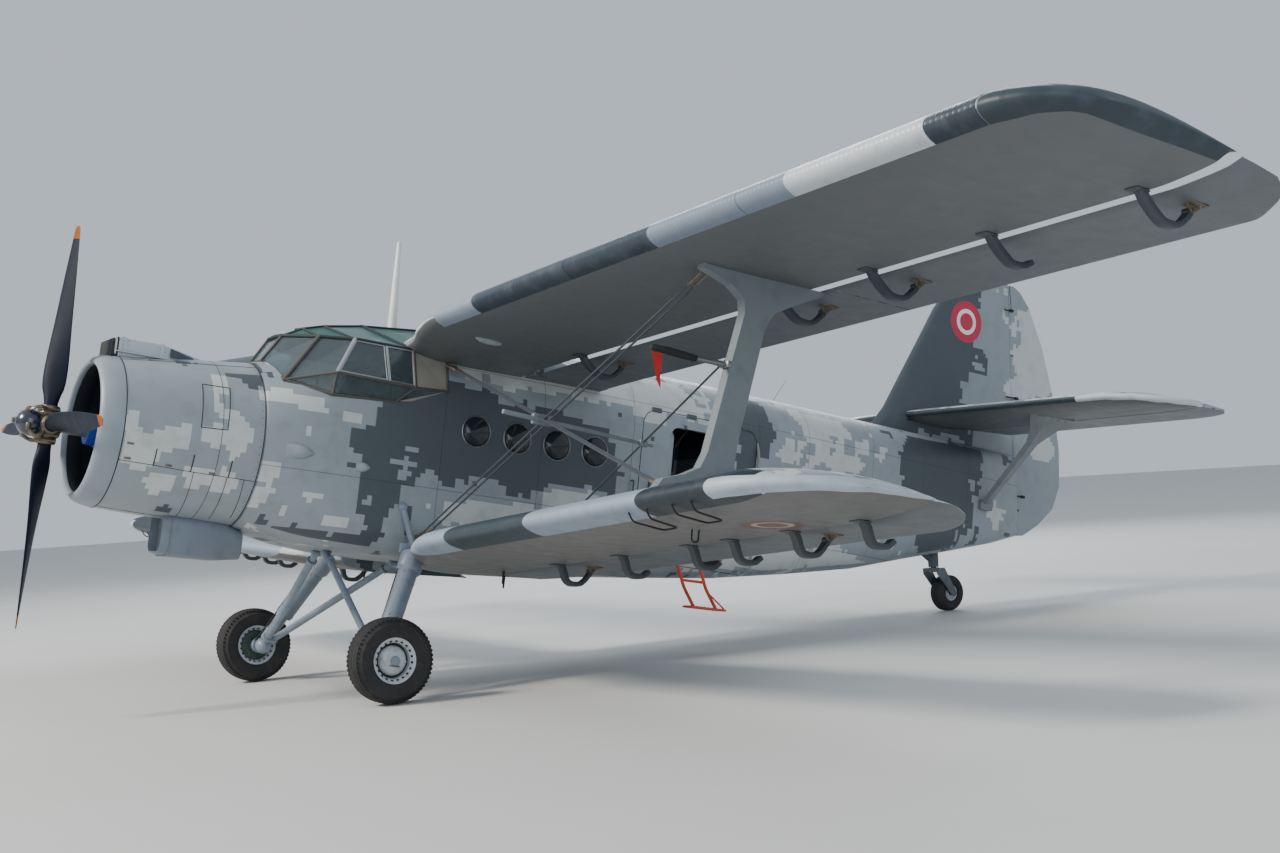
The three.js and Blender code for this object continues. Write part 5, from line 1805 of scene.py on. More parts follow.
@dataclass
class Propeller:
    """Four-blade variable-pitch propeller with a domed hub and counterweights.

    Attributes:
        x: station of the blades.
        z: height of the shaft.
        phase: degrees of the first blade from upright.
        rows: distance out, chord, thickness and twist in degrees.
    """

    x: float = 2.753
    z: float = 1.766
    phase: float = -2.85
    rows: tuple = (
        (0.15, 0.12, 0.118, 62), (0.2, 0.122, 0.112, 60), (0.36, 0.214, 0.082, 53),
        (0.54, 0.232, 0.06, 45), (0.9, 0.208, 0.038, 33), (1.35, 0.158, 0.024, 25),
        (1.65, 0.104, 0.016, 21), (1.76, 0.082, 0.012, 20), (1.8, 0.048, 0.01, 20),
    )

    def blade_axes(self, shop: Workshop, k: int) -> Matrix:
        """Returns a blade's axes: Z out along it."""
        turn = Matrix.Rotation(math.radians(90 * k + self.phase), 4, "X")
        return shop.axes @ Matrix.Translation((self.x, 0, self.z)) @ turn

    def blade(self, shop: Workshop, k: int, paint: Finish) -> None:
        """Builds one twisted blade, round at the root.

        Args:
            shop: the workshop that hangs the pieces.
            k: its number, from 0.
            paint: the piece's finish.
        """
        rings = []
        places = [
            0.15, 0.2, 0.26, 0.32, 0.38, 0.45, 0.52, 0.62, 0.75, 0.9, 1.05, 1.2, 1.35, 1.5, 1.6, 1.68, 1.73,
            1.76, 1.78, 1.79, 1.797, 1.8,
        ]
        for out in places:
            chord, thick, twist = smooth_rows(self.rows, out)
            if out > 1.75:
                chord = 0.083 * math.sqrt(max(0.02, 1 - ((out - 1.75) / 0.0505) ** 2))
            root = min(1.0, max(0.0, (out - 0.24) / 0.2))
            turn = math.radians(twist)
            ring = []
            for j in range(24):
                a = TURN * j / 24
                across = 0.5 * math.cos(a)
                flat = 0.5 * math.sin(a) * (0.72 + 0.28 * math.cos(a))
                deep = lerp(0.5 * math.sin(a), flat, root)
                p, q = across * chord, deep * thick
                ring.append(
                    (p * math.sin(turn) - q * math.cos(turn), -p * math.cos(turn) - q * math.sin(turn), out)
                )
            rings.append(ring)
        shape = Shape(self.blade_axes(shop, k)).loft(rings)
        name = f"propeller_blade_{k + 1}"
        shop.hang(shape, f"blade_{k + 1}", "propeller", paint, (name,), 60)

    def hub(self, shop: Workshop, bronze: Finish, steel: Finish, dark: Finish) -> None:
        """Builds the hub barrel with its sockets, clamps and counterweights, the dome and the shaft.

        Args:
            shop: the workshop that hangs the pieces.
            bronze: finish of the barrel and the clamps.
            steel: finish of the nozzle and the shaft.
            dark: finish of the dome.
        """
        line = ((self.x, 0, self.z), (9, 0, self.z))
        barrel = Shape(shop.axes)
        profile = [
            (0.06, -0.1), (0.105, -0.1), (0.112, -0.09), (0.118, -0.06), (0.126, -0.03), (0.128, 0.03),
            (0.12, 0.055), (0.118, 0.075), (0.108, 0.08), (0.06, 0.08), (0.06, -0.1),
        ]
        barrel.turned(profile, *line, 40)
        for j in range(12):
            a = TURN * j / 12
            place = (self.x + 0.078, 0.098 * math.cos(a), self.z + 0.098 * math.sin(a))
            barrel.bolts([place], (1, 0, 0), 0.008, 0.012)
        shop.hang(barrel, "hub_barrel", "propeller", bronze, ("propeller_hub",))
        dome = Shape(shop.axes)
        round_part = [
            (0.122 * math.cos(math.radians(a)), 0.15 + 0.122 * math.sin(math.radians(a)))
            for a in range(-35, 76, 10)
        ]
        dome.turned(
            [(0, 0.075), (0.1, 0.076), *round_part, (0.024, 0.272), (0.022, 0.3), (0, 0.302)], *line, 40,
        )
        shop.hang(dome, "hub_dome", "propeller", dark, crease=50)
        nozzle = Shape(shop.axes)
        nozzle.turned(
            [(0, 0.27), (0.03, 0.27), (0.031, 0.282), (0.02, 0.286), (0.02, 0.307), (0, 0.308)], *line, 12,
        )
        nozzle.turned([(0.06, -0.41), (0.058, -0.1), (0, -0.1)], *line, 28)
        shop.hang(nozzle, "hub_nozzle_and_shaft", "propeller", steel)
        arms = Shape(self.blade_axes(shop, 0))
        for k in range(4):
            turn = Matrix.Rotation(math.radians(90 * k), 4, "X")

            def spun(x: float, y: float, z: float) -> Vector:
                """Returns a point of a blade's axes in the first blade's axes."""
                return turn @ Vector((x, y, z))

            collar = [
                (0.064, 0.06), (0.088, 0.062), (0.09, 0.1), (0.086, 0.112), (0.09, 0.12), (0.09, 0.15),
                (0.08, 0.17), (0.064, 0.172), (0.064, 0.06),
            ]
            arms.turned(collar, spun(0, 0, 0), spun(0, 0, 1), 28)
            route = [
                spun(0.04, 0.07, 0.135), spun(0.085, 0.115, 0.15), spun(0.13, 0.12, 0.14),
                spun(0.17, 0.09, 0.12), spun(0.185, 0.04, 0.11),
            ]
            path = bent(route, 0.03, 3)
            arms.tube(path, [0.024] * 5 + [0.02] * (len(path) - 5), 12, 0.55)
            arms.rod(spun(0.185, 0.075, 0.115), spun(0.185, 0.012, 0.115), 0.024, sides=16, soft=0.004)
            for hand in (1, -1):
                arms.rod(spun(-0.07, hand * 0.092, 0.135), spun(0.07, hand * 0.092, 0.135), 0.011, sides=8)
                arms.rod(spun(0.06, hand * 0.092, 0.135), spun(0.078, hand * 0.092, 0.135), 0.017, sides=6)
        shop.hang(arms, "hub_clamps_and_counterweights", "propeller", bronze)

    def build(self, shop: Workshop, paints: dict[str, Finish]) -> None:
        """Builds hub and blades."""
        self.hub(shop, paints["hub"], paints["steel_clean"], paints["dome"])
        for k in range(4):
            self.blade(shop, k, paints["blade"])


@dataclass
class Intakes:
    """Carburettor trunk on top of the cowl, oil cooler scoop below and the exhaust pipe.

    Attributes:
        trunk: station, bottom, top and half width of the trunk's sections, and their corner radius.
        scoop: the same for the scoop.
    """

    trunk: tuple = (
        (1.47, 2.44, 2.566, 0.09, 0.02), (1.88, 2.44, 2.628, 0.205, 0.036),
        (2.31, 2.44, 2.622, 0.205, 0.036), (2.345, 2.44, 2.604, 0.19, 0.03),
    )
    scoop: tuple = (
        (0.925, 0.778, 1.04, 0.195, 0.08), (1.15, 0.745, 1.12, 0.215, 0.1),
        (1.56, 0.735, 1.13, 0.215, 0.1), (1.68, 0.76, 1.12, 0.19, 0.09),
    )

    @staticmethod
    def section(x: float, low: float, high: float, half: float, corner: float, shrink: float = 0.0) -> list:
        """Returns a rounded rectangle at a station, seen from ahead.

        Args:
            x: its station.
            low: height of its bottom.
            high: height of its top.
            half: half its width.
            corner: radius of its corners.
            shrink: how far it is drawn in.

        Returns:
            The ring's points.
        """
        low, high, half = low + shrink, high - shrink, half - shrink
        corner = max(0.004, corner - shrink)
        ring = []
        for cy, cz, start in (
            (half - corner, high - corner, 0), (corner - half, high - corner, 90),
            (corner - half, low + corner, 180), (half - corner, low + corner, 270),
        ):
            ring += [(x, y, z) for y, z in arc((cy, cz), corner, start, start + 90, 5)]
        return ring

    def duct(self, shop: Workshop, rows: tuple, wall: float, deep: float) -> Shape:
        """Returns a duct open at its front end down to a depth.

        Args:
            shop: the workshop that hangs the pieces.
            rows: its sections from the rear.
            wall: its thickness.
            deep: how far its mouth goes in.

        Returns:
            The duct, not yet hung.
        """
        outer = [self.section(*row) for row in rows]
        front = rows[-1]
        inner = [self.section(*front, shrink=wall)]
        back = (front[0] - deep, *front[1:])
        inner.append(self.section(*back, shrink=wall))
        return Shape(shop.axes).loft([*outer, *inner])

    def carburettor(self, shop: Workshop, paints: dict[str, Finish]) -> None:
        """Builds the trunk with its straps and bolts, the screen in its mouth with a black plate behind it as
        painted shade, and dark plates on its sides as painted shade of the recess.

        Args:
            shop: the workshop that hangs the pieces.
            paints: the finishes by name.
        """
        trunk = self.duct(shop, self.trunk, 0.024, 0.2)
        for x in (2.235, 1.9):
            trunk.loft([self.section(x + dx, 2.44, 2.634, 0.214, 0.03) for dx in (-0.014, 0.014)])
        for side in (1, -1):
            places = [(x, side * 0.205, z) for x in (2.26, 2.2, 1.94, 1.865) for z in (2.5, 2.56, 2.6)]
            trunk.bolts(places, (0, side, 0), 0.007, 0.012)
            trunk.block((2.06, side * 0.222, 2.492), (0.5, 0.04, 0.008), soft=0.002)
            trunk.bolts(
                [(x, side * 0.228, 2.497) for x in (1.84, 1.95, 2.06, 2.17, 2.28)], (0, 0, 1), 0.007, 0.007,
            )
        shop.hang(trunk, "carburettor_trunk", "airframe", paints["trunk"], ("carburettor_intake",), 30)
        mouth = Shape(shop.axes)
        lip = ((2.3462, 2.437, 2.6042, 0.1935, 0.03), (2.29, 2.437, 2.628, 0.209, 0.036))
        mouth.loft([self.section(*row) for row in lip])
        # A black plate behind the screen is painted shade deep in the duct.
        mouth.loft([self.section(x, 2.47, 2.6, 0.17, 0.02) for x in (2.215, 2.21)])
        for k in range(7):
            mouth.rod((2.225, -0.15 + k * 0.05, 2.47), (2.225, -0.15 + k * 0.05, 2.6), 0.003, sides=6)
        shop.hang(mouth, "carburettor_screen", "airframe", paints["black"])
        # Dark plates on the sides stand in for the recess: painted shade.
        recess = Shape(shop.axes)
        for side in (1, -1):
            outline = [
                (1.82, side * 0.2, 2.6), (1.82, side * 0.2, 2.52), (1.56, side * 0.125, 2.535),
                (1.6, side * 0.135, 2.56),
            ]
            recess.plate(outline, (0, side * 0.006, 0))
        shop.hang(recess, "trunk_side_recess", "airframe", paints["slate"])

    def cooler(self, shop: Workshop, paints: dict[str, Finish]) -> None:
        """Builds the scoop with the strap round it, and the cooler's tubes inside.

        Args:
            shop: the workshop that hangs the pieces.
            paints: the finishes by name.
        """
        scoop = self.duct(shop, self.scoop, 0.012, 0.3)
        scoop.loft([self.section(1.6 + dx, 0.7345, 1.12, 0.2165, 0.1) for dx in (-0.006, 0.006)])
        shop.hang(scoop, "oil_cooler_duct", "airframe", paints["scoop"], ("oil_cooler_scoop",), 35)
        core = Shape(shop.axes)
        middle = 0.935
        core.rod((1.4, 0, middle), (1.38, 0, middle), 0.17, sides=32)
        mouth = [(0.0072, 0), (0.0072, 0.014), (0.0085, 0.014), (0.0085, 0)]
        for row in range(-8, 9):
            for column in range(-8, 9):
                y = (column + 0.5 * (row % 2)) * 0.019
                z = row * 0.0165
                if math.hypot(y, z) < 0.155:
                    core.turned(mouth, (1.399, y, middle + z), (9, y, middle + z), 6)
        shop.hang(core, "oil_cooler_core", "airframe", paints["hub"])

    def build(self, shop: Workshop, paints: dict[str, Finish]) -> None:
        """Builds trunk, scoop with its cooler, and pipe."""
        self.carburettor(shop, paints)
        self.cooler(shop, paints)
        shop.skin("exhaust_pipe_skin", "exhaust_pipe", "airframe", paints["exhaust"], 30)
# Landing gear


@dataclass
class Wheel:
    """A braked wheel with its tyre, in axes whose Z runs out along the axle.

    Attributes:
        radius: the tyre's outer radius.
        seat: radius where the tyre sits on the rim.
        half: half the tyre's width.
        rim_half: half the rim's width.
        grooves: places across the tread where a groove runs round.
    """

    radius: float = 0.38
    seat: float = 0.196
    half: float = 0.125
    rim_half: float = 0.096
    grooves: tuple = (-0.066, -0.033, 0.0, 0.033, 0.066)

    def tyre(self, axes: Matrix) -> Shape:
        """Returns the tyre with its bead, rounded shoulders and grooves.

        Args:
            axes: the wheel's axes, with Z out along the axle.

        Returns:
            The tyre, not yet hung.
        """
        tall = self.radius - self.seat
        side = [
            (0.0, 0.77), (0.05, 0.88), (0.2, 0.965), (0.42, 1.0), (0.62, 0.97), (0.66, 0.985),
            (0.69, 0.94), (0.8, 0.83), (0.9, 0.68), (0.96, 0.56),
        ]
        left = [(self.seat + tall * up, -self.half * out) for up, out in side]
        crown = []
        for at in self.grooves:
            low = self.radius - 0.0035 - 1.1 * at * at
            rise = low - 0.005
            crown += [(low, at - 0.006), (rise, at - 0.004), (rise, at + 0.004), (low, at + 0.006)]
        profile = [*left, *crown, *[(r, -h) for r, h in reversed(left)], left[0]]
        return Shape(axes).turned(profile, (0, 0, 0), (0, 0, 1), 72)

    def tread(self, shape: Shape) -> None:
        """Adds the small blocks on the tyre's shoulders.

        Args:
            shape: the mesh it goes into.
        """
        count = 56
        for k in range(count):
            turn = Matrix.Rotation(TURN * k / count, 4, "Z")
            for hand in (1, -1):
                place = turn @ Vector((self.radius - 0.0205, 0, hand * self.half * 0.78))
                shape.block(place, (0.012, 0.02, 0.016), turn)

    def rim(self, axes: Matrix) -> Shape:
        """Returns the rim's barrel with a rolled flange at each side.

        Args:
            axes: the wheel's axes, with Z out along the axle.

        Returns:
            The rim, not yet hung.
        """
        wide, seat = self.rim_half, self.seat
        profile = [
            (seat * 0.8, -wide * 0.72), (seat * 0.93, -wide * 0.98), (seat * 1.03, -wide * 1.08),
            (seat * 1.05, -wide), (seat, -wide * 0.9), (seat, wide * 0.9), (seat * 1.05, wide),
            (seat * 1.03, wide * 1.08), (seat * 0.93, wide * 0.98), (seat * 0.8, wide * 0.72),
            (seat * 0.78, wide * 0.3), (seat * 0.78, -wide * 0.3), (seat * 0.8, -wide * 0.72),
        ]
        return Shape(axes).turned(profile, (0, 0, 0), (0, 0, 1), 64)

    def notches(self, shape: Shape, count: int) -> None:
        """Adds dark blocks round the rim's face that stand in for its slots: painted shade in the openings.

        Args:
            shape: the mesh it goes into.
            count: how many there are on each face.
        """
        for k in range(count):
            turn = Matrix.Rotation(TURN * k / count, 4, "Z")
            for hand in (1, -1):
                place = turn @ Vector((self.seat * 0.865, 0, hand * self.rim_half * 0.87))
                shape.block(place, (self.seat * 0.07, self.seat * 0.1, 0.02), turn, 0.002)


@dataclass
class MainGear:
    """One side of the main gear: vee, shock strut and wheel, in airframe axes.

    Attributes:
        knuckle: where the vee, the strut's foot and the axle meet.
        track: how far out the wheel's middle is.
    """

    knuckle: tuple = (0.0, 1.4, 0.0)
    track: float = 1.68

    def wheel(self, shop: Workshop, side: int, tag: str, paints: dict[str, Finish]) -> None:
        """Builds the wheel.

        Args:
            shop: the workshop that hangs the pieces.
            side: 1 for port, -1 for starboard.
            tag: L or R, which ends the pieces' names.
            paints: the finishes by name.
        """
        wheel = Wheel()
        out = Matrix.Rotation(-side * math.pi / 2, 4, "X")
        axes = shop.axes @ Matrix.Translation((0, side * self.track, 0)) @ out
        body = f"main_wheel_{tag}"
        tyre = wheel.tyre(axes)
        wheel.tread(tyre)
        shop.hang(tyre, f"main_tyre_tread_{tag}", body, paints["rubber"], (f"main_tyre_{tag}",), 40)
        rim = wheel.rim(axes)
        cap = [
            (0, 0.106), (0.03, 0.105), (0.07, 0.096), (0.1, 0.082), (0.12, 0.064), (0.13, 0.044),
            (0.13, 0.03), (0, 0.03),
        ]
        rim.turned(cap, (0, 0, 0), (0, 0, 1), 48)
        for k in range(8):
            a = TURN * k / 8
            rim.bolts([(0.112 * math.cos(a), 0.112 * math.sin(a), 0.07)], (0, 0, 1), 0.007, 0.01)
        shop.hang(rim, f"main_rim_and_cap_{tag}", body, paints["rim"], (f"main_rim_{tag}",), 35)
        dark = Shape(axes)
        drum = [(0.048, -0.045), (0.15, -0.045), (0.152, 0.026), (0.048, 0.026), (0.048, -0.045)]
        dark.turned(drum, (0, 0, 0), (0, 0, 1), 48)
        # The dark blocks are painted shade in the rim's slots.
        wheel.notches(dark, 20)
        dark.rod((0, 0, 0.104), (0, 0, 0.118), 0.02, sides=6)
        grip = [(-0.04, 0.045, 0.092), (-0.04, 0.045, 0.118), (0.04, 0.045, 0.118), (0.04, 0.045, 0.092)]
        dark.tube(bent(grip, 0.01), 0.004, 6)
        shop.hang(dark, f"main_brake_and_nut_{tag}", body, paints["rim_dark"])
        inner = Shape(axes)
        dish = [
            (0.05, -0.055), (0.062, -0.084), (0.07, -0.084), (0.09, -0.06), (0.145, -0.052),
            (0.145, -0.047), (0.05, -0.047), (0.05, -0.055),
        ]
        inner.turned(dish, (0, 0, 0), (0, 0, 1), 48)
        for k in range(10):
            a = TURN * k / 10
            inner.bolts([(0.118 * math.cos(a), 0.118 * math.sin(a), -0.054)], (0, 0, -1), 0.009, 0.012)
        shop.hang(inner, f"main_brake_dish_{tag}", body, paints["rim_green"])

    def legs(self, shop: Workshop, side: int, tag: str, paints: dict[str, Finish]) -> None:
        """Builds vee, axle, shock strut and the brace over it.

        Args:
            shop: the workshop that hangs the pieces.
            side: 1 for port, -1 for starboard.
            tag: L or R, which ends the pieces' names.
            paints: the finishes by name.
        """

        def at(x: float, y: float, z: float) -> Vector:
            """Returns a point on this side."""
            return Vector((x, side * y, z))

        knuckle = at(*self.knuckle)
        vee = Shape(shop.axes)
        vee.ball(knuckle, 0.082, (1, 1.15, 1), 20)
        vee.rod(knuckle, at(0, 1.8, 0), 0.043, sides=24, soft=0.004)
        vee.rod(at(0, 1.5, 0), at(0, 1.56, 0), 0.078, sides=28, soft=0.005)
        for foot, radius in ((at(0.066, 0.12, 0.94), 0.04), (at(-0.75, 0.11, 0.932), 0.036)):
            way = (foot - knuckle).normalized()
            vee.tube(
                [knuckle.lerp(foot, k / 8) for k in range(9)],
                [radius * s for s in (0.85, 0.95, 1, 1, 1, 1, 1, 0.95, 0.8)], 20, 0.8,
            )
            vee.rod(foot - way * 0.14, foot - way * 0.115, radius * 1.3, sides=20, soft=0.003)
            vee.rod(knuckle + way * 0.13, knuckle + way * 0.16, radius * 1.35, sides=20, soft=0.003)
            vee.rod(foot + Vector((0.045, 0, 0)), foot - Vector((0.045, 0, 0)), 0.034, sides=18, soft=0.003)
        shop.hang(vee, f"gear_vee_and_axle_{tag}", "airframe", paints["leg"], (f"gear_vee_{tag}",))
        foot, top = at(-0.018, 1.42, 0.06), at(-0.44, 1.0, 1.0)
        strut = Shape(shop.axes)
        length = (top - foot).length
        profile = [
            (0, 0), (0.05, 0), (0.062, 0.02), (0.062, 0.1), (0.07, 0.108), (0.07, 0.13), (0.06, 0.138),
            (0.06, 0.3), (0.088, 0.31), (0.092, 0.33), (0.092, 0.78 * length), (0.1, 0.79 * length),
            (0.114, 0.81 * length), (0.116, 0.95 * length), (0.1, 0.965 * length), (0.06, length),
            (0, length),
        ]
        strut.turned(profile, foot, top, 36)
        turn = aimed(foot, top)
        for k in range(8):
            a = TURN * k / 8
            for height in (0.35, 0.75 * length):
                place = turn @ Vector((0.09 * math.cos(a), 0.09 * math.sin(a), height))
                strut.bolts([place], place - turn @ Vector((0, 0, height)), 0.008, 0.01)
        head = at(-0.318, 0.89, 1.405)
        strut.tube([top, top.lerp(head, 0.5), head], [0.036, 0.03, 0.034], 18)
        strut.ball(head, 0.052, (1, 0.9, 1), 18)
        strut.rod(head - Vector((0, 0.02, 0)), head + Vector((0, 0.02, 0)), 0.028, sides=14)
        strut.block(at(-0.4, 0.96, 1.03), (0.2, 0.05, 0.09), soft=0.012)
        shop.hang(strut, f"shock_strut_and_brace_{tag}", "airframe", paints["leg"], (f"shock_strut_{tag}",))
        hoses = Shape(shop.axes)
        route = [
            top + Vector((0.12, 0, -0.05)), foot.lerp(top, 0.6) + Vector((0.1, 0, 0)),
            foot.lerp(top, 0.2) + Vector((0.085, 0, 0.01)), at(0.06, 1.5, 0.03), at(0.05, 1.6, 0.06),
        ]
        hoses.tube(bent(route, 0.08, 6), 0.008, 10)
        shop.hang(hoses, f"brake_hose_{tag}", "airframe", paints["black"])

    def build(self, shop: Workshop, side: int, tag: str, paints: dict[str, Finish]) -> None:
        """Builds this side's gear."""
        self.legs(shop, side, tag, paints)
        self.wheel(shop, side, tag, paints)


@dataclass
class TailGear:
    """Tail leg, castering fork and small wheel, in the row frame.

    Attributes:
        swivel: the fork's pivot.
        axle: the wheel's middle.
    """

    swivel: tuple
    axle: tuple

    def build(self, shop: Workshop, paints: dict[str, Finish]) -> None:
        """Builds leg fittings, fork and wheel.

        Args:
            shop: the workshop that hangs the pieces.
            paints: the finishes by name.
        """
        shop.skin("tail_leg_skin", "tail_leg", "airframe", paints["slate"], 35, 0.004)
        shop.skin("tail_fork_skin", "tail_fork", "tail_fork", paints["fork"], 35, 0.003)
        wheel = Wheel(
            radius=0.22, seat=0.096, half=0.098, rim_half=0.07, grooves=(-0.045, -0.015, 0.015, 0.045)
        )
        axes = Matrix.Translation(self.axle) @ Matrix.Rotation(-math.pi / 2, 4, "X")
        shop.hang(wheel.tyre(axes), "tail_tyre_tread", "tail_wheel", paints["rubber"], ("tail_tyre",), 40)
        rim = wheel.rim(axes)
        for hand in (1, -1):
            disc = [
                (0.022, hand * 0.03), (0.03, hand * 0.064), (0.05, hand * 0.06), (0.066, hand * 0.04),
                (0.076, hand * 0.036), (0.076, hand * 0.02), (0.022, hand * 0.02), (0.022, hand * 0.03),
            ]
            rim.turned(disc, (0, 0, 0), (0, 0, 1), 36)
            for k in range(6):
                a = TURN * k / 6
                place = (0.058 * math.cos(a), 0.058 * math.sin(a), hand * 0.046)
                rim.bolts([place], (0, 0, hand), 0.007, 0.012)
        shop.hang(rim, "tail_rim_and_discs", "tail_wheel", paints["rim"], ("tail_rim",), 35)
        pins = Shape()
        x, _, z = self.axle
        for hand in (1, -1):
            pins.rod((x, hand * 0.112, z), (x, hand * 0.128, z), 0.02, sides=6)
            pins.rod((x, hand * 0.108, z), (x, hand * 0.113, z), 0.03, sides=20)
        shop.hang(pins, "tail_axle_nuts", "tail_fork", paints["steel"])
        damper = Shape()
        sx, _, sz = self.swivel
        damper.rod((sx, 0, sz + 0.012), (sx, 0, sz + 0.05), 0.062, sides=28, soft=0.004)
        for k in range(8):
            a = TURN * k / 8
            place = (sx + 0.048 * math.cos(a), 0.048 * math.sin(a), sz + 0.05)
            damper.bolts([place], (0, 0, 1), 0.007, 0.009)
        shop.hang(damper, "tail_swivel_collar", "airframe", paints["steel"])
# Canopy and windows


@dataclass
class Portholes:
    """Blown round cabin windows with riveted rims, in airframe axes.

    Attributes:
        places: X of each window.
        z: height of their middles.
        wall: how far out the wall's face stands.
        radius: of the opening.
    """

    places: tuple = (-0.993, -1.445, -1.893, -2.336)
    z: float = 2.224
    wall: float = 0.9
    radius: float = 0.14

    def build(self, shop: Workshop, side: int, tag: str, paints: dict[str, Finish]) -> None:
        """Builds panes, rims and rim bolts.

        Args:
            shop: the workshop that hangs the pieces.
            side: 1 for port, -1 for starboard.
            tag: L or R, which ends the pieces' names.
            paints: the finishes by name.
        """
        panes, rims, screws = Shape(shop.axes), Shape(shop.axes), Shape(shop.axes)
        reach = self.radius
        bubble = [(reach + 0.004, -0.004), (reach, 0.004)]
        bubble += [
            (reach * math.cos(a), 0.004 + 0.045 * math.sin(a))
            for a in (math.radians(15 * k) for k in range(1, 6))
        ]
        bubble += [(0, 0.049), (0, 0.045)]
        bubble += [
            ((reach - 0.004) * math.cos(a), 0.0415 * math.sin(a))
            for a in (math.radians(15 * k) for k in range(5, -1, -1))
        ]
        bubble += [(reach - 0.004, -0.004), (reach + 0.004, -0.004)]
        rim = [
            (0.143, -0.012), (0.158, -0.012), (0.158, 0.003), (0.155, 0.007), (0.149, 0.009), (0.145, 0.006),
            (0.143, -0.012),
        ]
        for x in self.places:
            foot = (x, side * self.wall, self.z)
            ahead = (x, side * 9, self.z)
            panes.turned(bubble, foot, ahead, 36)
            rims.turned(rim, foot, ahead, 48)
            for k in range(16):
                a = TURN * k / 16
                place = (x + 0.152 * math.cos(a), side * (self.wall + 0.007), self.z + 0.152 * math.sin(a))
                screws.rod(place, (place[0], side * (self.wall + 0.011), place[2]), 0.0035, sides=6)
        name = f"porthole_panes_{tag}"
        # The bubbles' dark tint is painted shade of the cabin behind them.
        shop.hang(panes, f"porthole_bubbles_{tag}", "airframe", paints["bubble"], (name,), 50)
        shop.hang(rims, f"porthole_rims_{tag}", "airframe", paints["steel_clean"])
        shop.hang(screws, f"porthole_screws_{tag}", "airframe", paints["slate"])


@dataclass
class Shell:
    """The fuselage's outer face as the frame has it, on which small parts are set.

    Attributes:
        trees: a search tree of each node's faces in the row frame.
    """

    trees: list

    @classmethod
    def of(cls, shop: Workshop, names: Sequence[str]) -> "Shell":
        """Reads the faces of some frame nodes.

        Args:
            shop: the workshop that hangs the pieces.
            names: the nodes' names.

        Returns:
            The shell.
        """
        trees = []
        for name in names:
            read = bmesh.new()
            read.from_mesh(shop.node(name).data)
            trees.append(BVHTree.FromBMesh(read))
            read.free()
        return cls(trees)

    def hit(self, shop: Workshop, start: Point, way: Point) -> tuple[Vector, Vector] | None:
        """Follows a line in airframe axes to the nearest face and returns place and normal.

        Args:
            shop: the workshop that hangs the pieces.
            start: where the line begins.
            way: the way it runs.

        Returns:
            Place and normal in airframe axes, or none where it meets no face.
        """
        turn = shop.axes.to_3x3()
        origin, along = shop.place(start), turn @ Vector(way).normalized()
        found = [tree.ray_cast(origin, along) for tree in self.trees]
        found = [hit for hit in found if hit[0] is not None]
        if not found:
            return None
        place, normal, _, _ = min(found, key=lambda hit: hit[3])
        if normal.dot(along) > 0:
            normal = -normal
        back = shop.axes.inverted()
        return back @ place, (back.to_3x3() @ normal).normalized()

    def side(self, shop: Workshop, x: float, z: float, hand: int) -> tuple[Vector, Vector] | None:
        """Returns the place and normal of the side at X and Z, seen from that side."""
        return self.hit(shop, (x, hand * 4, z), (0, -hand, 0))


def set_on(place: Vector, normal: Vector, along: Point = (1, 0, 0)) -> Matrix:
    """Returns axes on a face: Z out of it and X as near to along as the face allows.

    Args:
        place: a point on the face.
        normal: the way the face looks.
        along: what X keeps near to.

    Returns:
        The axes.
    """
    up = normal.normalized()
    ahead = (Vector(along) - up * up.dot(Vector(along))).normalized()
    turn = Matrix((ahead, up.cross(ahead), up)).transposed().to_4x4()
    return Matrix.Translation(place) @ turn


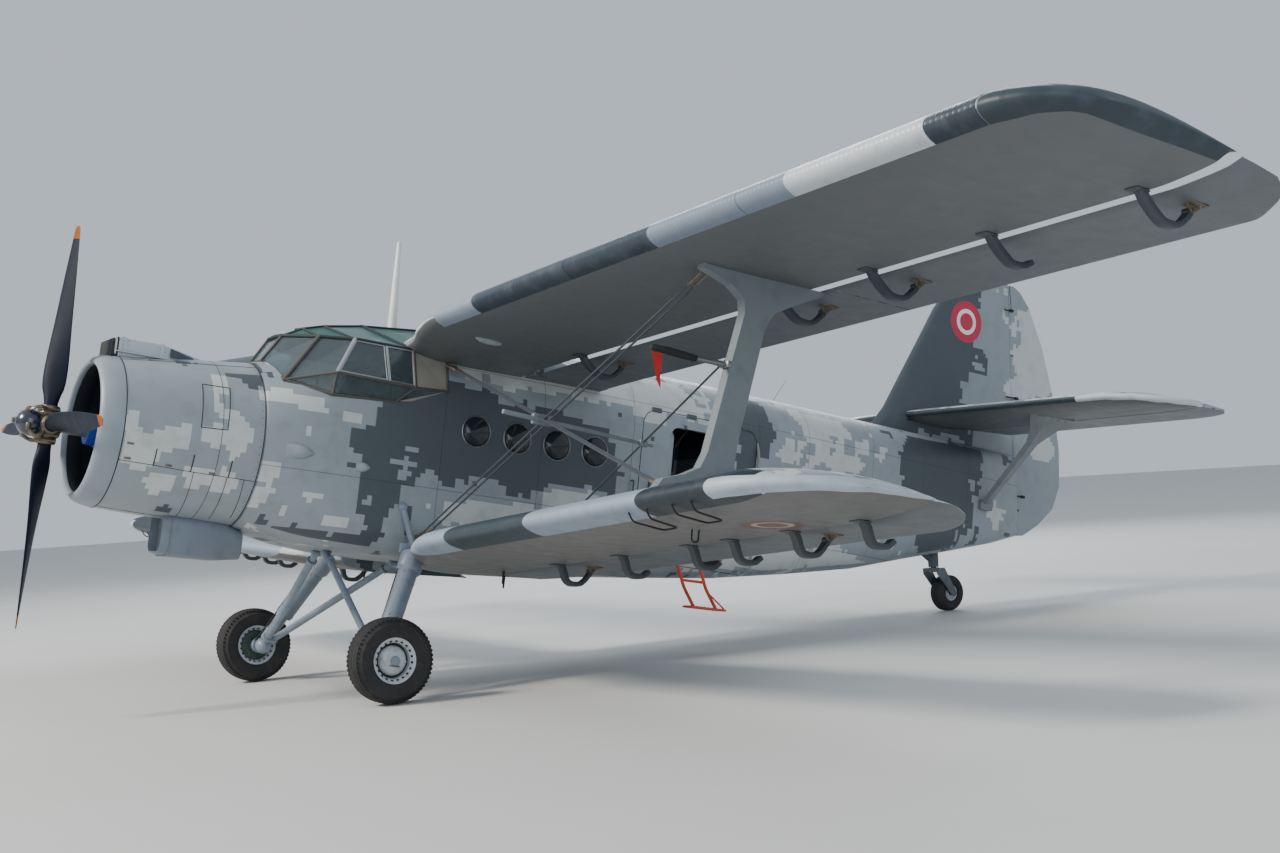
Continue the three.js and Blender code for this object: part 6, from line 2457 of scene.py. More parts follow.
@dataclass
class Canopy:
    """Framed flight deck canopy: flat panes between thin bars, with a tinted roof.

    Attributes:
        corners: the glasshouse's corners on the port side, in airframe axes.
        panes: clear panes by their corners; a small letter is the starboard twin.
        roof: tinted roof panes.
        sheets: opaque panels.
        bars: corners that a bar joins, and its radius.
        roof_bars: the same for the dark bars round the roof's panes.
        middle: a place inside, which tells in from out.
    """

    corners: dict = field(
        default_factory=lambda: {
            "A": (0.96, 0.15, 2.64), "B": (0.89, 0.655, 2.434), "C": (0.79, 0.18, 2.918),
            "D": (0.57, 0.565, 2.908), "E": (0.504, 0.945, 2.542), "F": (0.289, 0.752, 2.913),
            "G": (0.493, 0.872, 2.346), "H": (-0.125, 0.888, 2.372), "I": (-0.288, 0.95, 2.53),
            "J": (-0.646, 0.905, 2.556), "K": (-0.646, 0.8, 2.89), "L": (-0.3, 0.778, 2.915),
            "M": (0.64, 0.3, 3.0), "N": (0.435, 0.3, 3.062), "O": (0.044, 0.3, 3.136),
            "P": (-0.646, 0.3, 3.214), "Q": (0.6, 0.0, 3.036), "R": (0.044, 0.0, 3.16),
            "S": (-0.646, 0.0, 3.228), "T": (0.79, 0.0, 2.93), "X": (-0.017, 0.7655, 2.914),
            "Y": (-0.017, 0.9483, 2.536), "V": (-0.646, 0.87, 2.4),
        }
    )
    panes: tuple = ("ABDC", "BEFD", "EFXY", "XLIY", "BGE", "GEIH", "HIJ", "ACca")
    roof: tuple = ("DFNM", "FLON", "CDM", "CTQM", "MQRON", "LKPO", "ORSP")
    sheets: tuple = ("LKJI", "HJV")
    bars: tuple = (
        ("AC", 0.014), ("AB", 0.017), ("BD", 0.02), ("BE", 0.012), ("BG", 0.016), ("EI", 0.014),
        ("GH", 0.016), ("HI", 0.012), ("GE", 0.012), ("IJ", 0.012), ("LI", 0.017), ("KJ", 0.014),
        ("HV", 0.012), ("Aa", 0.017),
    )
    roof_bars: tuple = (
        ("CD", 0.018), ("DF", 0.017), ("FL", 0.016), ("LK", 0.013), ("DM", 0.012), ("CM", 0.01),
        ("MN", 0.01), ("NO", 0.01), ("OP", 0.01), ("FN", 0.01), ("LO", 0.014), ("CT", 0.018),
        ("OR", 0.014), ("NQ", 0.009),
    )
    middle: tuple = (0.1, 0.0, 2.6)

    def at(self, letter: str, side: int = 1) -> Vector:
        """Returns a corner, mirrored for starboard or for a small letter."""
        x, y, z = self.corners[letter.upper()]
        hand = -side if letter.islower() else side
        return Vector((x, y * hand, z))

    def sheet(self, shape: Shape, letters: str, side: int, shrink: float, wall: float) -> None:
        """Adds one flat panel, drawn in from its corners.

        Args:
            shape: the mesh it goes into.
            letters: its corners.
            side: 1 for port, -1 for starboard.
            shrink: how far its edges are drawn in.
            wall: its thickness.
        """
        points = [self.at(letter, side) for letter in letters]
        centre = sum(points, Vector()) / len(points)
        span = sum((p - centre).length for p in points) / len(points)
        points = [centre + (p - centre) * (1 - shrink / span) for p in points]
        normal = (points[1] - points[0]).cross(points[2] - points[1]).normalized()
        if normal.dot(centre - Vector(self.middle)) < 0:
            normal = -normal
        shape.plate([p - normal * 0.006 for p in points], -normal * wall)

    def sheets_of(self, shop: Workshop, names: Sequence[str], shrink: float, wall: float) -> Shape:
        """Returns panels on both sides; one that spans the middle is made once.

        Args:
            shop: the workshop that hangs the pieces.
            names: the panels by their corners.
            shrink: how far their edges are drawn in.
            wall: their thickness.

        Returns:
            The panels, not yet hung.
        """
        shape = Shape(shop.axes)
        for letters in names:
            self.sheet(shape, letters, 1, shrink, wall)
            if letters.isupper():
                self.sheet(shape, letters, -1, shrink, wall)
        return shape

    def bars_of(self, shop: Workshop, bars: Sequence[tuple[str, float]]) -> Shape:
        """Returns bars on both sides with a ball where they meet.

        Args:
            shop: the workshop that hangs the pieces.
            bars: the corners that each bar joins, and its radius.

        Returns:
            The bars, not yet hung.
        """
        shape = Shape(shop.axes)
        for side, _ in SIDES:
            for (first, last), radius in bars:
                start, end = self.at(first, side), self.at(last, side)
                shape.rod(start, end, radius, sides=8)
                shape.ball(end, radius, sides=8)
                shape.ball(start, radius, sides=8)
        return shape

    def sliding_frame(self, shop: Workshop) -> Shape:
        """Returns the bare metal frames of the sliding windows, with screws and a grip.

        Args:
            shop: the workshop that hangs the pieces.

        Returns:
            The frames, not yet hung.
        """
        shape = Shape(shop.axes)
        for side, _ in SIDES:
            shape.rod(self.at("E", side), self.at("F", side), 0.019, sides=10)
            shape.rod(self.at("X", side), self.at("Y", side), 0.008, sides=8)
            for letters in ("EFXY", "XLIY"):
                points = [self.at(letter, side) for letter in letters]
                centre = sum(points, Vector()) / 4
                points = [centre + (p - centre) * 0.9 for p in points]
                shape.tube([*points, points[0]], 0.0075, 6)
                for start, end in zip(points, [*points[1:], points[0]]):
                    for k in range(1, 6):
                        shape.ball(start.lerp(end, k / 6) + Vector((0, side * 0.007, 0)), 0.0035, sides=6)
        return shape

    def build(self, shop: Workshop, paints: dict[str, Finish]) -> None:
        """Builds panes, roof, panels and bars.

        Args:
            shop: the workshop that hangs the pieces.
            paints: the finishes by name.
        """
        panes = self.sheets_of(shop, self.panes, 0.012, 0.005)
        shop.hang(panes, "canopy_panes", "airframe", paints["glass"], ("canopy_glass",), 20)
        roof = self.sheets_of(shop, self.roof, 0.004, 0.006)
        shop.hang(roof, "canopy_roof_panes", "airframe", paints["roof_glass"], crease=20)
        sheets = self.sheets_of(shop, self.sheets, 0.0, 0.02)
        # The rear panels' warm grey is taken a little darker as painted shade.
        shop.hang(sheets, "canopy_rear_panels", "airframe", paints["beige"], crease=20)
        bars = self.bars_of(shop, self.bars)
        shop.hang(bars, "canopy_bars", "airframe", paints["canopy"], ("canopy_frame",), 50)
        edges = self.bars_of(shop, self.roof_bars)
        shop.hang(edges, "canopy_roof_bars", "airframe", paints["sealant"], crease=50)
        shop.hang(self.sliding_frame(shop), "sliding_window_frames", "airframe", paints["canopy_metal"])
# Rigging, aerials, probes and small fittings


@dataclass
class Rigging:
    """Streamlined bracing between the wings, with its forks and its spreader bar.

    Attributes:
        wires: both ends of each run in airframe axes on the port side, and what sets the wires
            of the run apart from it along X.
        radius: of a wire.
        bar: both ends of the bar that joins the front wires to the rear one.
    """

    wires: tuple = (
        ((-0.53, 0.905, 1.15), (-0.53, 5.23, 3.06), (-0.03, 0.03)),
        ((-0.65, 0.905, 2.8), (-0.33, 5.23, 1.43), (-0.03, 0.03)),
        ((-1.7, 0.905, 1.09), (-1.33, 5.23, 3.05), (0.0,)),
    )
    radius: float = 0.009
    bar: tuple = ((-0.12, 3.05, 2.116), (-1.62, 3.05, 2.052))

    def build(self, shop: Workshop, side: int, tag: str, paints: dict[str, Finish]) -> None:
        """Builds wires, forks and bars on one side.

        Args:
            shop: the workshop that hangs the pieces.
            side: 1 for port, -1 for starboard.
            tag: L or R, which ends the pieces' names.
            paints: the finishes by name.
        """
        wires, forks = Shape(shop.axes), Shape(shop.axes)
        for foot, head, shifts in self.wires:
            start = Vector((foot[0], side * foot[1], foot[2]))
            end = Vector((head[0], side * head[1], head[2]))
            way = (end - start).normalized()
            for shift in shifts:
                offset = Vector((shift, 0, 0))
                wires.rod(start + offset, end + offset, self.radius, sides=8)
                for place, hand in ((start, 1), (end, -1)):
                    near = place + offset + way * hand * 0.02
                    forks.rod(near, near + way * hand * 0.16, 0.013, sides=10, soft=0.002)
                    forks.rod(near + way * hand * 0.16, near + way * hand * 0.19, 0.017, 0.009, sides=6)
            for place in (start, end):
                forks.rod(
                    place - Vector((0.055, 0, 0)), place + Vector((0.055, 0, 0)), 0.018, sides=12,
                    soft=0.003,
                )
        shop.hang(wires, f"bracing_wires_{tag}", "airframe", paints["wire"], (f"bracing_{tag}",))
        spreader = Shape(shop.axes)
        front, rear = (Vector((x, side * y, z)) for x, y, z in self.bar)
        spreader.rod(front, rear, 0.021, 0.016, sides=14, soft=0.004)
        spreader.block((-0.51, side * 3.025, 2.107), (0.19, 0.05, 0.09), soft=0.008)
        spreader.block(rear.lerp(front, 0.07), (0.08, 0.05, 0.06), soft=0.008)
        shop.hang(spreader, f"spreader_bars_{tag}", "airframe", paints["arm"])
        shop.hang(forks, f"bracing_forks_{tag}", "airframe", paints["steel"])


@dataclass
class Outside:
    """Aerials, probe, fairings, handles and lamps on the airframe.

    Attributes:
        shell: faces of the fuselage.
        probe_y: how far out the pitot probe is.
        tab_rods: both ends of each rod on the rudder's port side, the horn at the second one.
    """

    shell: Shell
    probe_y: float = 5.28
    tab_rods: tuple = (
        ((-8.68, 0.075, 5.04), (-8.79, 0.095, 5.043)),
        ((-8.82, 0.075, 3.937), (-8.97, 0.095, 3.936)),
        ((-9.06, 0.075, 2.703), (-9.19, 0.095, 2.704)),
    )

    def aerials(self, shop: Workshop, paints: dict[str, Finish]) -> None:
        """Builds the white whip mast, the wire aerials and the dorsal grips.

        Args:
            shop: the workshop that hangs the pieces.
            paints: the finishes by name.
        """
        mast = Shape(shop.axes)
        foot, top = Vector((-0.397, 0, 3.2)), Vector((-0.369, 0, 4.109))
        mast.tube(
            [foot.lerp(top, k / 6) for k in range(7)], [0.052, 0.048, 0.044, 0.039, 0.034, 0.029, 0.023],
            16, 0.9,
        )
        mast.rod(foot - Vector((0, 0, 0.02)), foot + Vector((0, 0, 0.03)), 0.075, 0.056, 20)
        shop.hang(mast, "whip_mast", "airframe", paints["white"])
        wires = Shape(shop.axes)
        wires.rod((-5.136, 0, 3.2), (-5.357, 0, 3.561), 0.004, 0.0025, 6)
        wires.rod((-5.13, 0, 3.15), (-5.14, 0, 3.22), 0.014, 0.006, 10)
        for x in (-5.8, -6.38):
            grip = [(x, 0.1, 3.13), (x, 0.1, 3.215), (x - 0.22, 0.1, 3.205), (x - 0.22, 0.1, 3.12)]
            wires.tube(bent(grip, 0.03), 0.007, 8)
        shop.hang(wires, "dorsal_whip_and_grips", "airframe", paints["slate"])

    def probe(self, shop: Workshop, paints: dict[str, Finish]) -> None:
        """Builds the pitot probe on the port strut, with its black cover.

        Args:
            shop: the workshop that hangs the pieces.
            paints: the finishes by name.
        """
        y = self.probe_y
        shape = Shape(shop.axes)
        shape.tube([(-0.732, y, 2.391), (-0.6, y, 2.39), (-0.43, y, 2.39)], [0.026, 0.02, 0.016], 14)
        shape.block((-0.74, y, 2.391), (0.04, 0.1, 0.05), soft=0.006)
        shop.hang(shape, "pitot_probe", "airframe", paints["steel_clean"])
        cover = Shape(shop.axes)
        places = ((-0.47, 2.39), (-0.36, 2.394), (-0.22, 2.402), (-0.1, 2.405), (-0.074, 2.404))
        route = [(x, y, z) for x, z in places]
        cover.tube(route, [0.024, 0.03, 0.029, 0.025, 0.012], 14)
        cover.tube(arc_around((-0.44, y, 2.391), 0.026), 0.005, 6)
        shop.hang(cover, "pitot_cover", "airframe", paints["black"])

    def pennant(self, shop: Workshop, paints: dict[str, Finish]) -> None:
        """Builds the red warning pennant that hangs from the cover, tapered to a point.

        Args:
            shop: the workshop that hangs the pieces.
            paints: the finishes by name.
        """
        wide, long, tip = 0.1, 0.262, 0.06
        shape = Shape(shop.axes)
        bmesh.ops.create_grid(shape.mesh, x_segments=6, y_segments=18, size=0.5)
        for vert in shape.mesh.verts:
            down = 0.5 - vert.co.y
            reach = lerp(wide, wide * tip, down)
            swing = 0.011 * math.sin(7.5 * down) * down + 0.004 * math.sin(16 * down + 3 * vert.co.x)
            x = -0.126 - 0.055 * down - vert.co.x * reach
            vert.co = Vector((x, self.probe_y + swing, 2.374 - long * down))
        piece = shop.hang(shape, "red_pennant", "airframe", paints["pennant"], outward=False)

    def blisters(self, shop: Workshop, paints: dict[str, Finish]) -> None:
        """Builds the teardrop fairings on the sides.

        Args:
            shop: the workshop that hangs the pieces.
            paints: the finishes by name.
        """
        shape = Shape(shop.axes)
        for hand in (1, -1):
            for x, z, long, tall in (
                (0.72, 1.78, 0.26, 0.07), (0.12, 1.72, 0.14, 0.05), (0.55, 0.98, 0.16, 0.045),
            ):
                found = self.shell.side(shop, x, z, hand)
                if not found:
                    continue
                axes = set_on(*found)
                rings = []
                for k in range(9):
                    t = k / 8
                    swell = 0.55 + 0.45 * math.sin(math.pi * min(1, t * 1.4) * 0.5)
                    rounded = math.sqrt(max(0.02, 1 - (1 - t) ** 6 * 0.9))
                    wide = tall * swell * rounded * (1 - 0.75 * max(0, 0.3 - t))
                    high = 0.045 * math.sin(math.pi * (0.08 + 0.9 * t**0.8))
                    angles = [TURN * j / 16 for j in range(16)]
                    section = [(wide * math.cos(a), max(-0.01, high * math.sin(a))) for a in angles]
                    rings.append([axes @ Vector((long * (t - 0.5), y, z)) for y, z in section])
                shape.loft(rings)
        shop.hang(shape, "side_blisters", "airframe", paints["mid"])

    def wing_parts(
        self, shop: Workshop, upper: WingPanel, lower: WingPanel, side: int, tag: str,
        paints: dict[str, Finish],
    ) -> None:
        """Builds lamps, fairings, loops, rings and drains on the wings.

        Args:
            shop: the workshop that hangs the pieces.
            upper: the upper wing.
            lower: the lower wing.
            side: 1 for port, -1 for starboard.
            tag: L or R, which ends the pieces' names.
            paints: the finishes by name.
        """
        high, low = Shape(upper.axes(shop, side)), Shape(lower.axes(shop, side))
        fairing_x, fairing_y = -0.55, 1.9
        place = (fairing_x, side * fairing_y, upper.under(fairing_y, fairing_x))
        high.ball(place, 0.05, (2.8, 1, 0.7), 18)
        front, back = -0.07, -0.36
        for y in (5.45, 5.98):
            loop = [
                (front, side * (y - 0.11), lower.under(y, front)),
                (front - 0.04, side * (y - 0.11), lower.under(y, front) - 0.06),
                (back, side * (y - 0.09), lower.under(y, back) - 0.05),
                (back, side * (y + 0.09), lower.under(y, back) - 0.05),
                (front - 0.04, side * (y + 0.11), lower.under(y, front) - 0.06),
                (front, side * (y + 0.11), lower.under(y, front)),
            ]
            low.tube(bent(loop, 0.035, 4), 0.007, 8)
        ring_y = 5.28
        under = lower.under(ring_y, -0.7)
        corners = ((-0.72, 0.0), (-0.72, 0.09), (-0.66, 0.09), (-0.66, 0.0))
        ring = [(x, side * ring_y, under - drop) for x, drop in corners]
        low.tube(bent(ring, 0.03, 5), 0.0065, 8)
        for x, y in ((-1.5, 0.98), (-1.18, 1.55)):
            top = lower.under(y, x)
            low.rod((x, side * y, top), (x, side * y, top - 0.12), 0.012, 0.009, 8)
        shop.hang(high, f"upper_wing_fittings_{tag}", "airframe", paints["mid"])
        shop.hang(low, f"lower_wing_loops_{tag}", "airframe", paints["black"])
        lamp, tip = Shape(upper.axes(shop, side)), upper.section(8.93)
        lamp.ball((tip.nose - 0.35, side * 9.015, tip.z + 0.02), 0.035, (2.2, 0.8, 0.8), 18)
        shop.hang(lamp, f"tip_lamp_{tag}", "airframe", paints["red" if side > 0 else "green"])

    def tail_parts(self, shop: Workshop, paints: dict[str, Finish]) -> None:
        """Builds the bolted heads of the tail struts and the rods of the rudder's tabs.

        Args:
            shop: the workshop that hangs the pieces.
            paints: the finishes by name.
        """
        heads = Shape(shop.axes)
        for side, _ in SIDES:
            heads.block((-7.83, side * 1.8, 3.386), (0.62, 0.12, 0.03), soft=0.008)
            heads.block((-8.34, side * 0.3, 2.48), (0.2, 0.08, 0.12), soft=0.012)
            heads.bolts([(-7.6 - 0.115 * k, side * 1.8, 3.371) for k in range(5)], (0, 0, -1), 0.011, 0.01)
        shop.hang(heads, "tail_strut_heads", "airframe", paints["arm"])
        rods = Shape(shop.axes)
        for front, back in self.tab_rods:
            rods.rod(front, back, 0.009, sides=8)
            rods.block(back, (0.06, 0.03, 0.035), soft=0.006)
        rods.rod(self.tab_rods[0][1], (-8.74, 0.08, 5.36), 0.005, sides=6)
        shop.hang(rods, "rudder_tab_rods", "rudder", paints["black"])

    def build(self, shop: Workshop, upper: WingPanel, lower: WingPanel, paints: dict[str, Finish]) -> None:
        """Builds everything outside.

        Args:
            shop: the workshop that hangs the pieces.
            upper: the upper wing.
            lower: the lower wing.
            paints: the finishes by name.
        """
        self.aerials(shop, paints)
        self.probe(shop, paints)
        self.pennant(shop, paints)
        self.blisters(shop, paints)
        self.tail_parts(shop, paints)
        for side, tag in SIDES:
            self.wing_parts(shop, upper, lower, side, tag, paints)


def arc_around(centre: Point, radius: float) -> list[tuple]:
    """Returns a closed ring of points about a line along X.

    Args:
        centre: its middle.
        radius: its radius.

    Returns:
        The points, the first again at the end.
    """
    x, y, z = centre
    angles = [TURN * k / 16 for k in range(17)]
    return [(x, y + radius * math.cos(a), z + radius * math.sin(a)) for a in angles]


@dataclass
class Ladder:
    """Boarding ladder hooked in the doorway: two bent legs, a rung and a wide tread.

    Attributes:
        rails: X of the legs.
    """

    rails: tuple = (-3.47, -3.75)

    def build(self, shop: Workshop, paints: dict[str, Finish]) -> None:
        """Builds the ladder.

        Args:
            shop: the workshop that hangs the pieces.
            paints: the finishes by name.
        """
        shape = Shape(shop.axes)
        for x, way in zip(self.rails, (1, -1)):
            route = [(x, 0.78, 1.262), (x, 0.9, 1.2), (x, 1.02, 1.0), (x, 1.235, 0.79)]
            shape.tube(bent(route, 0.06, 4), 0.017, 12)
            shape.block((x, 0.79, 1.264), (0.05, 0.09, 0.012), soft=0.002)
            shape.rod((x, 1.07, 0.955), (x + 0.05 * way, 1.3, 0.8), 0.009, sides=8)
        shape.rod((self.rails[0], 0.985, 1.06), (self.rails[1], 0.985, 1.06), 0.015, sides=12)
        shape.plate(
            [(-3.4, 1.135, 0.774), (-3.4, 1.325, 0.774), (-3.82, 1.325, 0.774), (-3.82, 1.135, 0.774)],
            (0, 0, 0.02), 0.004,
        )
        for k in range(9):
            shape.rod((-3.42 - 0.0475 * k, 1.145, 0.795), (-3.42 - 0.0475 * k, 1.315, 0.795), 0.004, sides=6)
        shop.hang(shape, "ladder_frame", "airframe", paints["ladder"], ("boarding_ladder",))
# Inside of the cabin and the flight deck


def cushion(shape: Shape, centre: Point, size: Point, turn: Matrix | None = None, crown: float = 0.3) -> None:
    """Adds a stuffed cushion whose faces crown and whose sides pull in between the corners.

    Args:
        shape: the mesh it goes into.
        centre: its middle.
        size: its sizes along X, Y and Z.
        turn: how it is turned about its middle.
        crown: how far the faces bulge, as a share of the thickness.
    """
    known = set(shape.mesh.verts)
    bmesh.ops.create_cube(shape.mesh, size=2)
    edges = [e for e in shape.mesh.edges if e.verts[0] not in known]
    bmesh.ops.subdivide_edges(shape.mesh, edges=edges, cuts=9, use_grid_fill=True)
    fresh = shape.added(known)
    flat = min(range(3), key=lambda k: size[k])
    across = [k for k in range(3) if k != flat]
    for vert in fresh:
        place = vert.co.copy()
        u, v = place[across[0]], place[across[1]]
        rise = place[flat]
        full = (1 - u**4) * (1 - v**4)
        vert.co[flat] = rise * (0.62 + crown * full + 0.08 * (1 - u**2) * (1 - v**2))
        vert.co[across[0]] = u * (0.985 - 0.03 * (1 - v**2) - 0.05 * rise**2)
        vert.co[across[1]] = v * (0.985 - 0.03 * (1 - u**2) - 0.05 * rise**2)
    place = Matrix.Translation(centre) @ (turn or Matrix()) @ Matrix.Diagonal((*(s / 2 for s in size), 1))
    bmesh.ops.transform(shape.mesh, matrix=place, verts=fresh)


@dataclass
class FlightDeck:
    """Pilots' seats, instrument panel and controls, in airframe axes.

    Attributes:
        seat_y: how far each seat is from the middle.
    """

    seat_y: float = 0.4

    def seats(self, shop: Workshop, side: int, tag: str, paints: dict[str, Finish]) -> None:
        """Builds one padded seat with its frame and belts.

        Args:
            shop: the workshop that hangs the pieces.
            side: 1 for port, -1 for starboard.
            tag: L or R, which ends the pieces' names.
            paints: the finishes by name.
        """
        y = side * self.seat_y
        lean = Matrix.Rotation(math.radians(-7), 4, "Y")
        pads = Shape(shop.axes)
        cushion(pads, (-0.125, y, 1.875), (0.4, 0.42, 0.1))
        cushion(pads, (-0.355, y, 2.2), (0.09, 0.42, 0.56), lean)
        cushion(pads, (-0.39, y, 2.53), (0.08, 0.26, 0.14), lean)
        piece = shop.hang(
            pads, f"pilot_cushions_{tag}", "airframe", paints["seat"], (f"pilot_seat_{tag}",), 60,
        )
        frame = Shape(shop.axes)
        frame.block((-0.125, y, 1.822), (0.42, 0.44, 0.014), soft=0.005)
        for hand in (1, -1):
            rail = [
                (0.06, y + hand * 0.19, 1.545), (0.06, y + hand * 0.19, 1.8), (-0.36, y + hand * 0.19, 1.8),
                (-0.42, y + hand * 0.19, 2.48),
            ]
            frame.tube(bent(rail, 0.05), 0.013, 10)
            frame.rod((-0.32, y + hand * 0.19, 1.8), (-0.32, y + hand * 0.19, 1.545), 0.013, sides=10)
            frame.tube(bent([(-0.36, y + hand * 0.24, 1.96), (0.02, y + hand * 0.24, 2.0)], 0.02), 0.014, 8)
            frame.rod((-0.36, y + hand * 0.19, 1.96), (-0.36, y + hand * 0.24, 1.96), 0.012, sides=8)
        frame.rod((-0.42, y - 0.19, 2.44), (-0.42, y + 0.19, 2.44), 0.012, sides=10)
        shop.hang(frame, f"pilot_seat_frame_{tag}", "airframe", paints["trim"])
        straps = Shape(shop.axes)
        for hand in (1, -1):
            straps.plate(
                [
                    (-0.3, y + hand * 0.06, 2.47), (-0.3, y + hand * 0.1, 2.47),
                    (-0.295, y + hand * 0.1, 2.0), (-0.295, y + hand * 0.06, 2.0),
                ],
                (0.003, 0, 0),
            )
        shop.hang(straps, f"pilot_straps_{tag}", "airframe", paints["panel"])

    def controls(self, shop: Workshop, paints: dict[str, Finish]) -> None:
        """Builds columns, wheels, pedals and the throttle quadrant.

        Args:
            shop: the workshop that hangs the pieces.
            paints: the finishes by name.
        """
        shape = Shape(shop.axes)
        for side, _ in SIDES:
            y = side * self.seat_y
            shape.tube(bent([(0.42, y, 1.55), (0.36, y, 1.9), (0.24, y, 2.12)], 0.08), 0.019, 12)
            shape.rod((0.22, y, 2.12), (0.26, y, 2.12), 0.03, sides=12, soft=0.003)
            horn = [
                (0.21, y + 0.15 * math.cos(a), 2.13 + 0.15 * math.sin(a))
                for a in (math.radians(d) for d in range(-230, 51, 20))
            ]
            shape.tube(horn, 0.013, 10)
            shape.rod((0.21, y - 0.14, 2.13), (0.21, y + 0.14, 2.13), 0.01, sides=8)
            for hand in (1, -1):
                shape.rod((0.5, y + hand * 0.1, 1.56), (0.56, y + hand * 0.1, 1.74), 0.012, sides=8)
                shape.block((0.555, y + hand * 0.1, 1.74), (0.03, 0.09, 0.12), soft=0.005)
        shape.block((0.4, 0, 1.92), (0.16, 0.16, 0.24), soft=0.02)
        for k in range(4):
            y = -0.05 + 0.033 * k
            shape.rod((0.36, y, 2.03), (0.29, y, 2.15), 0.006, sides=8)
            shape.ball((0.285, y, 2.16), 0.014, sides=10)
        shop.hang(shape, "controls", "airframe", paints["panel"])

    def board(self, shop: Workshop, paints: dict[str, Finish]) -> None:
        """Builds the instrument panel, its hood and its blank dials.

        Args:
            shop: the workshop that hangs the pieces.
            paints: the finishes by name.
        """
        panel = Shape(shop.axes)
        outline = [
            (0.625, -0.6, 2.065), (0.6, -0.6, 2.42), (0.695, -0.6, 2.465), (0.755, -0.6, 2.42),
            (0.7, -0.6, 2.065),
        ]
        panel.plate(outline, (0, 1.2, 0), 0.008)
        shop.hang(panel, "panel_case", "airframe", paints["panel"], ("instrument_panel",))
        dials, rims = Shape(shop.axes), Shape(shop.axes)
        for column in range(9):
            for row in range(3):
                y = -0.52 + 0.13 * column
                z = 2.13 + 0.105 * row
                x = lerp(0.625, 0.6, (z - 2.065) / 0.355)
                radius = 0.036 if (column + row) % 3 else 0.045
                bore = radius - 0.006
                bezel = [(bore, 0), (radius, 0), (radius, 0.012), (bore, 0.012), (bore, 0)]
                rims.turned(bezel, (x, y, z), (-9, y, z), 20)
                dials.rod((x, y, z), (x - 0.006, y, z), radius - 0.005, sides=20)
        shop.hang(dials, "panel_dials", "airframe", paints["dial"])
        shop.hang(rims, "panel_bezels", "airframe", paints["canopy_metal"])

    def build(self, shop: Workshop, paints: dict[str, Finish]) -> None:
        """Builds everything on the flight deck.

        Args:
            shop: the workshop that hangs the pieces.
            paints: the finishes by name.
        """
        for side, tag in SIDES:
            self.seats(shop, side, tag, paints)
        self.controls(shop, paints)
        self.board(shop, paints)


@dataclass
class Cabin:
    """Frames, stringers, benches and floor ribs of the cabin, in airframe axes.

    Attributes:
        front: X of the front bulkhead.
        floor: height of the floor.
        half: half width inside the wall.
    """

    front: float = -0.7
    floor: float = 1.226
    half: float = 0.858

    def build(self, shop: Workshop, paints: dict[str, Finish]) -> None:
        """Builds the floor with its ribs, the frames and the benches.

        Args:
            shop: the workshop that hangs the pieces.
            paints: the finishes by name.
        """
        shop.skin("cabin_floor_skin", "floor_and_bulkhead", "airframe", paints["trim"], 30)
        ribs = Shape(shop.axes)
        for x in (-0.78, -1.22, -1.67, -2.11, -2.56, -4.42):
            for hand in (1, -1):
                y = hand * self.half
                route = [(x, y, self.floor + 0.03), (x, y, 2.62), (x, hand * 0.5, 2.92), (x, 0, 2.98)]
                ribs.tube(bent(route, 0.2, 4), 0.016, 6)
        for z, end in ((1.55, -2.85), (1.85, -2.85), (2.58, -2.6)):
            for hand in (1, -1):
                y = hand * self.half
                ribs.rod((self.front, y, z), (end, y, z), 0.011, sides=6)
        for k in range(12):
            x = self.front - 0.15 - 0.3 * k
            ribs.block((x, 0, self.floor + 0.006), (0.02, 1.2, 0.008))
        shop.hang(ribs, "cabin_frames", "airframe", paints["lining"])
        for side, tag in SIDES:
            bench, legs = Shape(shop.axes), Shape(shop.axes)
            places = [-0.98 - 0.46 * k for k in range(4)]
            for x in places:
                cushion(bench, (x, side * 0.655, 1.66), (0.42, 0.36, 0.06))
            for x in (places[0] + 0.2, -1.67, places[-1] - 0.2):
                legs.rod((x, side * 0.5, self.floor + 0.01), (x, side * 0.5, 1.63), 0.011, sides=8)
            for y in (0.49, 0.83):
                ends = [(x, side * y, 1.63) for x in (places[0] + 0.21, places[-1] - 0.21)]
                legs.tube(ends, 0.012, 8)
            piece = shop.hang(bench, f"cabin_benches_{tag}", "airframe", paints["seat"], crease=60)
            shop.hang(legs, f"cabin_bench_frames_{tag}", "airframe", paints["trim"])


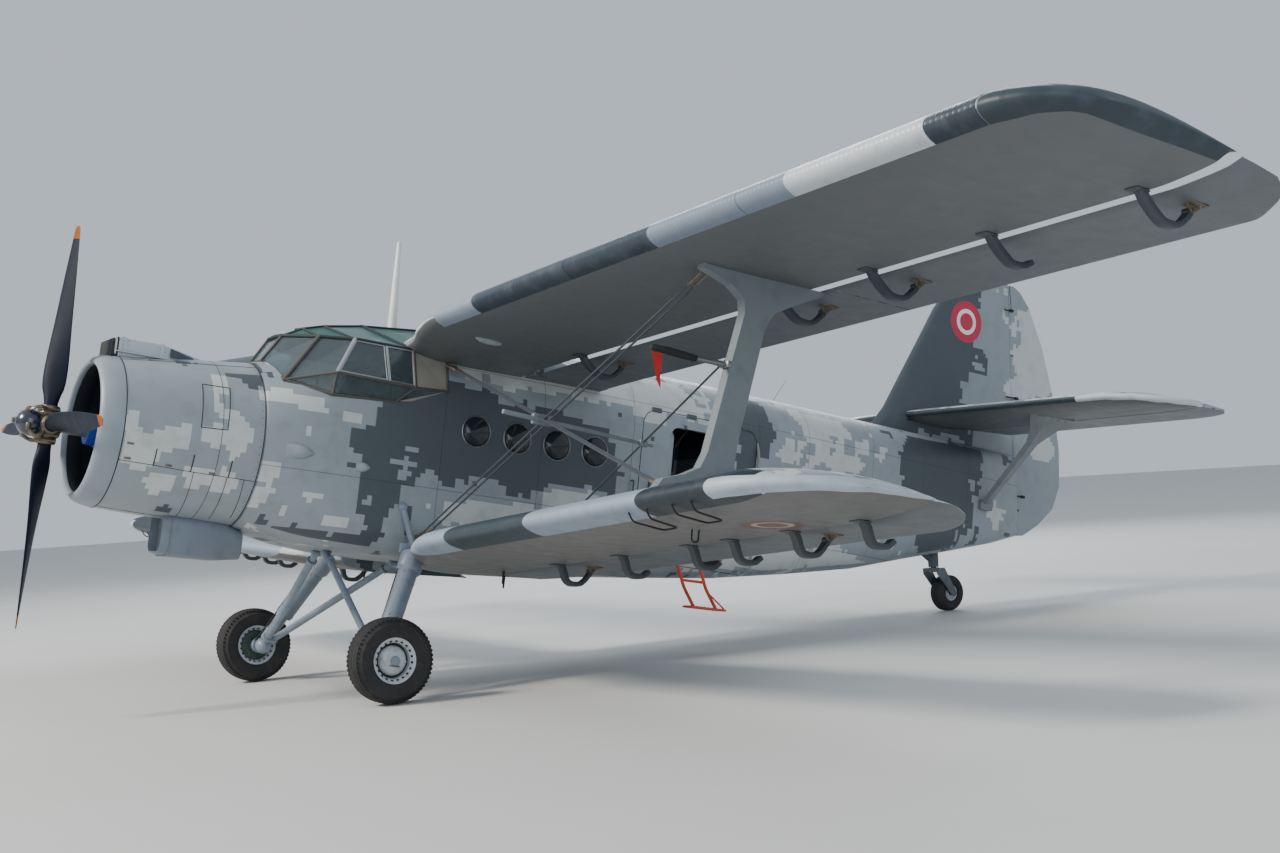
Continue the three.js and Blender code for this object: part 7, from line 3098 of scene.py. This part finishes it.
@dataclass
class Doors:
    """Seal, hinges, latches and grips of the cargo door, in airframe axes.

    Attributes:
        shell: faces of the fuselage.
        cargo: front, rear, bottom, top and corner radius of the cargo door.
    """

    shell: Shell
    cargo: tuple = (-2.916, -4.376, 1.236, 2.74, 0.18)

    def outline(self, door: tuple, grow: float) -> list[tuple]:
        """Returns a door's outline as (x, z), from its lower rear corner up and over.

        Args:
            door: front, rear, bottom, top and corner radius.
            grow: how far outside the door it runs.

        Returns:
            The outline's points.
        """
        front, rear, low, high, corner = door
        front, rear, low, high = front + grow, rear - grow, low - grow, high + grow
        top = arc((front - corner, high - corner), corner, 0, 90, 6) + arc(
            (rear + corner, high - corner), corner, 90, 180, 6,
        )
        return [(rear, low), (front, low), *top, (rear, low)]

    def bead(self, shop: Workshop, door: tuple, grow: float, hand: int) -> list[Vector]:
        """Returns a route over the wall along a door's outline.

        Args:
            shop: the workshop that hangs the pieces.
            door: front, rear, bottom, top and corner radius.
            grow: how far outside the door it runs.
            hand: 1 for port, -1 for starboard.

        Returns:
            The route's points.
        """
        route = []
        corners = self.outline(door, grow)
        for (xa, za), (xb, zb) in zip(corners, corners[1:]):
            pieces = max(1, int(math.hypot(xb - xa, zb - za) / 0.12))
            for k in range(pieces):
                found = self.shell.side(shop, lerp(xa, xb, k / pieces), lerp(za, zb, k / pieces), hand)
                if found:
                    route.append(found[0] + found[1] * 0.001)
        return route

    def build(self, shop: Workshop, paints: dict[str, Finish]) -> None:
        """Builds what is fixed round the doors.

        Args:
            shop: the workshop that hangs the pieces.
            paints: the finishes by name.
        """
        seals, metal = Shape(shop.axes), Shape(shop.axes)
        seals.tube(self.bead(shop, self.cargo, 0.03, 1), 0.004, 6)
        hinges = [(x, 2.765, 0.008, (0.12, 0.02, 0.05), 0.005) for x in (-3.05, -3.5, -3.95, -4.25)]
        latches = [(x, z, 0.012, (0.03, 0.024, 0.14), 0.006) for x, z in ((-3.02, 1.95), (-4.28, 2.0))]
        for x, z, off, size, soft in (*hinges, *latches):
            found = self.shell.side(shop, x, z, 1)
            if found:
                metal.block(found[0] + found[1] * off, size, soft=soft)
        for x, low, high in ((-2.8, 1.65, 2.0), (-4.52, 1.65, 2.0)):
            ends = [self.shell.side(shop, x, z, 1) for z in (low, high)]
            if all(ends):
                off = Vector((0, 0.05, 0))
                start, end = ends[0][0], ends[1][0]
                metal.tube(bent([start, start + off, end + off, end], 0.03), 0.009, 8)
        shop.hang(seals, "door_seals", "airframe", paints["black"])
        shop.hang(metal, "door_hinges_and_grips", "airframe", paints["slate"])
# Stage


@dataclass
class Studio:
    """Plain pale floor, soft lights and the camera of the photograph.

    Attributes:
        stand: the camera's place ahead of and beside the main axle, and above the floor.
        yaw: degrees the camera looks towards the tail from straight across.
        tilt: degrees it looks up.
        roll: degrees it leans.
        focal: focal length in pixels of the 1280 wide image.
        wide: the image's width in pixels.
    """

    stand: tuple = (6.0876, 15.091, 1.7075)
    yaw: float = 33.414
    tilt: float = 2.2141
    roll: float = -3.7555
    focal: float = 1664.0
    wide: float = 1280.0

    def camera(self, shop: Workshop) -> None:
        """Places the camera where the photograph was taken from.

        Args:
            shop: the workshop that hangs the pieces.
        """
        yaw, tilt, roll = (math.radians(a) for a in (self.yaw, self.tilt, self.roll))
        ahead = Vector((-math.sin(yaw) * math.cos(tilt), -math.cos(yaw) * math.cos(tilt), math.sin(tilt)))
        right = ahead.cross(Vector((0, 0, 1))).normalized()
        up = right.cross(ahead)
        leant_right = right * math.cos(roll) + up * math.sin(roll)
        leant_up = up * math.cos(roll) - right * math.sin(roll)
        data = bpy.data.cameras.new("camera")
        data.sensor_width = 36
        data.lens = self.focal / self.wide * data.sensor_width
        data.clip_end = 400
        seen = bpy.data.objects.new("camera", data)
        turn = Matrix((leant_right, leant_up, -ahead)).transposed().to_4x4()
        place = Vector((shop.origin.x + self.stand[0], self.stand[1], self.stand[2]))
        seen.matrix_world = Matrix.Translation(place) @ turn
        bpy.context.scene.collection.objects.link(seen)
        bpy.context.scene.camera = seen

    def floor(self) -> None:
        """Lays the pale floor, plain concrete ground smooth."""
        shape = Shape()
        bmesh.ops.create_grid(shape.mesh, x_segments=1, y_segments=1, size=150)
        slab = shape.done("floor")
        # Ground concrete: matt, with wide faint stains.
        paint = Finish(
            "ground_concrete", None, "C4C5C4", "B4B5B5", rough=0.75, mottle_mm=1500, mottle=0.25, grain_mm=60,
        )
        slab.data.materials.append(paint.material())

    def lights(self) -> None:
        """Sets a wide pale sky and three large soft lamps."""
        world = bpy.data.worlds.new("pale sky")
        bpy.context.scene.world = world
        world.use_nodes = True
        sky = world.node_tree.nodes["Background"]
        sky.inputs["Color"].default_value = linear("D6E0EA")
        sky.inputs["Strength"].default_value = 0.85
        # Name, place, what it points at, watts, side in metres and colour of each lamp.
        lamps = (
            ("key", (30, -5, 22), (0, 0, 2), 16000, 7, "FFF6EA"),
            ("fill", (10, 30, 10), (-2, 0, 2), 2600, 18, "E6EEFA"),
            ("back", (-16, -18, 16), (0, 0, 2), 4200, 14, "F2F5FA"),
        )
        for name, place, target, power, size, code in lamps:
            data = bpy.data.lights.new(name, "AREA")
            data.energy = power
            data.size = size
            data.color = linear(code)[:3]
            lamp = bpy.data.objects.new(name, data)
            aim = (Vector(target) - Vector(place)).to_track_quat("-Z", "Y")
            lamp.matrix_world = Matrix.Translation(place) @ aim.to_matrix().to_4x4()
            bpy.context.scene.collection.objects.link(lamp)

    def build(self, shop: Workshop) -> None:
        """Builds camera, floor and lights.

        Args:
            shop: the workshop that hangs the pieces.
        """
        self.camera(shop)
        self.floor()
        self.lights()
# Whole aircraft


def paints_of_skin(shop: Workshop, lower: WingPanel) -> dict[str, Finish]:
    """Returns the stencilled paints, each with the patches of its own part of the aircraft.

    Args:
        shop: the workshop that hangs the pieces.
        lower: the lower wing, which carries two round marks.

    Returns:
        The paints by name.
    """
    laid = dict(origin=tuple(shop.origin), pitch=shop.pitch)
    fuselage_blobs = (
        Blob(-1.05, 2.15, 0.95, 0.42, 0.42), Blob(-0.1, 2.06, 0.34, 0.22, 0.3),
        Blob(-1.9, 2.12, 0.7, 0.42, 0.36), Blob(-0.6, 2.4, 0.6, 0.22, 0.26), Blob(-2.5, 2.0, 0.4, 0.3, 0.2),
        Blob(-1.6, 3.0, 1.5, 0.3, -0.5), Blob(-3.1, 2.92, 0.8, 0.26, -0.4),
        Blob(-1.1, 1.4, 0.3, 0.12, -0.3), Blob(-1.6, 1.5, 0.3, 0.1, -0.32),
        Blob(-1.95, 1.68, 0.22, 0.12, -0.38), Blob(-2.3, 1.76, 0.25, 0.1, -0.38),
        Blob(0.15, 2.14, 0.24, 0.1, -0.3), Blob(0.95, 1.55, 0.1, 0.08, -0.3),
        Blob(0.98, 1.3, 0.12, 0.09, -0.3), Blob(0.7, 1.22, 0.14, 0.12, -0.3),
        Blob(0.5, 1.34, 0.14, 0.09, -0.3), Blob(0.27, 1.16, 0.28, 0.1, -0.34),
        Blob(-4.45, 2.85, 0.4, 0.32, 0.32), Blob(-5.7, 2.75, 1.0, 0.4, -0.16),
        Blob(-5.8, 2.58, 0.3, 0.14, -0.24), Blob(-7.45, 2.65, 0.65, 0.75, 0.42),
        Blob(-7.6, 3.2, 0.6, 0.4, 0.3), Blob(-7.5, 1.9, 0.35, 0.35, 0.26),
        Blob(-5.2, 1.42, 1.4, 0.22, -0.34), Blob(-4.8, 1.17, 0.9, 0.1, 0.34),
        Blob(-3.5, 1.3, 1.0, 0.2, -0.26), Blob(1.05, 2.72, 0.4, 0.24, 0.5),
        Blob(0.93, 2.24, 0.2, 0.1, -0.38), Blob(0.62, 2.2, 0.14, 0.08, -0.34),
        Blob(0.1, 1.93, 0.13, 0.1, 0.32),
    )
    seams = (-0.65, -1.72, -2.78, -4.45, -5.2, -6.25, -7.15, -8.0)
    fin_ring = Ring(tuple(shop.place((-8.05, 0.075, 4.76))), 0.262, "BE2C48", "F0ECEA")
    fin_blobs = (
        Blob(-7.3, 4.1, 1.0, 1.3, 0.42), Blob(-9.4, 4.5, 0.45, 0.75, -0.36),
        Blob(-9.0, 4.05, 0.3, 0.12, -0.26), Blob(-9.55, 3.35, 0.25, 0.2, -0.32),
        Blob(-8.45, 2.95, 0.16, 0.25, 0.32),
    )
    cowl_blobs = (
        Blob(2.2, 1.8, 0.09, 0.1, -0.34), Blob(2.08, 1.56, 0.15, 0.15, -0.36),
        Blob(1.93, 1.64, 0.13, 0.13, -0.34), Blob(1.77, 1.73, 0.12, 0.1, -0.32),
        Blob(1.45, 1.78, 0.12, 0.09, -0.32), Blob(1.25, 1.84, 0.1, 0.17, -0.32),
        Blob(1.53, 1.42, 0.15, 0.09, -0.3), Blob(1.86, 1.34, 0.13, 0.09, -0.3),
        Blob(1.3, 1.38, 0.13, 0.09, -0.3), Blob(1.45, 2.52, 0.5, 0.14, 0.55),
        Blob(1.12, 2.47, 0.2, 0.17, 0.5), Blob(1.02, 2.24, 0.08, 0.12, -0.3),
    )
    lower_bands = (
        (0.0, "8E9DAE"), (2.62, "2B3A42"), (3.94, "8A98A8"), (5.49, "1B2833"), (6.68, "A9B4BF"),
    )
    lower_rings = []
    for side, _ in SIDES:
        mark = lower.axes(shop, side) @ Vector((-0.93, side * 5.87, lower.under(5.87, -0.93)))
        lower_rings.append(Ring(tuple(mark), 0.24, "6B4B46", "A79A8C", (0.64, 0.47), True))
    return {
        # Matt paint sprayed through square stencils on riveted sheet: hard squares, seams and faint dirt.
        "fuselage": Camouflage(
            "stencilled_two_part_paint", Slot.CAMOUFLAGE, "8C969D", "565A58", rough=0.5,
            blobs=fuselage_blobs, seams=seams, rows=(1.62, 2.82), mottle=0.26, grain=0.8, base=0.52,
            vary=0.6, **laid,
        ),
        # The same paint on the fin and rudder: cleaner, in larger areas of one tone.
        "fin": Camouflage(
            "stencilled_fin_paint", Slot.CAMOUFLAGE, "8C969D", "5B646B", rough=0.48, mottle=0.2,
            grain=0.6, base=0.5, vary=0.42, blobs=fin_blobs, rings=(fin_ring,), **laid,
        ),
        # The same paint on the cowl: a little glossier, with brown oil stains.
        "cowl": Camouflage(
            "stencilled_cowl_paint", Slot.CAMOUFLAGE, "9AA4AA", "6A675E", rough=0.45, mottle=0.26,
            grain=0.6, base=0.5, vary=0.5, blobs=cowl_blobs, **laid,
        ),
        # The same paint on fabric over ribs: a plain dark underside and a dark rounded tip.
        "upper_wing": Camouflage(
            "stencilled_wing_paint", Slot.CAMOUFLAGE, "8C969D", "565F66", rough=0.5,
            below="5E6163", mottle=0.3, grain=0.5, ribs_mm=310, rims=((8.54, 99.0, "26343C"),), **laid,
        ),
        # The same paint on the tailplane, whose rounded edge changes from dark to pale.
        "tailplane": Camouflage(
            "stencilled_tailplane_paint", Slot.CAMOUFLAGE, "8C969D", "565F66", rough=0.5,
            below="56595B", mottle=0.3, grain=0.5, ribs_mm=310,
            rims=((0.0, 2.62, "26343C"), (2.62, 99.0, "B9C2C6")), **laid,
        ),
        # The same paint on the lower wing, with long bands of one tone on its leading edge.
        "lower_wing": Camouflage(
            "stencilled_lower_wing_paint", Slot.CAMOUFLAGE, "8C969D", "565F66", rough=0.5,
            below="646463", mottle=0.3, grain=0.5, ribs_mm=310, nose=(-0.12, lower_bands),
            rims=((6.3, 99.0, "A9B4BF"),), rings=tuple(lower_rings), **laid,
        ),
        # The same paint on the hinged surfaces, grey underneath.
        "wing_surface": Camouflage(
            "stencilled_surface_paint", Slot.PALE, "8C969D", "5B646B", rough=0.5,
            below="62676B", mottle=0.26, grain=0.5, ribs_mm=310, **laid,
        ),
    }


def paints_of_parts(shop: Workshop) -> dict[str, Finish]:
    """Returns the plain finishes of everything under the skin and beside it.

    Args:
        shop: the workshop that hangs the pieces.

    Returns:
        The finishes by name.
    """
    slat_bands = ((0.0, "8F9CAB"), (2.56, "303C47"), (5.25, "7F8C9C"), (6.82, "C6CDD2"), (8.11, "2C3843"))
    return {
        # Enamel sprayed on steel tube: even, half glossy, with soft patches of grey dirt.
        "arm": Finish("sprayed_blue_grey_enamel", Slot.GEAR, "757D82", "484C4E", rough=0.45, mottle=0.35),
        # The same enamel, darker and duller, in dark blotches.
        "dark_arm": Finish("weathered_arm_enamel", Slot.GEAR, "40474C", "2C2F31", rough=0.5, mottle=0.4),
        # Enamel sprayed on the legs: smooth and pale blue, with brown mud in small patches.
        "leg": Finish(
            "sprayed_pale_blue_enamel", Slot.GEAR, "7B8997", "504F4A", rough=0.4, mottle=0.42,
            mottle_mm=90,
        ),
        # Plated then rusted: brown bloom over a dull metal.
        "steel": Finish(
            "rusted_plated_steel", Slot.RIGGING, "7C766C", "5C3F2A", rough=0.55, metal=0.5, mottle=0.8,
            mottle_mm=24,
        ),
        # Steel ground clean: bright with soft reflections and faint grey stains.
        "steel_clean": Finish(
            "ground_steel", Slot.RIGGING, "8D9092", "55524D", rough=0.35, metal=0.8, mottle=0.4,
        ),
        # Streamlined strip of blued steel: dark, smooth and a little shiny.
        "wire": Finish(
            "blued_steel_strip", Slot.RIGGING, "454B53", "3A3530", rough=0.4, metal=0.3, mottle=0.3,
        ),
        # Steel of the tail fork under old oil: grey metal with dark patches.
        "fork": Finish(
            "oiled_fork_steel", Slot.GEAR, "5F666B", "2E2D2A", rough=0.42, metal=0.4, mottle=0.6,
        ),
        # Anodised sheet, painted in stretches: even tones with fine pressed ribs across them.
        "leading": BandedSheet(
            "anodised_painted_sheet", Slot.LEADING_EDGE, "C3CBD1", "6F777D", rough=0.38, metal=0.15,
            mottle=0.3, bands=slat_bands, grain=1.2,
        ),
        # Cast acrylic, polished: clear, faintly blue and mirror smooth.
        "glass": Glazing(
            "polished_acrylic", Slot.WINDOWS, "A9BCC3", "8FA0A6", rough=0.04, mottle=0.1, grain=0.02,
        ),
        # Acrylic blown to a dome: tinted dark as painted shade of the cabin behind it, with one sharp
        # reflection.
        "bubble": Glazing(
            "blown_acrylic", Slot.WINDOWS, "2B333A", "3A444B", rough=0.05, mottle=0.1, grain=0.02,
            see_through=0.4,
        ),
        # Acrylic dyed through: deep green, dull with dust, and hardly clear.
        "roof_glass": Glazing(
            "tinted_acrylic", Slot.CANOPY, "245551", "1A3B3C", rough=0.6, mottle=0.2, see_through=0.1,
        ),
        # Enamel on the canopy's bars: brown grey and half matt.
        "canopy": Finish(
            "sprayed_taupe_enamel", Slot.CANOPY, "4B4844", "35312E", rough=0.5, mottle=0.35, mottle_mm=60,
        ),
        # Enamel on the panels behind the canopy: warm grey, taken a little darker as painted shade, with wide
        # soft stains.
        "beige": Finish(
            "sprayed_beige_enamel", Slot.CANOPY, "98958A", "66635A", rough=0.5, mottle=0.3, mottle_mm=120,
        ),
        # Rolled aluminium left bare: pale, with a broad silky shine.
        "canopy_metal": Finish(
            "bare_rolled_aluminium", Slot.CANOPY, "B9BDBE", "7D7D7A", rough=0.35, metal=0.7,
        ),
        # Sealant gone hard: matt and nearly black.
        "sealant": Finish("hardened_sealant", Slot.CANOPY, "1E2A2B", "2E3635", rough=0.7),
        # Rubber strip: matt black, greyed by dust; behind the carburettor's screen the same black is painted
        # shade.
        "black": Finish("rubber_seal_strip", Slot.CAMOUFLAGE, "1A1C1E", "33322F", rough=0.75),
        # Slate paint, sprayed: plain dark grey, half matt; on the trunk's sides the same grey is painted
        # shade of a recess.
        "slate": Finish("sprayed_slate_paint", Slot.CAMOUFLAGE, "4A535B", "33393E", rough=0.5),
        # Enamel on the nose ring: a little smoother than the paint behind it.
        "cowl_ring": Finish(
            "sprayed_ring_enamel", Slot.CAMOUFLAGE, "858F98", "5A6065", rough=0.42, mottle=0.25,
            mottle_mm=200,
        ),
        # Pale paint on the intake trunk: half matt, with grey patches of dirt.
        "trunk": Finish(
            "sprayed_pale_trunk_paint", Slot.PALE, "B4BCC2", "6F7376", rough=0.5, mottle=0.35,
            mottle_mm=110,
        ),
        # Paint on the oil cooler's scoop: darker, with patches of oil.
        "scoop": Finish(
            "sprayed_scoop_paint", Slot.PALE, "6D7984", "484D50", rough=0.48, mottle=0.35, mottle_mm=120,
        ),
        # Mid grey paint on small fairings: half matt, in small uneven patches.
        "mid": Finish(
            "sprayed_mid_grey_paint", Slot.CAMOUFLAGE, "8B949A", "5B6063", rough=0.5, mottle=0.3,
            mottle_mm=90,
        ),
        # Vulcanised rubber: black and matt, with brown dust in patches.
        "rubber": Finish(
            "vulcanised_rubber", Slot.TYRES, "202124", "4B4740", rough=0.82, mottle=0.5, mottle_mm=90,
        ),
        # Cast magnesium under enamel: pale, with brown brake dust in patches.
        "rim": Finish(
            "cast_magnesium_enamel", Slot.RIMS, "B9C2C9", "6B6459", rough=0.45, mottle=0.55, mottle_mm=60,
        ),
        # Cast iron of the brake: nearly black, with a faint oily sheen; the same colour on the rim's slots is
        # painted shade.
        "rim_dark": Finish(
            "oiled_brake_iron", Slot.RIMS, "2B2A28", "171615", rough=0.6, metal=0.3, mottle=0.5,
        ),
        # Primer brushed on the brake's dish: dark green and half matt.
        "rim_green": Finish("brushed_green_primer", Slot.RIMS, "2F4A3C", "23302A", rough=0.55, mottle=0.5),
        # Cast iron, sandblasted: dark grey with a dull metal glint and burnt oil.
        "engine": Finish(
            "sandblasted_cast_iron", Slot.ENGINE, "3E4143", "1F1C19", rough=0.55, metal=0.6, mottle=0.6,
        ),
        # Cast aluminium: paler metal, stained brown in patches.
        "engine_pale": Finish(
            "cast_engine_aluminium", Slot.ENGINE, "868B8F", "4B443B", rough=0.5, metal=0.7, mottle=0.6,
        ),
        # Enamel sprayed on the crankcase: clear blue, still glossy.
        "blue": Finish("sprayed_blue_enamel", Slot.ENGINE, "1F44A6", "1B2A55", rough=0.4, mottle=0.35),
        # Painted shade inside the mouth: nearly black and dull, standing in for the shade that makes the
        # mouth read as deep.
        "throat": Finish(
            "sprayed_throat_paint", Slot.CAMOUFLAGE, "262B31", "15181B", rough=0.6, gleam=0.3,
        ),
        # Lacquer on the ignition leads: warm yellow, browned in patches.
        "yellow": Finish(
            "sprayed_yellow_lacquer", Slot.ENGINE, "C7A02C", "5E4B22", rough=0.45, mottle=0.4,
        ),
        # Forged steel, chromated: brown grey metal with dark oily stains.
        "hub": Finish(
            "chromated_forged_steel", Slot.HUB, "6E6659", "35302B", rough=0.38, metal=0.7, mottle=0.5,
            mottle_mm=60,
        ),
        # Enamel polished over the dome: navy with a clear reflection.
        "dome": Finish(
            "polished_navy_enamel", Slot.HUB, "1D2433", "30343C", rough=0.22, coat=0.6, mottle=0.2,
        ),
        # Stainless steel that has been hot: brown and dark tints over dull metal.
        "exhaust": Finish(
            "heat_tinted_stainless", Slot.EXHAUST, "6E6057", "3A3230", rough=0.5, metal=0.8, mottle=0.6,
        ),
        # Paint on the cabin's sheet: matt grey, worn in soft patches.
        "trim": Finish("painted_cabin_sheet", Slot.CABIN, "6F7678", "4C5254", rough=0.7, mottle=0.3),
        # Quilted cloth of the lining: pale grey and quite matt.
        "lining": Finish("quilted_grey_lining", Slot.CABIN, "8A8E8A", "5E615D", rough=0.85, mottle=0.3),
        # Canvas woven of thick thread: matt green, its crossing threads drawn coarse to show.
        "seat": Weave("woven_canvas_cover", Slot.SEATS, "4E5A50", "343C36", rough=0.9),
        # Crackle enamel: nearly black and matt, with a fine wrinkled grain.
        "panel": Finish(
            "crackle_enamel", Slot.PANEL, "2A3034", "16191B", rough=0.7, grain_mm=4, grain=0.3,
        ),
        # Moulded dial faces: black and smooth under a clear coat.
        "dial": Finish("moulded_dial_face", Slot.PANEL, "101214", "1D2023", rough=0.35, coat=0.5),
        # Enamel brushed on the ladder: bright red, worn brown in small patches.
        "ladder": Finish(
            "brushed_on_red_enamel", Slot.LADDER, "D5472C", "8A3524", rough=0.45, mottle=0.4, mottle_mm=90,
        ),
        # White lacquer, sprayed: clean and half glossy.
        "white": Finish("sprayed_white_lacquer", Slot.PALE, "DFE2E2", "A3A5A3", rough=0.45),
        # Nylon woven of thin thread: deep red, darker in patches, its threads drawn coarse to show.
        "pennant": Weave(
            "woven_red_nylon", Slot.SEATS, "B3201E", "7A1B1A", rough=0.75, mottle=0.25, mottle_mm=60,
            thread_mm=3,
        ),
        # Lacquer of the port lamp: deep red and half glossy.
        "red": Finish("dyed_red_lacquer", Slot.LADDER, "B02A25", "6E2320", rough=0.45, mottle=0.3),
        # Dyed glass of the starboard lamp: green, smooth and bright.
        "green": Finish("dyed_green_lens", Slot.WINDOWS, "1E8A5A", "155A3D", rough=0.1, coat=0.8),
        # Enamel on the forged blades: blue black and dull, so that it hardly reflects the sky.
        "blade": BladePaint(
            "sprayed_blade_enamel", Slot.BLADES, "0E1526", "161B28", rough=0.5, mottle=0.3, gleam=0.15,
            centre=tuple(shop.joints["propeller_spin"]["pos_m"]), tip_from=1.68, tip="8F5016",
        ),
    }


def wings() -> tuple[WingPanel, WingPanel]:
    """Returns the upper and the lower wing."""
    upper = WingPanel(
        name="upper", root=(0.033, 0, 2.958), dihedral=2.98, incidence=3.31, chord=2.4, slot=0.044,
        rows=(
            (0.3, -0.33, -0.01, 2.07, 0.15), (0.9, -0.25, -0.008, 2.15, 0.148),
            (1.3, -0.11, -0.003, 2.29, 0.143), (1.85, 0, 0, 2.4, 0.14), (8.56, 0, 0, 2.39, 0.14),
            (8.8, -0.07, 0.002, 2.2, 0.128), (8.98, -0.22, 0.008, 1.9, 0.108),
            (9.09, -0.48, 0.016, 1.44, 0.075),
        ),
        surfaces=(
            Surface("upper_flap", start=1.0, end=5.42, pinned=(2.05, 4.98)),
            Surface("aileron", start=5.432, end=9.2, pinned=(6.04, 8.48), arms=(7.23,)),
        ),
        open_slot=0.07,
    )
    lower = WingPanel(
        name="lower", root=(0.084, 0, 0.869), dihedral=4.27, incidence=1.81, chord=2.0, slot=0.032,
        rows=(
            (0.78, -0.56, 0.04, 1.44, 0.17), (1.1, -0.47, 0.026, 1.53, 0.165),
            (1.6, -0.2, 0.008, 1.8, 0.15), (2.25, 0, 0, 2.0, 0.14), (6.42, 0, 0, 2.0, 0.14),
            (6.7, -0.09, 0.004, 1.82, 0.128), (6.96, -0.33, 0.014, 1.38, 0.11),
            (7.118, -0.7, 0.022, 0.78, 0.08),
        ),
        surfaces=(
            Surface("lower_flap", start=1.22, end=7.3, pinned=(2.43, 5.69), arms=(3.43, 4.43, 4.96, 6.45)),
        ),
    )
    return upper, lower


def skins(shop: Workshop, paints: dict[str, Finish]) -> None:
    """Replaces the plain shells by smooth copies in their finishes, and paints the struts.

    Args:
        shop: the workshop that hangs the pieces.
        paints: the finishes by name.
    """
    rows = (
        ("nose_skin", "nose_fuselage", "airframe", "fuselage", 32),
        ("cabin_skin", "cabin_shell", "airframe", "fuselage", 32),
        ("rear_fuselage_skin", "rear_fuselage", "airframe", "fuselage", 32),
        ("cargo_door_skin", "cargo_door", "airframe", "fuselage", 32),
        ("passenger_door_skin", "passenger_door", "passenger_door", "fuselage", 32),
        ("fin_skin", "fin", "airframe", "fin", 35),
        ("rudder_skin", "rudder", "rudder", "fin", 50),
        ("stabiliser_skin", "stabiliser", "airframe", "tailplane", 35),
        ("elevator_skin", "elevator", "elevator", "wing_surface", 50),
    )
    for name, node, body, paint, crease in rows:
        shop.skin(name, node, body, paints[paint], crease)
    for strut in ("tail_strut", "interplane_strut"):
        for _, tag in SIDES:
            shop.coat_node(f"{strut}_{tag}", paints["arm"])


def main() -> None:
    logging.basicConfig(level=logging.INFO, format="%(message)s")
    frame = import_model()
    shop = Workshop(frame)
    Studio().build(shop)
    upper, lower = wings()
    paints = paints_of_skin(shop, lower) | paints_of_parts(shop)
    for side, tag in SIDES:
        for wing in (upper, lower):
            wing.fixed(shop, side, tag, paints[f"{wing.name}_wing"], paints["dark_arm"])
            wing.hinged(shop, side, tag, paints["wing_surface"], paints["steel"])
        upper.slat(shop, side, tag, paints["leading"], start=1.86, end=8.54)
        MainGear().build(shop, side, tag, paints)
        Portholes().build(shop, side, tag, paints)
        Rigging().build(shop, side, tag, paints)
    Cowl().build(shop, paints)
    Engine().build(shop, paints)
    Propeller().build(shop, paints)
    Intakes().build(shop, paints)
    swivel, axle = (shop.joints[name]["pos_m"] for name in ("tail_fork_swivel", "tail_wheel_spin"))
    TailGear(swivel, axle).build(shop, paints)
    Canopy().build(shop, paints)
    Ladder().build(shop, paints)
    shell = Shell.of(shop, ("nose_fuselage", "cabin_shell", "rear_fuselage", "cargo_door"))
    Outside(shell).build(shop, upper, lower, paints)
    Doors(shell).build(shop, paints)
    Cabin().build(shop, paints)
    FlightDeck().build(shop, paints)
    skins(shop, paints)
    LOG.info("%d pieces", shop.count)


if __name__ == "__main__":
    main()
